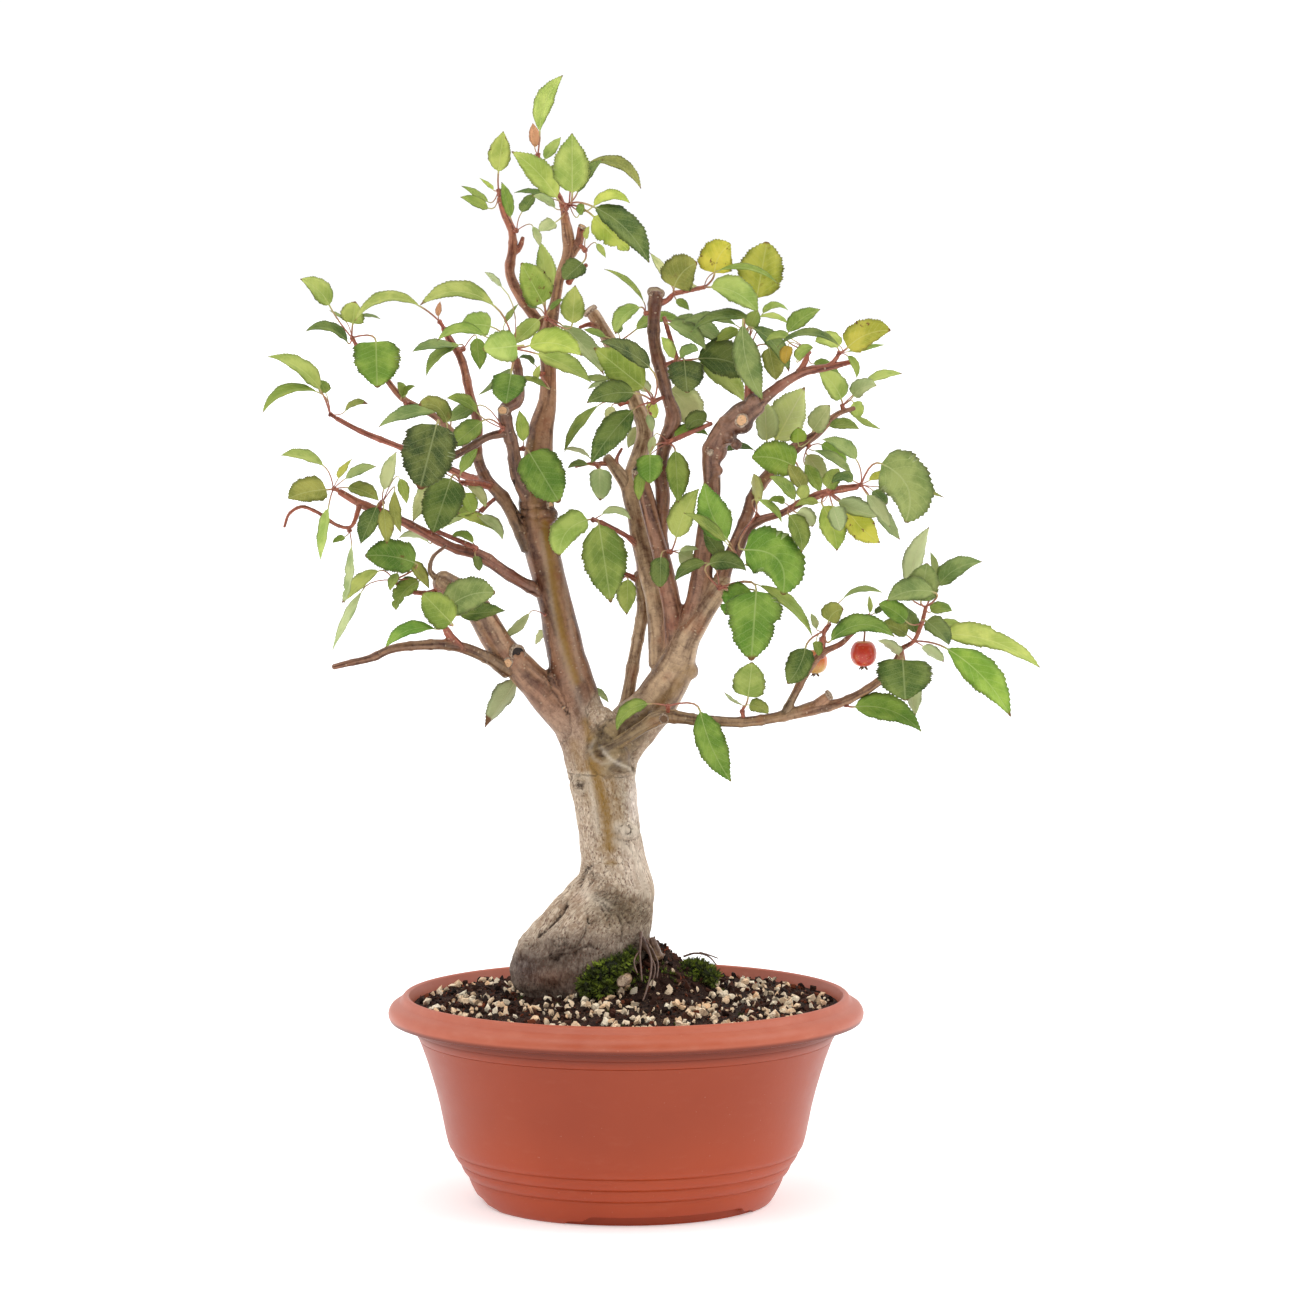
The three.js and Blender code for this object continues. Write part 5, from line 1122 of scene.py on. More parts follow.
# What shows on the front of the old wood: (what, width in units, strength, (u, v) points of its line).
MARKS = (
    ("olive", 4, 0.9, ((586, 718), (587, 726), (589, 736))),
    ("olive", 8.5, 1.2, ((592, 762), (596, 774), (601, 792), (606, 812), (608, 824), (610, 834), (609, 844))),
    ("olive", 6, 0.6, ((610, 776), (616, 800), (619, 816))),
    ("olive", 3.5, 0.9, ((608, 860), (614, 861))),
    ("olive", 6, 0.5, ((574, 742), (582, 768), (590, 800))),
    ("olive", 4.5, 1.1, ((545, 520), (549, 550), (556, 600), (563, 634), (570, 660), (576, 678))),
    ("olive", 5, 0.5, ((531, 440), (533, 480), (538, 520))),
    ("olive", 5, 0.6, ((660, 700), (680, 680), (690, 665))),
    ("pale", 1.7, 0.35, ((594, 738), (590, 746), (594, 756), (602, 761), (610, 760), (608, 750),
                         (600, 744))),
    ("pale", 3.5, 0.65, ((588, 772), (591, 787), (595, 810), (598, 830))),
    ("pale", 2, 0.6, ((572, 790), (580, 792), (587, 786), (586, 776), (578, 772), (572, 776))),
    ("pale", 7, 1.0, ((619, 826), (626, 830), (634, 829))),
    ("pale", 1.6, 0.9, ((604, 749), (612, 757), (621, 762), (630, 766), (634, 774))),
    ("pale", 2.5, 0.25, ((560, 642), (552, 600), (546, 560), (541, 530))),
    ("pale", 2.5, 0.2, ((582, 676), (572, 630), (566, 590), (560, 550))),
    ("pale", 5, 0.6, ((616, 838), (634, 850), (640, 872), (646, 892))),
    ("pale", 4, 0.25, ((560, 640), (572, 680), (586, 712))),
    ("pale", 5, 0.6, ((584, 890), (596, 898), (606, 904))),
    ("pale", 4, 0.4, ((582, 780), (588, 786))),
    ("groove", 1.6, 1.0, ((568, 902), (562, 912), (552, 922), (538, 935))),
    ("groove", 1.2, 0.8, ((588, 866), (584, 872), (580, 884))),
    ("groove", 1.1, 0.5, ((616, 890), (617, 900), (612, 908), (608, 918))),
    ("groove", 1.0, 0.6, ((596, 892), (608, 893), (622, 896), (634, 900))),
    ("groove", 1.0, 0.6, ((600, 894), (606, 906), (612, 914))),
    ("groove", 1.2, 0.6, ((588, 916), (585, 934), (574, 948), (557, 951))),
    ("groove", 1.0, 0.6, ((548, 938), (556, 946), (566, 944), (566, 938), (558, 936), (552, 941))),
    ("groove", 1.0, 0.55, ((637, 906), (643, 912), (651, 911), (652, 905), (645, 902), (638, 905))),
    ("groove", 1.2, 0.6, ((573, 782), (576, 777), (582, 777), (585, 782), (582, 787), (576, 787),
                          (573, 782))),
    ("dark", 4, 1.4, ((577, 782), (581, 783))),
    ("groove", 1.2, 1.0, ((601, 753), (603, 753.5))),
    ("groove", 1.0, 0.8, ((628, 823), (632, 827), (630, 832), (625, 831))),
    ("groove", 1.0, 0.55, ((614, 829), (618, 837), (627, 840), (637, 837), (641, 829), (637, 821))),
    ("groove", 0.9, 0.6, ((620, 832), (618, 826), (624, 822))),
    ("groove", 1.2, 0.8, ((584, 874), (584, 867), (592, 863))),
    ("groove", 1.1, 0.8, ((590, 868), (594, 876), (590, 882))),
    ("groove", 1.2, 0.6, ((594, 897), (602, 902), (609, 908), (615, 913))),
    ("groove", 1.0, 0.5, ((602, 894), (608, 900), (616, 904))),
    ("groove", 1.0, 0.7, ((600, 904), (606, 914), (610, 926))),
    ("groove", 1.0, 0.7, ((618, 914), (622, 924), (621, 936))),
    ("groove", 0.9, 0.7, ((622, 912), (628, 920), (632, 924))),
    ("groove", 1.0, 0.9, ((587, 916), (588, 921), (592, 923), (596, 919))),
    ("groove", 1.1, 0.7, ((574, 954), (581, 947), (590, 944), (597, 948))),
    ("groove", 1.2, 0.8, ((549, 954), (551, 961), (557, 960), (563, 954))),
    ("groove", 1.0, 0.6, ((524, 944), (534, 946), (544, 940))),
    ("dark", 6, 0.8, ((562, 941), (566, 943))),
    ("dark", 5, 0.8, ((550, 956), (556, 959))),
    ("dark", 4, 1.0, ((567, 903), (563, 910), (556, 918))),
    ("groove", 1.1, 0.8, ((548, 656), (549, 672), (553, 688), (562, 700), (568, 712))),
    ("groove", 0.9, 0.6, ((520, 507), (540, 505), (558, 506))),
    ("groove", 0.9, 0.5, ((520, 514), (540, 516), (558, 513))),
    ("groove", 2.2, 1.0, ((515, 648), (520, 651))),
    ("groove", 1.2, 0.8, ((571, 774), (567, 784), (569, 796))),
    ("groove", 1.0, 0.6, ((634, 750), (632, 762), (634, 770))),
    ("groove", 1.2, 0.6, ((596, 722), (602, 730), (600, 744))),
    ("groove", 1.0, 0.6, ((612, 716), (604, 724), (598, 736))),
    ("groove", 1.4, 0.9, ((514, 478), (513, 492), (517, 504), (522, 520))),
    ("dark", 10, 0.8, ((600, 890), (616, 902), (632, 918))),
    ("dark", 8, 0.6, ((644, 900), (648, 930))), ("dark", 8, 0.5, ((575, 905), (556, 930), (530, 950))),
    ("dark", 7, 0.7, ((586, 868), (596, 876), (612, 888))),
    ("dark", 5, 0.7, ((602, 728), (606, 736), (612, 740))),
    ("dark", 4, 0.7, ((634, 744), (632, 760))),
    ("dark", 5, 0.6, ((664, 462), (664, 500))),
    ("dark", 5, 0.5, ((640, 690), (652, 690))),
)
BARK_LIFT = {"groove": -0.0019, "pale": 0.0004, "dark": 0.0, "olive": 0.0}


def line_distance(points, line):
    """Distance of each flat point from a line of flat points."""
    nearest = np.full(len(points), 1e9)
    for a, b in zip(line, line[1:]):
        a, b = np.array(a, float), np.array(b, float)
        share = np.clip(((points - a) @ (b - a)) / ((b - a) @ (b - a)), 0, 1)
        nearest = np.minimum(nearest, np.linalg.norm(points - a - share[:, None] * (b - a), axis=1))
    return nearest


# Which faces count as the front, how soon a wash ends, and how a mark's edge wobbles.
FRONT_FACING, FRONT_SPAN = 0.25, 0.4
WASH_EDGE = 1.5
MARK_WOBBLE, MARK_WOBBLE_U, MARK_WOBBLE_V = 0.5, 0.7, 0.9
DARK_SHARE = 0.55
# Relief of the foot's lumps as (height, fineness), and of the bark all over, long in the limb's way.
FOOT_LUMPS = ((1, 62), (0.5, 140), (0.3, 330))
BARK_STRETCH, BARK_FINENESS, BARK_LUMPS = 0.35, 260, 90
YOUNG_RELIEF, OLD_RELIEF = 0.35, 0.65


def barked(piece, field, relief=0.0, marked=False):
    """Gives a piece of wood its bark: where each point lies on its limb, its tint, its age and marks."""
    mesh = piece.data
    count = len(mesh.vertices)
    here = np.empty(count * 3)
    facing = np.empty(count * 3)
    mesh.vertices.foreach_get("co", here)
    mesh.vertices.foreach_get("normal", facing)
    here, facing = here.reshape(-1, 3), facing.reshape(-1, 3)
    nearest = np.empty(count, int)
    for k in range(count):
        near = field["near"].find_n(here[k], NEAREST_LINES)
        nearest[k] = min(near, key=lambda found: found[2] - field["radius"][found[1]])[1]
    away = here - field["spot"][nearest]
    lengths = [np.sum(away * field[label][nearest], axis=1) for label in ("across", "up", "ahead")]
    space = np.stack([lengths[0], lengths[1], lengths[2] + field["along"][nearest]], 1)
    tint = field["tint"][nearest]
    thick = field["radius"][nearest]
    age = np.clip((thick - OLD_RADIUS[0]) / (OLD_RADIUS[1] - OLD_RADIUS[0]), 0, 1)
    if marked:
        low = np.clip((CROTCH_TOP - here[:, 2]) / CROTCH_SPAN, 0, 1)
        low = low * np.clip((thick - CROTCH_RADIUS) / CROTCH_RADIUS_SPAN, 0, 1)
        age = np.maximum(age, low)
        tint = tint * (1 - low[:, None]) + np.array(paint(*BARKS["t"])) * low[:, None]
    marks = np.zeros((count, 3))
    lift = np.zeros(count)
    if marked:
        spread = 1 + here[:, 1] / UNIT / EYE_DISTANCE
        sheet = np.stack([EYE_U + (here[:, 0] / UNIT - EYE_U + AXIS_U) / spread,
                          HORIZON_V + (GROUND_V - HORIZON_V - here[:, 2] / UNIT) / spread], 1)
        front = np.clip((FRONT_FACING - facing[:, 1]) / FRONT_SPAN, 0, 1)
        old = np.clip((thick - WASHED_RADIUS) / WASHED_RADIUS, 0, 1)
        # The washes, among them painted shade and painted highlight, are laid over the front of the old wood.
        for colour, middle, wide, high, strength in WASHES:
            far = ((sheet - middle) / (wide, high)) ** 2
            share = (np.exp(-far.sum(1) ** WASH_EDGE) * strength * old)[:, None]
            tint = tint * (1 - share) + np.array(paint(*colour)) * share
        for what, width, strength, line in MARKS:
            wobble = np.sin(sheet[:, 1] * MARK_WOBBLE_V) * np.sin(sheet[:, 0] * MARK_WOBBLE_U)
            wobble = 1 + MARK_WOBBLE * wobble
            near = np.exp(-(line_distance(sheet, line) / width) ** 2 * wobble) * strength * front
            lift += near * BARK_LIFT[what]
            column = {"olive": 0, "groove": 1, "dark": 1, "pale": 2}[what]
            marks[:, column] = np.maximum(marks[:, column], near * (DARK_SHARE if what == "dark" else 1))
    if relief:
        for k in range(count):
            foot = min(max((FOOT_TOP - here[k, 2]) / FOOT_SPAN, 0), 1) * age[k]
            lumps = 0
            for height, fineness in FOOT_LUMPS:
                lumps += height * noise.noise(Vector(here[k]) * fineness)
            lift[k] += FOOT_RELIEF * foot * lumps
            flat = Vector((space[k, 0], space[k, 1], space[k, 2] * BARK_STRETCH))
            rough = noise.noise(flat * BARK_FINENESS) * 0.5 + noise.noise(Vector(here[k]) * BARK_LUMPS)
            lift[k] += relief * rough * (YOUNG_RELIEF + OLD_RELIEF * age[k])
    here = here + facing * lift[:, None]
    mesh.vertices.foreach_set("co", here.ravel())
    edges = np.empty(len(mesh.edges) * 2, int)
    mesh.edges.foreach_get("vertices", edges)
    edges = edges.reshape(-1, 2)
    valence = np.bincount(edges.ravel(), minlength=count)[:, None] + 1
    soft = np.hstack([tint, age[:, None]])
    for _ in range(BARK_BLUR):
        total = soft.copy()
        np.add.at(total, edges[:, 0], soft[edges[:, 1]])
        np.add.at(total, edges[:, 1], soft[edges[:, 0]])
        soft = total / valence
    tint, age = soft[:, :3], soft[:, 3]
    mesh.update()
    for label, values in (("bark", space), ("tint", tint), ("marks", marks)):
        tell(piece, label, np.ravel(values), "FLOAT_VECTOR")
    tell(piece, "age", np.ascontiguousarray(age))
    mesh.polygons.foreach_set("use_smooth", [True] * len(mesh.polygons))
    mesh.materials.clear()
    mesh.materials.append(bark.material)
    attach(piece, "root")


bark = Finish("bark")
space = bark.attribute("bark", "Vector")
age = bark.attribute("age")
marks = bark.apart(bark.attribute("marks", "Vector"))
tint = bark.attribute("tint", "Vector")
mottle = bark.noise(space, 300, 5, 0.7)
cloud = bark.noise(space, 60, 4)
streak = bark.noise(bark.stretched(space, (1, 1, 0.22)), 560, 3, 0.6)
wrinkle = bark.noise(bark.stretched(space, (1, 1, 0.34)), 900, 4, 0.65)
lenticel = bark.cells(bark.stretched(space, (0.8, 0.8, 1.2)), 250.0)
lenticel = (1 - lenticel.clamp(0.1, 0.2)) * cloud.clamp(0.3, 0.55)
speck = bark.cells(bark.stretched(space, (1, 1, 0.6)), 620.0)
pit = (1 - speck.clamp(0.14, 0.4)) * mottle.clamp(0.4, 0.52)
crack = bark.cells(bark.stretched(space, (1, 1, 0.3)), 330.0, "DISTANCE_TO_EDGE")
crack = (1 - crack.clamp(0.0, 0.09)) * mottle.clamp(0.42, 0.62)
# Young bark runs in long stripes round and along the limb between a darker and a paler copy of its tint:
# partly the bark's own streaks, partly painted shade on the darker stripes and painted highlight on the paler
# ones. The darker copy also darkens the old bark's wrinkles and clouds.
dark_bark_and_shade = bark.times(tint, (130, 97, 80))
pale_bark_and_highlight = bark.blend(0.15, bark.times(tint, (290, 284, 278)), (226, 206, 186))
heading = bark.vector("NORMALIZE", bark.vector("MULTIPLY", space, (1, 1, 0)))
wrapped = bark.vector("ADD", heading, bark.vector("MULTIPLY", space, (9, 9, 24)))
broad = bark.noise(wrapped, 1.5, 2)
crease = bark.noise(bark.stretched(space, (0.3, 0.3, 1)), 900, 2)
skin = broad.clamp(0.36, 0.62) * 0.6 + streak.clamp(0.35, 0.65) * 0.16 + mottle.clamp(0.38, 0.6) * 0.24
young = bark.blend(skin, dark_bark_and_shade, pale_bark_and_highlight)
young = bark.blend(cloud.clamp(0.5, 0.7) * 0.4, young, bark.times(tint, (255, 190, 160)))
young = bark.blend(crease.clamp(0.6, 0.68) * 0.3, young, (70, 46, 36))
young = bark.blend(lenticel * 0.5, young, (206, 180, 150))
dull = bark.times(tint, (210, 197, 187))
chalk = bark.times(bark.blend(0.12, tint, (228, 220, 206)), (294, 297, 298))
old = bark.blend(mottle.clamp(0.36, 0.62) * 0.7 + cloud.clamp(0.4, 0.6) * 0.3, dull, chalk)
old = bark.blend(wrinkle.clamp(0.52, 0.66) * 0.7, old, dark_bark_and_shade)
old = bark.blend(cloud.clamp(0.45, 0.75) * 0.3, old, dark_bark_and_shade)
old = bark.blend(pit * 0.75, old, (112, 76, 58))
old = bark.blend(crack * 0.5, old, (92, 68, 54))
coat = bark.blend(age, young, old)
coat = bark.blend(marks.out("X") * (0.4 + wrinkle * 0.7), coat, (138, 102, 34))
coat = bark.blend(marks.out("Z") * 0.75, coat, (216, 202, 182))
shred = bark.noise(bark.stretched(space, (1, 1, 0.42)), 620, 5, 0.7)
fissure = marks.out("Y") * (0.1 + shred.clamp(0.47, 0.56) * 0.95) + marks.out("Y").clamp(0.55, 0.95) * 0.5
coat = bark.blend(fissure.clamp(0.1, 0.9) * 0.9, coat, (62, 46, 34))
height = mottle * (0.25 + age * 0.35) + wrinkle * (0.1 + age * 0.5) + lenticel * 0.4
height = height - (crack * 0.6 + pit * 0.4) * age - crease.clamp(0.6, 0.68) * 0.2 - fissure
bark.own(Base_Color=coat, Roughness=0.27 + age * 0.42 + mottle * 0.1, Specular_IOR_Level=0.38,
         Normal=bark.bump(height, 0.0006))

lie = survey(axes)
barked(stems, lie, STEM_RELIEF, True)
barked(branches, lie, BRANCH_RELIEF, True)
barked(twigs, lie)
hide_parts("tree")


# ---------- surface roots ----------
# Thin red-brown roots that hang from the right of the trunk's foot down the mound, a grey stump of an
# old root and one that was sawn off; skinned as the twigs are.

# Roots, in the form of the limbs.
ROOTS = (
    ("nn", ((638, 938, -26, 6), (650, 948, -24, 5), (662, 957, -20, 4), (668, 968, -18, 3))),
    ("nn", ((641, 931, -34, 1.7), (641, 940, -41, 1.2), (640, 952, -48, 1.0), (641, 968, -56, 0.9),
            (642, 980, -64, 0.8))),
    ("nn", ((643, 936, -36, 1.5), (647, 945, -44, 1.2), (651, 957, -53, 1.1), (651, 971, -61, 1.0),
            (647, 988, -71, 0.9), (643, 1000, -80, 0.8))),
    ("nn", ((646, 938, -34, 1.2), (653, 950, -43, 1.0), (658, 963, -50, 0.9), (657, 977, -59, 0.7))),
    ("nn", ((644, 938, -36, 1.0), (648, 950, -46, 0.9), (655, 966, -55, 0.8), (652, 984, -66, 0.7))),
    ("nn", ((640, 948, -44, 1.1), (634, 960, -53, 0.9), (637, 972, -62, 0.7))),
    ("nn", ((684, 955, -16, 1.1), (694, 952, -18, 1), (704, 953, -20, 0.9), (711, 957, -20, 0.8),
            (716, 963, -20, 0.6))),
    ("nn", ((700, 951, -18, 0.8), (710, 954, -24, 0.7), (718, 957, -26, 0.6))),
    ("gn", ((657, 956, -24, 6), (654, 946, -28, 5), (652, 938, -30, 3.6))),
    ("gt", ((627, 977, -54, 5.4), (625, 979, -62, 5.4), (623, 980, -67, 5.2))),
)
root_shell = ([], [])
root_axes = []
for barks, stations in ROOTS:
    line = course(stations, TWIG_SPACING)
    tube(root_shell, framed(line), TWIG_SIDES, ROOT_KNUCKLES)
    root_axes.append([(*station, barks) for station in line])
roots = mesh_object("roots", *root_shell)
barked(roots, survey(root_axes))


# ---------- cut ends ----------
# Where stems and twigs were sawn or snapped off: bare wood with its rings inside a rim of callus, pale
# on the old cuts, orange on the fresh ones and black in the rotten knot.

# Each cut: kind, (u, v), depth or None on the skin, radius, which way it faces or None with the skin.
CUTS = (
    ("pale", (656, 291), -20, 7.4, (0.15, -0.55, 0.82)), ("dark", (639, 467), -20, 7, (-0.2, -0.3, 0.9)),
    ("pale", (590, 309), 73, 6.8, (-0.6, -0.25, 0.75)), ("pale", (641, 571), 27, 6.6, (-0.1, -0.45, 0.88)),
    ("pale", (829, 692), -58, 4.8, (0.75, -0.3, 0.6)), ("orange", (741, 418), None, 6.2, None),
    ("orange", (508, 660), None, 5.2, None), ("orange", (551, 503), None, 4.6, (0.8, -0.6, 0.1)),
    ("orange", (504, 408), None, 5, None), ("dark", (518, 650), None, 8, None),
    ("orange", (564, 705), None, 2, None), ("pale", (622, 980.5), -69, 5.2, (-0.35, -0.9, 0.2)),
    ("brown", (664, 716), None, 4.6, None), ("pale", (710, 450), None, 3.2, None),
    ("orange", (583, 226), 10, 3.8, (0.35, -0.3, 0.9)),
)
# Half section of a cut end of radius 1, from its middle out, and a code for each kind of wood.
CUT_SECTION = ((0, 0.16), (0.4, 0.15), (0.7, 0.1), (0.78, 0.12), (0.86, 0.26), (0.98, 0.24), (1.1, 0.02),
               (1.12, -0.3), (0.8, -0.5), (0, -0.5))
CUT_TURNS = 26
CUT_KINDS = {"pale": 0.0, "orange": 0.35, "brown": 0.65, "dark": 1.0}
cut_vertices, cut_faces, cut_facts = [], [], []
bpy.context.view_layer.update()
for kind, (u, v), depth, radius, facing in CUTS:
    spot = place(u, v, depth or 0)
    if depth is None:
        eye, beyond = place(u, v, -300), place(u, v, 300)
        hits = [piece.ray_cast(eye, beyond - eye) for piece in (stems, branches)]
        hit = min((hit for hit in hits if hit[0]), key=lambda hit: (hit[1] - eye).length)
        spot = hit[1]
        facing = facing or hit[2]
    facing = Vector(facing).normalized()
    turn = facing.to_track_quat("Z", "Y")
    first = len(cut_vertices)
    for reach, rise in CUT_SECTION:
        for k in range(CUT_TURNS):
            angle = 2 * math.pi * k / CUT_TURNS
            uneven = 1 + 0.07 * math.sin(2 * angle + u) + 0.04 * math.sin(5 * angle + v)
            there = Vector((reach * math.cos(angle), reach * math.sin(angle), rise))
            cut_vertices.append(spot + turn @ (there * (radius * uneven * UNIT)))
            cut_facts += (reach, CUT_KINDS[kind], 0.0)
    cut_faces += walls(first, len(CUT_SECTION), CUT_TURNS)
sawn = Finish("sawn wood")
facts = sawn.apart(sawn.attribute("cut", "Vector"))
reach, kind = facts.out("X"), facts.out("Y")
around = sawn.place()
grain = sawn.noise(around, 900, 3)
ring = (reach * 34 + grain * 5).maths("SINE").clamp(-0.4, 1)
wood = sawn.blend(kind.clamp(0.1, 0.3), (206, 184, 158), (246, 196, 148))
wood = sawn.blend(kind.clamp(0.4, 0.6), wood, (122, 92, 66))
wood = sawn.blend(ring * 0.3, wood, (140, 100, 66))
wood = sawn.blend(grain.clamp(0.5, 0.7) * 0.35, wood, (120, 96, 80))
wood = sawn.blend(kind.clamp(0.7, 0.95), wood, (46, 36, 32))
heart = 1 - reach.clamp(0.0, 0.16)
wood = sawn.blend(heart * 0.5, wood, (110, 66, 40))
callus = sawn.blend(grain.clamp(0.35, 0.65), (120, 92, 74), (190, 168, 146))
wood = sawn.blend(reach.clamp(0.76, 0.84), wood, callus)
sawn.own(Base_Color=wood, Roughness=0.7 + grain * 0.2, Normal=sawn.bump(ring * 0.4 + grain, 0.0004))
cuts = mesh_object("cut_ends", cut_vertices, cut_faces, sawn.material)
tell(cuts, "cut", cut_facts, "FLOAT_VECTOR")
outward(cuts)
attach(cuts, "root")


# ---------- crabapples ----------
# Two ripe crabapples hanging from the low branch on thin stalks, a red one and a golden one: a firm
# glossy skin with pale dots, a dimple at the stalk and a dry brown calyx below.

# Each apple: name, (u, v, depth) of its middle, radius in units, and where its stalk hangs from.
APPLES = (("red", (863, 650, -56), 13, (864, 621, -55)), ("gold", (815, 658, -44), 12, (820, 635, -60)))
# Half section of an apple of radius 1, from the stalk's dimple out and down to the calyx.
APPLE_SECTION = (
    (0, 0.7), (0.08, 0.72), (0.2, 0.82), (0.34, 0.9), (0.5, 0.89), (0.68, 0.77), (0.84, 0.56), (0.95, 0.28),
    (1, -0.02), (0.97, -0.34), (0.87, -0.62), (0.71, -0.83), (0.53, -0.95), (0.36, -1.01), (0.22, -1),
    (0.12, -0.94), (0, -0.92),
)
APPLE_TURNS = 40
STALK_STEPS = 12
FRUIT_STALK_SIDES = 8
SEPALS = 5
SEPAL_STEPS = 6
SEPAL_SIDES = 7


def bowed(start, middle, end, t):
    """A point on the way from start to end, which is pulled aside towards middle."""
    return start * (1 - t) ** 2 + middle * (2 * t * (1 - t)) + end * t ** 2


def bent_stalk(start, middle, end, thin, thicker, power):
    """A bowed line for a tube that thickens towards its end, with its radii in units."""
    steps = [step / STALK_STEPS for step in range(STALK_STEPS + 1)]
    return [(bowed(start, middle, end, t), (thin + thicker * t ** power) * UNIT, t) for t in steps]


skin = Finish("apple skin")
facts = skin.attribute("skin", "Vector")
ripe = skin.attribute("ripe")
height = skin.apart(facts).out("Z")
flush = skin.noise(skin.stretched(facts, (1, 1, 0.7)), 1.1, 2)
streak = skin.noise(skin.stretched(facts, (1, 1, 0.12)), 9, 3, 0.6)
dots = 1 - skin.cells(facts, 5.5).clamp(0.1, 0.17)
red = (flush + streak * 0.1 - height * 0.16).clamp(0.56, 0.86)
red = skin.blend(red, (190, 52, 28), (228, 130, 62))
gold = skin.blend(height.clamp(-0.9, 0.5), (206, 166, 84), (228, 126, 66))
gold = skin.blend((flush + streak * 0.3).clamp(0.5, 0.8) * 0.6, gold, (214, 96, 56))
colour = skin.blend(ripe, gold, red)
colour = skin.blend(height.clamp(0.72, 0.9) * 0.7, colour, (196, 150, 84))
colour = skin.blend(dots * 0.55, colour, (238, 200, 150))
skin.own(Base_Color=colour, Roughness=0.3 + streak * 0.08, Coat_Weight=0.25, Coat_Roughness=0.12,
         Normal=skin.bump(streak + dots, 0.00008))
dry = Finish("dry calyx")
husk = dry.noise(dry.place(), 1200, 3)
dry.own(Base_Color=dry.blend(husk.clamp(0.3, 0.7), (58, 40, 28), (126, 98, 66)),
        Roughness=0.85 + husk * 0.1)
for name, middle, radius, hung_from in APPLES:
    centre, top, size = place(*middle), place(*hung_from), radius * UNIT
    apple = turned("apple_" + name, [(reach * size, rise * size) for reach, rise in APPLE_SECTION],
                   APPLE_TURNS)
    outward(apple)
    facts = [value / size for vertex in apple.data.vertices for value in vertex.co]
    tell(apple, "skin", facts, "FLOAT_VECTOR")
    tell(apple, "ripe", [float(name == "red")] * len(apple.data.vertices))
    for vertex in apple.data.vertices:
        lobe = 1 + 0.03 * math.sin(5 * math.atan2(vertex.co.y, vertex.co.x))
        vertex.co = Vector((vertex.co.x * lobe, vertex.co.y * lobe, vertex.co.z)) + centre
    apple.data.materials.append(skin.material)
    calyx_shell = ([], [])
    for k in range(SEPALS):
        angle = 2 * math.pi * k / SEPALS + 0.4
        line = []
        for step in range(SEPAL_STEPS + 1):
            t = step / SEPAL_STEPS
            reach = 0.12 + 0.24 * t ** 1.5
            spot = Vector((reach * math.cos(angle), reach * math.sin(angle), -0.92 - 0.34 * t)) * size
            line.append((centre + spot, size * (0.11 - 0.07 * t), t))
        tube(calyx_shell, framed(line), SEPAL_SIDES, 0)
    calyx = mesh_object("calyx_" + name, *calyx_shell, dry.material)
    stem_shell = ([], [])
    dimple = centre + Vector((0, 0, 0.66 * size))
    middle = dimple.lerp(top, 0.5) + Vector((0.0006, 0, 0))
    line = bent_stalk(dimple, middle, top, 1.05, 0.5, 6)
    tube(stem_shell, framed(line), FRUIT_STALK_SIDES, 0)
    fruit_stalk = mesh_object("apple_stalk_" + name, *stem_shell)
    barked(fruit_stalk, survey([[(*station, "ro") for station in line]]))
    for piece in (apple, calyx, fruit_stalk):
        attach(piece, "root")
    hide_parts("fruit_" + name)


# ---------- leaves ----------
# The tree's leaves, in the bunches they grow in: thin toothed blades, folded a little along the midrib,
# on slender stalks that spring from a spur. Each bunch is one piece, laid on its stalks and midribs.

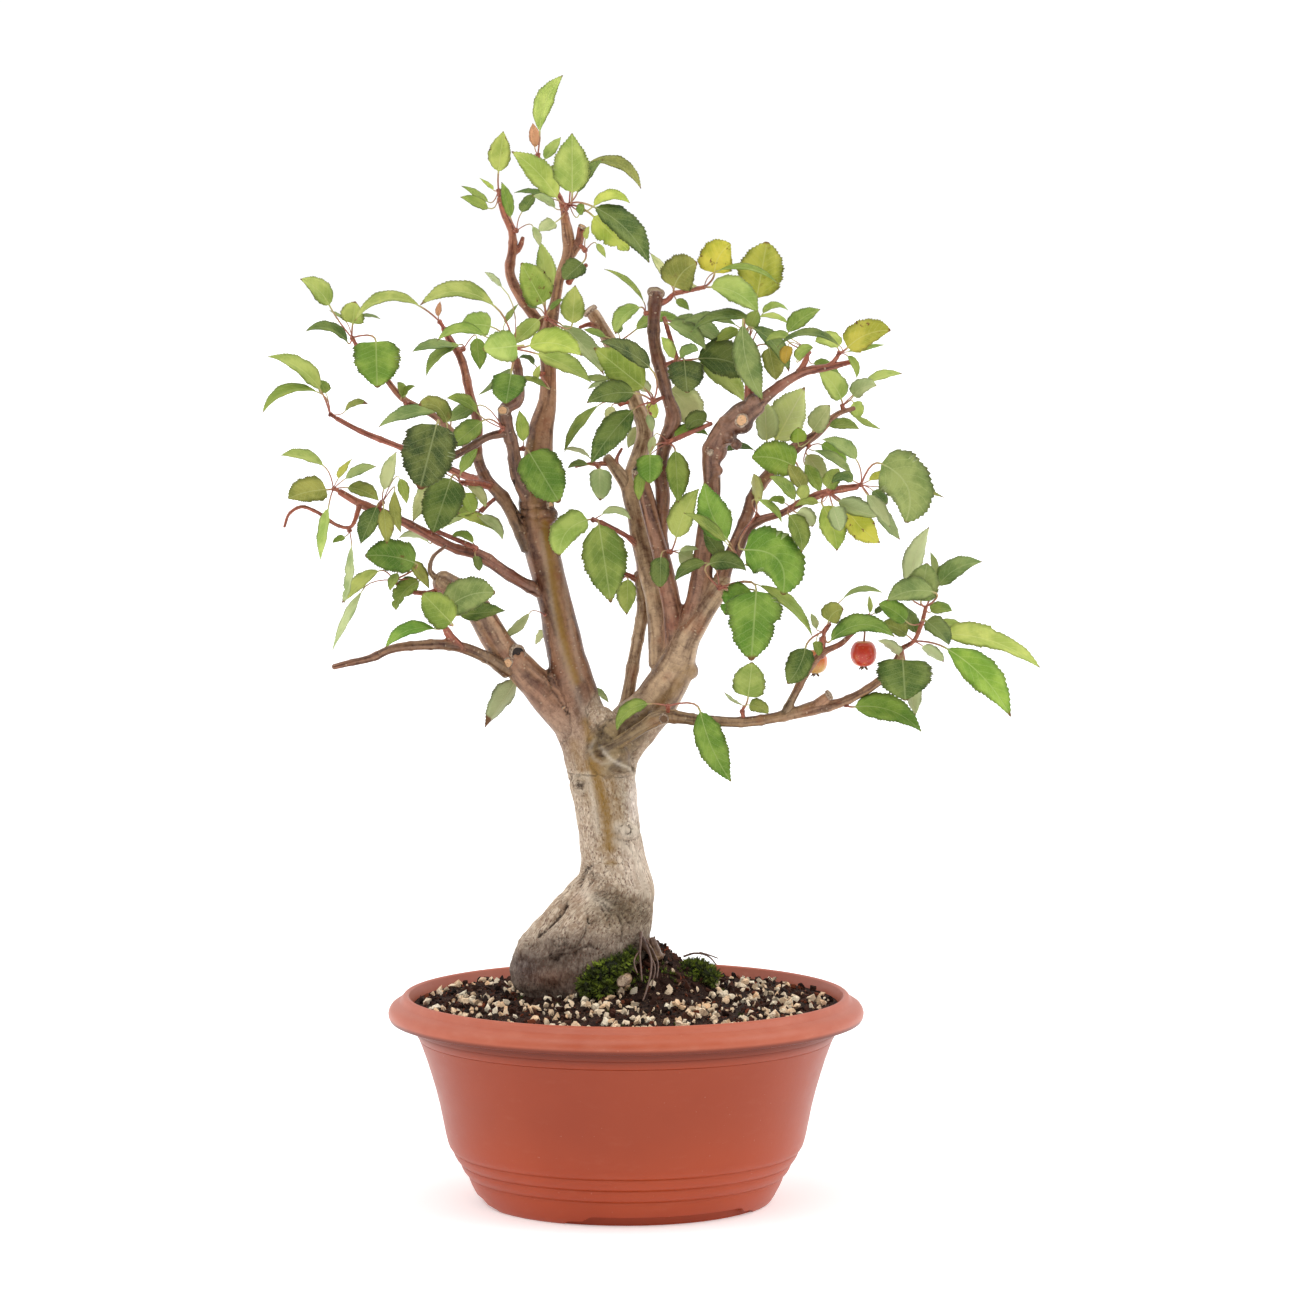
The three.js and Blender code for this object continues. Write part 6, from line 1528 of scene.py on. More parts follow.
# Each bunch: points of its spur as (u, v, depth), then its leaves as (base u, v, tip u, v, width, roll,
# bow, base depth, tip depth, tone). Roll 0 turns the upper face to the front, 90 to the sky, 180 away.
# A tone may be followed by S spotted, T brown tip, R ragged edge or L lobed.
BUNCHES = {
    "back_left_high": (((354, 336, 91),), (
        (332, 304, 303, 278, 26, 36, 4, 88, 75, "l"), (346, 318, 332, 309, 10, 70, 0, 98, 106, "g"),
        (355, 322, 358, 300, 28, 20, 0, 84, 78, "l"), (362, 316, 383, 318, 11, 70, 2, 102, 112, "g"),
        (350, 341, 308, 330, 22, 62, 9, 80, 62, "d"), (378, 340, 379, 386, 50, 8, 0, 70, 36, "e"))),
    "back_left_twig": (((407, 401, 68),), (
        (407, 394, 399, 380, 13, 40, 0, 62, 54, "l"), (403, 395, 417, 384, 11, 55, 2, 60, 52, "m"))),
    "far_left_high": (((332, 412, 62),), (
        (322, 387, 270, 355, 29, 54, 7, 52, 34, "l"), (320, 390, 265, 411, 22, 60, 12, 40, 22, "m"),
        (328, 391, 322, 378, 15, 30, 0, 66, 70, "m"), (347, 409, 370, 402, 14, 60, 4, 54, 44, "oT"))),
    "left_high": (((441, 320, 62),), (
        (422, 305, 357, 320, 26, 62, 15, 44, 26, "l"), (440, 315, 442, 300, 9, 40, 0, 62, 64, "r"))),
    "left_upper": (((465, 347, 46),), (
        (457, 345, 414, 350, 22, 62, 3, 34, 16, "g"), (461, 343, 428, 374, 22, 58, 6, 34, 22, "m"),
        (478, 336, 481, 368, 19, 20, 0, 30, 20, "m"))),
    "knob_tip": (((515, 347, -52),), (
        (496, 305, 422, 304, 31, 55, 14, -46, -60, "l"), (503, 286, 486, 271, 14, 120, 0, -34, -28, "p"),
        (492, 325, 463, 325, 26, 20, 2, -66, -78, "l"), (506, 322, 520, 302, 12, 60, 0, -44, -40, "m"),
        (485, 334, 439, 339, 21, 58, 8, -84, -100, "m"), (518, 344, 484, 348, 34, 14, 0, -92, -108, "l"),
        (513, 366, 479, 393, 21, 66, -4, -60, -70, "g"), (512, 372, 507, 402, 36, 8, 0, -72, -92, "b"),
        (530, 344, 582, 354, 36, 42, 7, -68, -84, "v"), (538, 352, 592, 381, 30, 48, 3, -50, -58, "l"))),
    "stem_left": (((541, 372, -2),), (
        (548, 386, 514, 379, 15, 64, 4, -18, -30, "m"), (535, 362, 520, 356, 14, 66, 2, -10, -16, "d"),
        (536, 378, 541, 363, 10, 40, 0, -16, -18, "l"))),
    "stem_high": (((547, 317, -4),), (
        (544, 302, 522, 262, 36, 25, 0, -12, -24, "vS"), (546, 300, 541, 241, 28, 40, 2, 22, 40, "l"),
        (551, 308, 564, 298, 12, 60, 0, -14, -18, "m"), (538, 306, 528, 304, 12, 60, 0, -8, -10, "g"),
        (573, 322, 576, 284, 27, 15, 0, -22, -30, "l"),
        (562, 323, 604, 373, 27, 38, 3, -8, -26, "p"), (540, 318, 513, 344, 22, 30, 0, -26, -38, "l"))),
    "crown_left": (((500, 190, 42),), (
        (500, 172, 505, 132, 26, 20, 0, 34, 24, "lS"), (490, 202, 463, 186, 14, 60, 0, 34, 26, "m"),
        (490, 208, 462, 197, 18, 50, 0, 22, 8, "m"), (495, 190, 481, 178, 9, 60, 0, 50, 58, "v"))),
    "crown_left_low": (((518, 230, 30),), (
        (512, 217, 503, 182, 16, 40, 0, 24, 12, "m"), (523, 212, 536, 194, 16, 40, 0, 36, 40, "d"),
        (534, 226, 541, 246, 13, 50, 0, 26, 22, "p"))),
    "crown_top": (((539, 155, 28),), (
        (541, 133, 564, 77, 25, 35, 6, 16, 6, "l"), (536, 148, 534, 124, 14, 30, 0, 34, 38, "r"),
        (546, 160, 562, 138, 16, 40, 0, 34, 40, "l"))),
    "crown": (((566, 210, 14), (570, 204, 6),), (
        (558, 198, 513, 152, 29, 22, 4, -8, -22, "l"), (573, 193, 573, 134, 40, 8, 0, -22, -34, "l"),
        (578, 193, 604, 160, 22, 50, 3, 2, -2, "d"), (588, 164, 641, 189, 24, 58, 12, 16, 8, "o"),
        (546, 196, 515, 193, 15, 64, 2, 4, 6, "d"), (556, 208, 533, 196, 18, 60, 2, -2, -6, "p"),
        (556, 222, 540, 231, 18, 40, 0, -10, -16, "p"), (580, 214, 584, 203, 12, 40, 0, -18, -22, "m"),
        (594, 206, 630, 203, 20, 55, 8, -26, -36, "v"), (595, 207, 649, 262, 34, 36, 7, -34, -52, "d"),
        (594, 216, 629, 250, 32, 15, 0, -14, -20, "vR"))),
    "crown_right": (((586, 250, 4),), (
        (583, 262, 564, 279, 26, 30, 0, -10, -16, "d"), (597, 243, 606, 257, 9, 40, 0, 2, 0, "l"),
        (586, 238, 590, 226, 10, 50, 0, 2, -2, "l"))),
    "left_big": (((440, 457, -62),), (
        (438, 422, 421, 487, 56, 8, 0, -92, -110, "k"), (443, 409, 380, 425, 26, 56, 5, -40, -56, "g"),
        (448, 420, 420, 403, 24, 50, 8, -66, -78, "o"))),
    "left_inner": (((504, 426, -44),), (
        (483, 419, 450, 446, 26, 30, 0, -62, -76, "m"), (478, 410, 448, 396, 20, 54, 4, -50, -58, "m"),
        (476, 404, 447, 420, 20, 40, 0, -46, -54, "g"))),
    "stem_mid": (((524, 446, -14),), (
        (524, 439, 520, 408, 17, 34, 0, -20, -24, "v"), (530, 450, 560, 500, 46, 12, 0, -34, -50, "b"))),
    "left_stub": (((462, 480, -20),), (
        (452, 476, 434, 530, 42, 10, 0, -44, -62, "d"), (436, 474, 414, 519, 21, 30, 0, -24, -30, "p"),
        (462, 470, 479, 446, 20, 50, 0, -30, -30, "m"), (466, 490, 474, 511, 19, 30, 0, -36, -44, "m"),
        (468, 484, 486, 505, 17, 50, 4, -14, -10, "p"))),
    "left_low": (((482, 508, 6),), (
        (476, 506, 455, 513, 17, 50, 0, 4, 0, "l"), (480, 514, 503, 537, 20, 55, 4, -6, -18, "p"),
        (468, 514, 442, 527, 12, 60, 2, 8, 10, "p"),
        (458, 512, 500, 531, 18, 52, 4, -2, -14, "l"))),
    "rusty_knot": (((477, 545, -38), (432, 526, -48),), (
        (474, 540, 451, 535, 15, 60, 5, -40, -44, "m"), (476, 553, 480, 568, 12, 40, 0, -46, -50, "d"),
        (430, 540, 400, 535, 20, 115, 4, -42, -38, "p"))),
    "far_left": (((335, 486, -64),), (
        (325, 463, 283, 453, 22, 62, 4, -62, -78, "l"), (328, 487, 290, 496, 32, 35, 2, -78, -98, "o"),
        (340, 476, 354, 456, 16, 60, 0, -56, -48, "y"), (347, 476, 378, 464, 16, 50, 2, -74, -84, "g"),
        (349, 485, 380, 498, 22, 48, 3, -72, -82, "o"),
        (330, 505, 322, 557, 22, 56, 0, -84, -92, "l"))),
    "far_left_low": (((384, 499, -58),), (
        (385, 487, 398, 449, 20, 40, 0, -68, -80, "p"), (396, 487, 402, 530, 18, 50, -4, -76, -84, "o"),
        (378, 504, 362, 541, 25, 30, 0, -78, -92, "d"), (385, 506, 388, 541, 19, 30, 0, -88, -98, "o"),
        (401, 476, 408, 501, 15, 40, 0, -62, -60, "l"))),
    "hanging_left": (((351, 528, -68),), (
        (353, 543, 345, 600, 18, 56, -3, -84, -92, "pR"), (346, 534, 334, 540, 10, 50, 0, -78, -82, "m"))),
    "dead_end": (((395, 577, -62),), (
        (380, 568, 343, 600, 21, 48, 3, -58, -60, "l"), (416, 560, 366, 553, 36, 24, 3, -62, -76, "bS"),
        (398, 570, 391, 588, 14, 40, 0, -70, -78, "m"), (363, 588, 333, 648, 19, 56, 0, -58, -62, "p"),
        (420, 578, 397, 607, 25, 40, 5, -62, -72, "mR"),
        (412, 558, 430, 586, 20, 50, 0, -58, -60, "o"))),
    "left_lowest": (((442, 618, -76),), (
        (452, 620, 423, 590, 34, 15, 0, -96, -110, "m"), (448, 606, 496, 590, 38, 26, 6, -78, -90, "g"),
        (460, 612, 506, 608, 28, 50, 0, -62, -66, "d"),
        (436, 626, 386, 645, 22, 52, 8, -102, -120, "b"))),
    "under_limb": (((524, 668, 6),), ((517, 677, 485, 725, 34, 132, 0, 8, -2, "pT"),)),
    "crotch": (((594, 681, 2),), ((595, 685, 609, 700, 10, 50, 0, 0, -2, "p"),)),
    "inner_twig": (((593, 517, -18),), (
        (588, 517, 560, 553, 34, 32, 9, -26, -40, "l"), (599, 521, 611, 600, 48, 10, 0, -34, -46, "m"),
        (602, 512, 631, 517, 15, 60, 6, -22, -24, "p"))),
    "fork": (((599, 464, 10),), (
        (590, 455, 564, 447, 16, 112, 2, 18, 24, "p"), (588, 462, 568, 466, 14, 60, 2, 4, 0, "d"),
        (600, 466, 600, 498, 25, 20, 0, 0, -8, "p"))),
    "shoot_mid": (((653, 400, -32),), (
        (644, 386, 594, 346, 42, 24, 0, -42, -50, "m"), (650, 390, 622, 381, 24, 118, 2, -28, -30, "p"),
        (634, 391, 587, 401, 29, 32, 4, -58, -76, "d"), (633, 408, 591, 461, 31, 20, 2, -44, -62, "d"),
        (650, 366, 600, 340, 28, 48, 4, -62, -80, "k"), (648, 412, 652, 430, 12, 40, 0, -40, -44, "p"))),
    "shoot_back": (((672, 396, -8),), ((670, 388, 694, 425, 36, 24, 5, 4, 14, "p"),)),
    "grey_stem": (((620, 402, 44),), (
        (599, 403, 565, 450, 19, 54, 4, 26, 14, "m"), (612, 404, 611, 425, 15, 35, 0, 40, 38, "p"),
        (614, 384, 588, 387, 18, 112, 2, 40, 44, "b"), (610, 378, 583, 376, 13, 55, 0, 52, 56, "g"))),
    "grey_back": (((650, 412, 56),), (
        (648, 400, 656, 416, 15, 30, 0, 62, 66, "v"), (640, 424, 628, 446, 16, 30, 0, 62, 60, "p"))),
    "shoot_low": (((668, 440, -24), (711, 421, -36),), (
        (650, 452, 650, 481, 28, 8, 0, -48, -60, "b"), (642, 468, 639, 498, 16, 40, 0, -36, -40, "m"),
        (675, 448, 678, 500, 28, 28, 0, -30, -40, "m"), (674, 434, 708, 433, 18, 50, 6, -22, -26, "b"),
        (654, 434, 650, 452, 10, 30, 0, -38, -42, "p"), (706, 419, 687, 427, 22, 42, 5, -32, -28, "d"))),
    "shoot_high": (((677, 359, -30), (664, 316, -20),), (
        (684, 359, 687, 391, 38, 8, 0, -46, -60, "k"), (674, 356, 661, 335, 17, 44, 0, -38, -46, "l"),
        (680, 355, 698, 349, 18, 54, 3, -44, -52, "g"), (697, 357, 757, 376, 44, 28, 7, -26, -14, "d"),
        (698, 361, 744, 400, 30, 34, 6, -12, 0, "l"), (668, 322, 705, 348, 27, 52, 4, -30, -38, "g"),
        (672, 320, 726, 350, 27, 48, 8, -10, -6, "g"))),
    "shoot_left": (((645, 312, -22),), (
        (644, 301, 604, 268, 11, 56, 5, -18, -22, "l"), (640, 306, 616, 333, 24, 48, 6, -32, -40, "l"))),
    "shoot_tip": (((675, 292, -23), (690, 289, -22), (704, 286, -20),), (
        (674, 286, 697, 262, 40, 18, 4, -36, -46, "o"), (671, 284, 650, 252, 15, 50, 0, -20, -20, "p"),
        (676, 298, 689, 309, 12, 40, 0, -28, -32, "m"), (684, 287, 697, 285, 9, 50, 0, -28, -30, "p"),
        (714, 272, 730, 243, 38, 12, 4, -26, -34, "yS"), (717, 270, 777, 283, 13, 56, 9, -44, -54, "mS"),
        (710, 286, 757, 311, 36, 42, 7, -34, -30, "l"))),
    "grey_tip": (((619, 340, 62),), (
        (636, 328, 683, 321, 24, 56, 7, 40, 30, "m"), (619, 332, 615, 316, 13, 45, 0, 52, 50, "d"),
        (606, 335, 584, 328, 13, 55, 0, 44, 36, "m"))),
    "right_crown": (((746, 349, -29),), (
        (752, 318, 690, 331, 22, 56, 9, -34, -46, "d"), (757, 316, 788, 323, 12, 60, 4, -20, -22, "l"),
        (736, 324, 682, 321, 18, 56, 6, -22, -30, "g"), (738, 328, 714, 340, 18, 44, 0, -16, -20, "m"),
        (742, 322, 762, 398, 31, 16, -6, -62, -74, "g"),
        (752, 326, 788, 370, 24, 46, 6, -46, -54, "d"), (768, 346, 775, 378, 26, 30, 0, -32, -36, "o"),
        (749, 326, 757, 309, 17, 20, 0, -40, -46, "m"), (756, 297, 766, 241, 48, 12, 0, -4, 8, "y"),
        (762, 312, 787, 309, 13, 56, 6, 0, 6, "l"))),
    "right_shoot": (((808, 350, -54),), (
        (787, 331, 819, 308, 23, 40, 3, -36, -30, "m"), (790, 337, 765, 340, 16, 56, 4, -66, -74, "m"),
        (796, 358, 812, 346, 15, 40, 3, -70, -78, "l"), (787, 344, 784, 362, 15, 30, 0, -64, -70, "a"),
        (812, 362, 838, 372, 15, 50, 3, -46, -42, "m"))),
    "right_high": (((838, 351, -63),), (
        (846, 346, 889, 329, 33, 30, 5, -70, -80, "yS"), (836, 346, 814, 340, 22, 40, 5, -52, -44, "l"),
        (838, 344, 776, 346, 16, 58, 13, -82, -98, "d"), (846, 354, 855, 376, 11, 40, 3, -68, -72, "m"),
        (846, 350, 884, 343, 12, 56, 0, -54, -50, "m"))),
    "right_upper": (((841, 403, 26),), (
        (840, 397, 818, 370, 27, 30, 3, 16, 6, "l"), (852, 394, 875, 384, 22, 42, 4, 14, 8, "p"),
        (862, 384, 901, 372, 17, 56, 4, 34, 42, "l"), (852, 400, 858, 416, 18, 30, 0, 34, 38, "l"),
        (852, 413, 880, 427, 12, 56, -2, 34, 36, "l"))),
    "right_bend": (((822, 424, 12),), (
        (828, 424, 858, 427, 17, 46, 3, 2, -4, "m"), (812, 428, 829, 403, 25, 30, 0, 4, -6, "p"),
        (797, 440, 797, 425, 18, 12, 0, -8, -12, "e"))),
    "right_mid": (((787, 449, 0),), (
        (775, 438, 804, 385, 44, 165, 0, 26, 44, "v"), (766, 438, 764, 400, 28, 150, 0, 14, 22, "l"),
        (794, 464, 751, 455, 37, 18, 4, -26, -40, "e"), (754, 448, 715, 453, 15, 56, 6, -6, -12, "d"))),
    "right_inner": (((808, 444, 10),), (
        (812, 448, 851, 473, 17, 54, 4, -6, -16, "g"), (820, 442, 844, 466, 22, 30, 3, 8, 4, "b"),
        (806, 452, 825, 478, 22, 150, 0, 20, 26, "o"),
        (804, 462, 820, 490, 20, 40, 0, 6, 2, "m"))),
    "right_tip": (((860, 482, -88),), (
        (855, 457, 821, 437, 21, 44, 4, -78, -72, "g"), (880, 461, 904, 520, 52, 12, 15, -98, -112, "g"),
        (866, 492, 889, 524, 21, 44, 0, -104, -116, "p"), (872, 500, 899, 537, 24, 54, -2, -84, -88, "p"),
        (872, 488, 886, 502, 17, 50, 0, -92, -98, "d"), (878, 484, 943, 495, 18, 54, 3, -76, -70, "o"),
        (868, 478, 890, 468, 13, 50, 0, -78, -70, "y"), (852, 478, 831, 481, 18, 56, 4, -94, -96, "d"))),
    "right_twig": (((828, 490, -80),), (
        (826, 485, 838, 466, 19, 20, 0, -82, -88, "m"), (837, 498, 884, 514, 32, 130, -3, -78, -78, "g"),
        (832, 504, 840, 528, 23, 150, 0, -84, -92, "g"), (822, 503, 836, 548, 31, 20, 3, -66, -64, "v"),
        (846, 506, 879, 540, 31, 20, -3, -60, -54, "yS"), (818, 500, 794, 504, 14, 56, 2, -80, -82, "m"))),
    "right_knob": (((790, 505, -62),), (
        (788, 512, 801, 549, 25, 30, 4, -72, -72, "m"), (796, 510, 812, 524, 22, 150, 2, -66, -60, "p"),
        (794, 497, 768, 474, 19, 46, 3, -62, -70, "m"), (802, 486, 788, 462, 22, 40, 0, -50, -42, "o"),
        (800, 496, 807, 482, 16, 30, 0, -66, -70, "l"), (784, 500, 768, 499, 13, 56, 2, -60, -62, "m"))),
    "right_bud": (((756, 512, -38),), (
        (757, 497, 781, 520, 13, 50, 4, -60, -64, "l"), (756, 500, 753, 471, 23, 120, 0, -28, -22, "y"),
        (744, 547, 782, 592, 52, 12, 19, -58, -78, "b"))),
    "right_fork": (((738, 557, -34),), (
        (727, 537, 704, 479, 37, 20, -5, -52, -66, "b"), (726, 540, 683, 510, 17, 44, 3, -70, -84, "mS"),
        (722, 555, 703, 528, 20, 30, 0, -48, -50, "d"), (744, 562, 786, 575, 19, 54, 5, -42, -48, "o"))),
    "right_heart": (((719, 585, -42),), (
        (705, 560, 675, 578, 19, 48, 4, -58, -66, "d"), (709, 561, 746, 568, 25, 38, 5, -60, -70, "d"),
        (756, 588, 751, 658, 60, 10, 0, -70, -88, "bL"), (752, 590, 725, 612, 36, 22, 3, -58, -64, "bR"),
        (758, 582, 812, 634, 20, 50, 7, -58, -66, "l"))),
    "shoot_base": (((671, 549, -20),), (
        (676, 535, 699, 486, 31, 28, 3, -30, -40, "l"), (678, 550, 697, 560, 23, 24, 0, -14, -10, "pR"),
        (680, 547, 700, 546, 11, 56, 0, -28, -32, "p"), (661, 554, 660, 585, 22, 22, 0, -42, -50, "d"))),
    "low_bud": (((742, 708, -50),), (
        (748, 694, 752, 659, 35, 12, 0, -62, -70, "l"), (742, 702, 724, 689, 13, 110, -3, -48, -44, "p"),
        (749, 702, 768, 711, 17, 36, 2, -68, -74, "o"))),
    "low_knot": (((668, 703, -48),), (
        (700, 708, 731, 779, 34, 22, -4, -58, -68, "b"), (648, 701, 617, 728, 21, 46, 7, -58, -66, "m"))),
    "stem_bud": (((546, 612, -8),), (
        (530, 610, 503, 634, 17, 56, -4, -8, -12, "p"), (545, 628, 536, 642, 15, 60, 0, 12, 14, "p"))),
    "stub_stem": (((622, 574, 20),), ((628, 576, 627, 612, 24, 26, 0, 16, 12, "l"),)),
    "low_spur": (((824, 628, -64), (829, 621, -64),), (
        (805, 645, 787, 681, 29, 26, -3, -72, -84, "d"), (816, 626, 810, 610, 11, 46, 0, -62, -62, "p"),
        (828, 618, 843, 606, 24, 22, 3, -74, -80, "o"), (842, 596, 882, 590, 12, 62, 6, -62, -58, "g"),
        (816, 638, 818, 653, 12, 30, 0, -76, -80, "m"), (830, 638, 894, 634, 27, 48, 14, -82, -92, "b"))),
    "low_far_twig": (((869, 613, -54),), (
        (869, 610, 868, 592, 9, 50, 0, -54, -52, "l"), (874, 610, 884, 604, 9, 50, 0, -58, -60, "d"))),
    "low_mid": (((846, 703, -54),), ((854, 704, 921, 729, 33, 34, 9, -56, -66, "b"),)),
    "low_tip": (((902, 645, -55), (913, 638, -55), (921, 620, -55), (925, 604, -55),), (
        (902, 657, 905, 698, 58, 6, 0, -72, -100, "d"), (898, 652, 877, 638, 22, 120, 2, -62, -66, "p"),
        (905, 662, 915, 713, 28, 130, 0, -42, -42, "p"), (945, 645, 1010, 714, 39, 25, 7, -72, -90, "e"),
        (944, 631, 1039, 665, 33, 46, 9, -50, -52, "lL"), (936, 618, 968, 634, 15, 50, 3, -42, -40, "l"),
        (922, 643, 943, 659, 19, 130, 0, -58, -54, "p"), (925, 618, 948, 642, 28, 46, 2, -70, -78, "d"),
        (930, 609, 951, 608, 17, 46, 3, -46, -42, "m"), (937, 583, 981, 559, 27, 42, 6, -50, -56, "g"),
        (908, 588, 928, 524, 25, 150, 4, -40, -38, "p"), (920, 598, 926, 560, 34, 14, 0, -64, -70, "g"),
        (933, 578, 929, 549, 11, 40, 2, -48, -46, "g"), (932, 589, 886, 598, 31, 38, 5, -80, -92, "g"),
        (905, 618, 878, 601, 23, 30, 2, -72, -78, "b"), (906, 632, 881, 621, 21, 40, 2, -64, -66, "o"),
        (915, 630, 902, 602, 20, 40, 0, -50, -46, "d"))),
}
NAMELESS = ("back_left_twig", "crotch", "grey_back", "stub_stem", "low_far_twig", "stem_bud")
# Tones of leaf, under the letters that the bunches name; the nameless bunches replace no node.
TONES = {
    "m": (130, 152, 60), "l": (176, 192, 98), "d": (68, 98, 34), "b": (102, 144, 42), "g": (126, 146, 86),
    "y": (200, 192, 62), "o": (138, 140, 60), "p": (190, 197, 146), "r": (214, 138, 116),
    "v": (184, 198, 86), "a": (226, 164, 44), "k": (44, 72, 22), "e": (142, 176, 56),
}
FOLD = 0.3
FOLD_RISE = 1.25
CURL = 0.12
RIPPLE = 0.05
BLADE_ROWS = 42
BLADE_SPOTS = (-1, -0.55, 0, 0.55, 1)
TOOTH = 0.054
TOOTH_LEAN = 0.014
BLADE_HALF_THICKNESS = 0.00013
STALK_POINTS = 5
MIDRIB_POINTS = 12
STALK_RADIUS = 0.00062
STALK_SIDES = 6
LEAF_SEED = 11
# Blades slimmer than the first share of width to length are slim, and wider than the second round.
SLIM_BELOW, ROUND_ABOVE = 0.42, 0.7
# Half width of each kind of blade along it, and what is missing: (side, where, depth, length).
BLADES = {
    "blade_0_oval": (((0, 0), (0.04, 0.3), (0.12, 0.64), (0.24, 0.92), (0.38, 1), (0.52, 0.95), (0.66, 0.79),
                      (0.78, 0.56), (0.88, 0.3), (0.95, 0.12), (1, 0)), ()),
    "blade_1_round": (((0, 0), (0.03, 0.42), (0.09, 0.76), (0.2, 0.97), (0.38, 1), (0.56, 0.96),
                       (0.72, 0.8), (0.84, 0.56), (0.93, 0.28), (1, 0)), ()),
    "blade_2_slim": (((0, 0), (0.06, 0.22), (0.18, 0.6), (0.32, 0.92), (0.46, 1), (0.6, 0.9), (0.74, 0.66),
                      (0.86, 0.36), (0.94, 0.15), (1, 0)), ()),
    "blade_3_ragged": (((0, 0), (0.04, 0.32), (0.12, 0.68), (0.24, 0.95), (0.4, 1), (0.56, 0.94),
                        (0.7, 0.76), (0.82, 0.6), (0.9, 0.44), (0.96, 0.2), (1, 0)),
                       ((1, 0.62, 0.42, 0.05), (1, 0.3, 0.2, 0.03), (-1, 0.76, 0.4, 0.04),
                        (-1, 0.5, 0.22, 0.03), (1, 0.86, 0.3, 0.03))),
    "blade_4_lobed": (((0, 0), (0.03, 0.4), (0.1, 0.74), (0.2, 0.97), (0.34, 1), (0.47, 0.92), (0.56, 0.74),
                       (0.7, 0.68), (0.82, 0.5), (0.92, 0.25), (1, 0)),
                      ((1, 0.46, 0.24, 0.04), (-1, 0.4, 0.16, 0.04))),
}


# How far the two faces lie apart from the plan before they are bent, in shares of the length.
BLADE_FACE = 0.01
# How the teeth differ from row to row: their mean, their swing and its beat.
TOOTH_MEAN, TOOTH_SWING, TOOTH_BEAT = 0.7, 0.6, 2.3


def blade(name, outline, bites):
    """A toothed blade of length 1 and half width 1, closed like a lens; plan says where a point is on it."""
    vertices, plan, faces = [], [], []

    def point(across, along, face):
        vertices.append((across, along, face * BLADE_FACE))
        plan.extend((across, along, face))
        return len(vertices) - 1

    def row_of(row):
        along = row / BLADE_ROWS
        pointed = row % 2
        upper, under = [], []
        for spot in BLADE_SPOTS:
            reach = float(np.interp(along, *zip(*outline)))
            for side, where, depth, length in bites:
                if side * spot > 0:
                    reach *= 1 - depth * math.exp(-((along - where) / length) ** 2)
            edge = abs(spot) == 1
            if edge:
                tooth = TOOTH * (TOOTH_MEAN + TOOTH_SWING * math.sin(row * TOOTH_BEAT + spot))
                reach *= 1 + tooth * (1 if pointed else -1)
            y = along + (TOOTH_LEAN if edge and pointed else 0)
            upper.append(point(spot * reach, y, 0 if edge else 1))
            under.append(upper[-1] if edge else point(spot * reach, y, -1))
        return upper, under

    base = point(0, 0, 0)
    rows = [row_of(row) for row in range(1, BLADE_ROWS)]
    tip = point(0, 1, 0)
    for i in range(len(BLADE_SPOTS) - 1):
        for side in (0, 1):
            first, last = rows[0][side], rows[-1][side]
            ends = [(base, first[i], first[i + 1]), (tip, last[i + 1], last[i])]
            quads = [(a[side][i], b[side][i], b[side][i + 1], a[side][i + 1]) for a, b in zip(rows, rows[1:])]
            for face in ends + quads:
                faces.append(face if side == 0 else face[::-1])
    made = mesh_object(name, vertices, faces)
    tell(made, "plan", plan, "FLOAT_VECTOR")
    return made


templates = bpy.data.collections.new("blades")
for name, (outline, bites) in BLADES.items():
    put_away(blade(name, outline, bites), templates)
blades_on = Layout("blades on midribs", [("Blades", "Collection"), ("Fold", "Float"), ("Curl", "Float"),
                                         ("Ripple", "Float"), ("Half thickness", "Float"),
                                         ("Blade finish", "Material"), ("Stalk finish", "Material")])
given = blades_on.given
lines = blades_on.add("GeometryNodeMeshToCurve", {"Mesh": given.out("Geometry")})
starts = blades_on.add("GeometryNodeCurveToPoints", {"Curve": lines, "Count": 1}, mode="COUNT")
starts = blades_on.store(starts, "leaf", blades_on.add("GeometryNodeInputIndex"), "INT")
shapes = blades_on.shapes(given.out("Blades"))
flat = blades_on.laid(starts, shapes, {"Instance Index": blades_on.read("kind", "INT")})
flat = blades_on.add("GeometryNodeRealizeInstances", {"Geometry": flat})
plan = blades_on.apart(blades_on.read("plan", "FLOAT_VECTOR"))
across, along, face = plan.out("X"), plan.out("Y"), plan.out("Z")
far = across.maths("ABSOLUTE")
start = blades_on.read("start")
half_width = blades_on.read("half_width")
hand = blades_on.read("hand")
phase = blades_on.read("phase")
line = blades_on.add("GeometryNodeSampleCurve",
                     {"Curves": lines, "Factor": start + (1 - start) * along,
                      "Curve Index": blades_on.read("leaf", "INT")}, mode="FACTOR", use_all_curves=False)
tangent = blades_on.vector("NORMALIZE", line.out("Tangent"))
to_front = (0, -1, 0)
up = blades_on.vector("NORMALIZE", blades_on.vector("CROSS_PRODUCT", tangent, to_front))
up = blades_on.scaled(up, hand)
lean = blades_on.vector("DOT_PRODUCT", tangent, to_front, output=1)
front = blades_on.vector("SUBTRACT", to_front, blades_on.scaled(tangent, lean))
front = blades_on.vector("NORMALIZE", front)
roll = blades_on.read("roll") + (along - 0.4) * (phase.maths("SINE") * 0.35)
cosine, sine = roll.maths("COSINE"), roll.maths("SINE")
side = blades_on.vector("SUBTRACT", blades_on.scaled(up, cosine), blades_on.scaled(front, sine))
normal = blades_on.vector("ADD", blades_on.scaled(front, cosine), blades_on.scaled(up, sine))
swing = along * 16 + phase * 3 + across * 1.4
lift = far * given.out("Fold") - far * far * given.out("Curl")
lift = lift + far * far * (swing.maths("SINE") * given.out("Ripple"))
raised = half_width * lift + face * given.out("Half thickness")
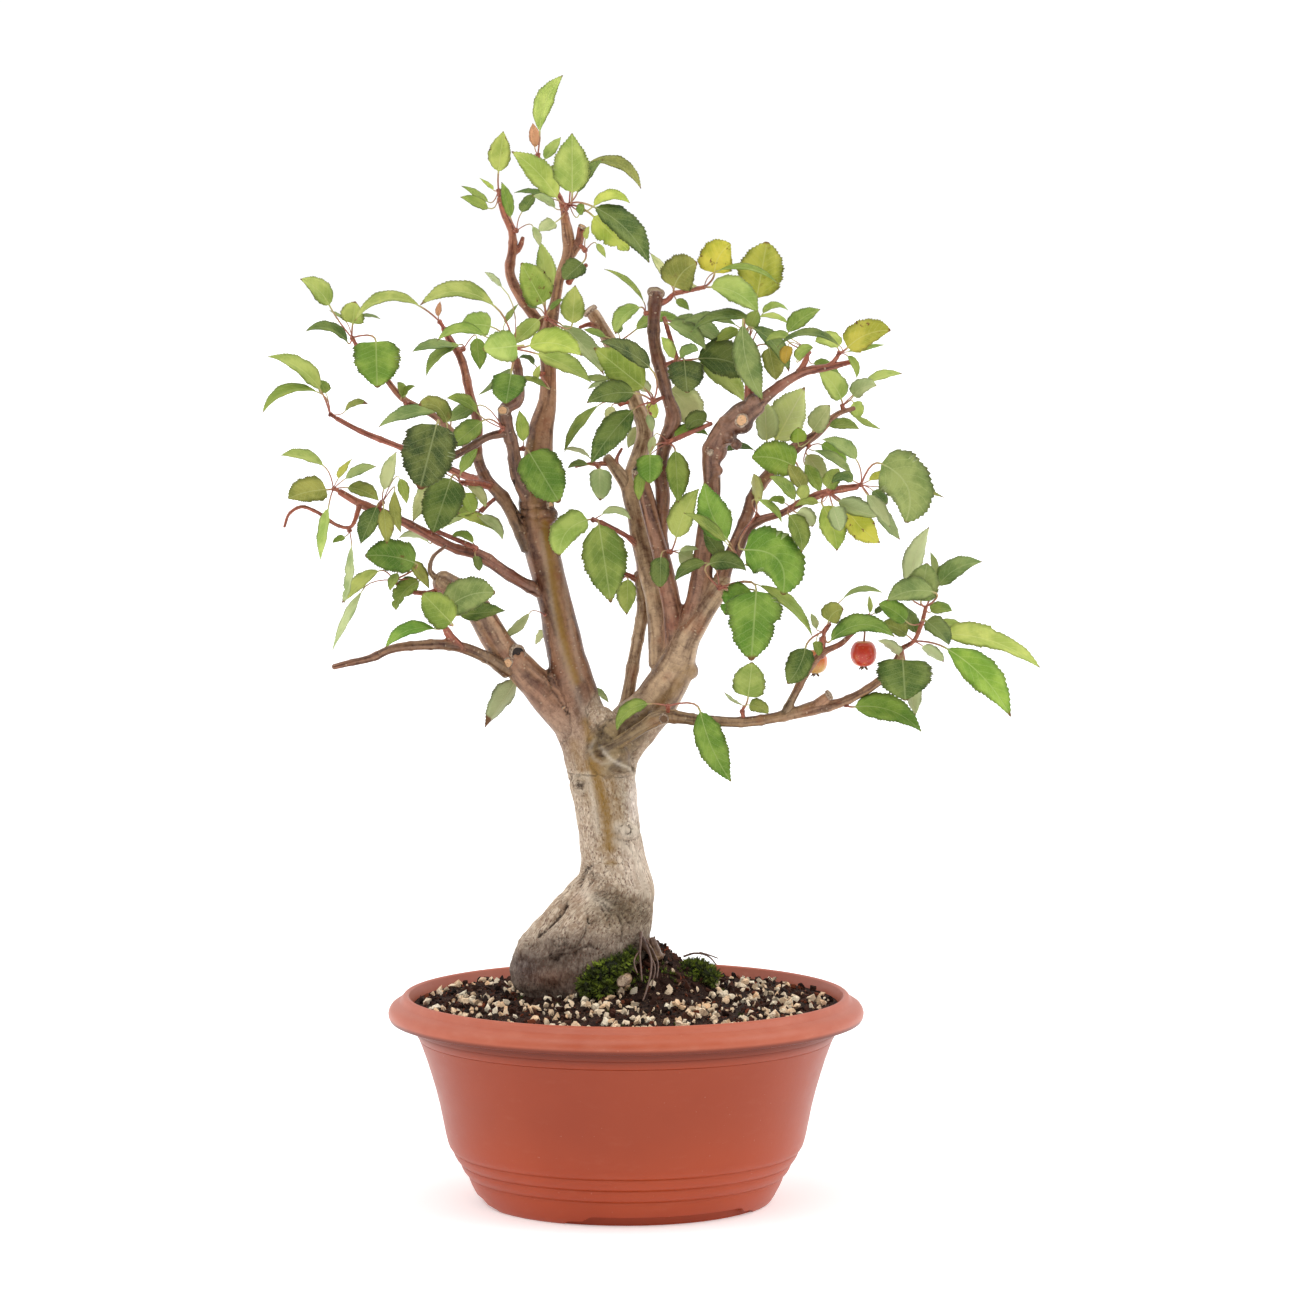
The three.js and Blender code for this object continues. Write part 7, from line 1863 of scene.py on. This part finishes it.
aside = half_width * across * hand * -math.cos(FOLD)
spot = blades_on.vector("ADD", line.out("Position"), blades_on.scaled(side, aside))
spot = blades_on.vector("ADD", spot, blades_on.scaled(normal, raised))
blades = blades_on.add("GeometryNodeSetPosition", {"Geometry": flat, "Position": spot})
blades = blades_on.dressed(blades, given.out("Blade finish"))
ring = blades_on.add("GeometryNodeCurvePrimitiveCircle", {"Resolution": STALK_SIDES, "Radius": 1.0})
stalks = blades_on.add("GeometryNodeCurveToMesh",
                       {"Curve": lines, "Profile Curve": ring, "Scale": blades_on.read("thick"),
                        "Fill Caps": True})
stalks = blades_on.dressed(stalks, given.out("Stalk finish"))
whole = blades_on.add("GeometryNodeJoinGeometry")
for part in (stalks, blades):
    blades_on.tree.links.new(part.socket, whole.node.inputs[0])
blades_on.finish(whole)

leaf = Finish("leaf blade")
around = leaf.place()
plan = leaf.apart(leaf.attribute("plan", "Vector"))
across, along, face = plan.out("X"), plan.out("Y"), plan.out("Z")
far = across.maths("ABSOLUTE")
tone = leaf.attribute("tone", "Vector")
wear = leaf.apart(leaf.attribute("wear", "Vector"))
above = face.clamp(-0.15, 0.15)
wander = leaf.noise(around, 420, 2)
veins = (along - far * 0.3 + wander * 0.03) * 8.5
veins = veins.maths("FRACT") - 0.5
veins = 1 - veins.maths("ABSOLUTE").clamp(0.01, 0.08)
veins = veins * (1 - far.clamp(0.55, 1.0) * 0.7)
midrib = 1 - far.clamp(0.015, 0.05)
ribs = (veins * 0.6).maths("MAXIMUM", midrib)
net = 1 - leaf.cells(around, 900.0, "DISTANCE_TO_EDGE").clamp(0.02, 0.16)
cloud = leaf.noise(around, 75, 4)
grain = leaf.noise(around, 1500, 3)
deep = leaf.times(tone, (206, 218, 190))
pale = leaf.blend(0.16, tone, (206, 206, 110))
green = leaf.blend(cloud.clamp(0.36, 0.64), deep, pale)
green = leaf.blend((grain.clamp(0.35, 0.75) + net) * 0.08, green, (196, 206, 120))
vein = leaf.blend(0.42, tone, (212, 218, 150))
green = leaf.blend(ribs * 0.55, green, vein)
back = leaf.blend(0.55, tone, (186, 198, 140))
back = leaf.blend(cloud.clamp(0.35, 0.7) * 0.35, back, (150, 160, 112))
back = leaf.blend(ribs * 0.55 + net * 0.12, back, (206, 206, 156))
green = leaf.blend(above, back, green)
rim = far.clamp(0.86, 1.0)
green = leaf.blend(rim * 0.16, green, (150, 120, 60))
blot = leaf.noise(around, 240, 4, 0.65).clamp(0.6, 0.64)
where = leaf.noise(around, 70, 2)
dots = blot * where.clamp(0.44, 0.56) * wear.out("X")
tip = (along + cloud * 0.12 + wear.out("Y") - 1).clamp(0.0, 0.06)
scorch = dots.maths("MAXIMUM", tip)
green = leaf.blend(scorch * 0.9, green, (112, 62, 38))
height = (1 - ribs) * 0.3 + leaf.noise(around, 700, 2) * 0.5 - net * 0.2
leaf.own(Base_Color=green, Roughness=0.42 + grain * 0.2 + scorch * 0.2,
         Normal=leaf.bump(height, 0.0004), Specular_IOR_Level=0.25)

stalk = Finish("leaf stalk")
share = stalk.attribute("share")
begin = stalk.attribute("start")
speck = stalk.noise(stalk.place(), 900, 3)
red = stalk.blend(speck.clamp(0.3, 0.7), (146, 74, 66), (176, 112, 88))
shade = stalk.blend((share - begin * 0.25).clamp(0.0, 0.5), red, (184, 182, 116))
on_blade = (share - begin).clamp(-0.06, 0.06)
rib = stalk.blend(0.42, stalk.attribute("tone", "Vector"), (212, 214, 146))
shade = stalk.blend(on_blade, shade, rib)
stalk.own(Base_Color=shade, Roughness=0.5 + speck * 0.12)

chance = random.Random(LEAF_SEED)
for name, (spur, leaves) in BUNCHES.items():
    roots = [place(*point) for point in spur]
    points, edges = [], []
    facts = {"half_width": [], "hand": [], "roll": [], "start": [], "thick": [], "share": [], "phase": []}
    kinds, tones, wears = [], [], []
    for base_u, base_v, tip_u, tip_v, width, roll, bow, base_depth, tip_depth, tone in leaves:
        base, tip = place(base_u, base_v, base_depth), place(tip_u, tip_v, tip_depth)
        across = (tip - base).cross(Vector((0, -1, 0))).normalized()
        hand = -1 if across.z < 0 else 1
        middle = base.lerp(tip, 0.5) + across * (2 * hand * bow * UNIT)
        root = min(roots, key=lambda point: (point - base).length)
        reach = (base - root).length
        control = base - (middle - base).normalized() * reach * 0.4
        line = [bowed(root, control, base, k / STALK_POINTS) for k in range(STALK_POINTS)]
        line += [bowed(base, middle, tip, k / MIDRIB_POINTS) for k in range(MIDRIB_POINTS + 1)]
        steps = [(b - a).length for a, b in zip(line, line[1:])]
        start = sum(steps[:STALK_POINTS]) / sum(steps)
        slim = width * UNIT / (tip - base).length
        kind = 2 if slim < SLIM_BELOW else (1 if slim > ROUND_ABOVE else 0)
        kind = 3 if "R" in tone else (4 if "L" in tone else kind)
        mood = chance.uniform(0.9, 1.1)
        warmth = chance.uniform(0.96, 1.05)
        colour = paint(*(min(255, channel * mood * way) for channel, way in
                         zip(TONES[tone[0]], (warmth, 1, 1))))
        spots = 1.0 if "S" in tone else (0.35 if tone[0] in "yo" else 0.08)
        brown = 0.16 if "T" in tone else (0.03 if chance.random() < 0.2 else 0.0)
        phase = chance.uniform(0, 6.28)
        thin = STALK_RADIUS * min(1, max(0.55, width / 30))
        steady = {"half_width": width * UNIT / 2, "hand": hand, "roll": math.radians(roll), "start": start,
                  "phase": phase}
        first = len(points)
        for k, spot in enumerate(line):
            along = sum(steps[:k]) / sum(steps)
            on_blade = max(0, (along - start) / (1 - start))
            points.append(spot)
            for label, value in steady.items():
                facts[label].append(value)
            facts["thick"].append(thin * (1 - 0.4 * (on_blade > 0)) * (1 - 0.9 * on_blade ** 0.5))
            facts["share"].append(along)
            kinds.append(kind)
            tones += colour
            wears += (spots, brown, 0.0)
            if k:
                edges.append((first + k - 1, first + k))
    mesh = bpy.data.meshes.new("spray_" + name)
    mesh.from_pydata([tuple(point) for point in points], edges, [])
    piece = shown("leaves_" + name, mesh)
    for label, values in facts.items():
        tell(piece, label, values)
    tell(piece, "kind", kinds, "INT")
    tell(piece, "tone", tones, "FLOAT_VECTOR")
    tell(piece, "wear", wears, "FLOAT_VECTOR")
    blades_on.run(piece, {"Blades": templates, "Fold": math.sin(FOLD) * FOLD_RISE, "Curl": CURL,
                          "Ripple": RIPPLE, "Half thickness": BLADE_HALF_THICKNESS,
                          "Blade finish": leaf.material, "Stalk finish": stalk.material})
    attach(piece, "root")
    if name not in NAMELESS:
        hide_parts("spray_" + name)
let_go(templates)


# ---------- spurs ----------
# The short woody spurs that the bunches of leaves grow from, ringed with old scars, with a few bud
# scales at the foot of each stalk.
SPUR_SPACING = 0.0007
LONG_SPUR_KNUCKLES, SPUR_KNUCKLES = 3.2, 2.6
LONG_SPUR_FOOT, LONG_SPUR_REST = 2.6, 2.1
SCALE_SIDES = 8
SCALE_SHARES = (0, 0.35, 0.7, 1.0)
SCALE_LENGTH = 0.0012
SCALE_RADIUS = 0.0009
spur_shell = ([], [])
spur_axes = []
for spur, leaves in BUNCHES.values():
    knob = place(*spur[0])
    foot = min((station[0] for line in axes for station in line), key=lambda spot: (knob - spot).length)
    if len(spur) > 1:
        stations = [(*point, LONG_SPUR_REST if k else LONG_SPUR_FOOT) for k, point in enumerate(spur)]
        tube(spur_shell, framed(course(stations, SPUR_SPACING)), TWIG_SIDES, LONG_SPUR_KNUCKLES)
    middle = foot.lerp(knob, 0.55) + Vector((0, 0, 0.0006))
    line = bent_stalk(foot, middle, knob, 1.9, 1.0, 3)
    tube(spur_shell, framed(line), TWIG_SIDES, SPUR_KNUCKLES)
    spur_axes.append([(*station, "rr") for station in line])
    for base_u, base_v, *_, base_depth, _, _ in leaves:
        base = place(base_u, base_v, base_depth)
        root = min((place(*point) for point in spur), key=lambda point: (point - base).length)
        toward = (base - root).normalized()
        bud_scale = [(root + toward * (SCALE_LENGTH * t), SCALE_RADIUS * (1 - 0.55 * t), t)
                     for t in SCALE_SHARES]
        tube(spur_shell, framed(bud_scale), SCALE_SIDES, 0)
spurs = mesh_object("spurs", *spur_shell)
barked(spurs, survey(spur_axes))
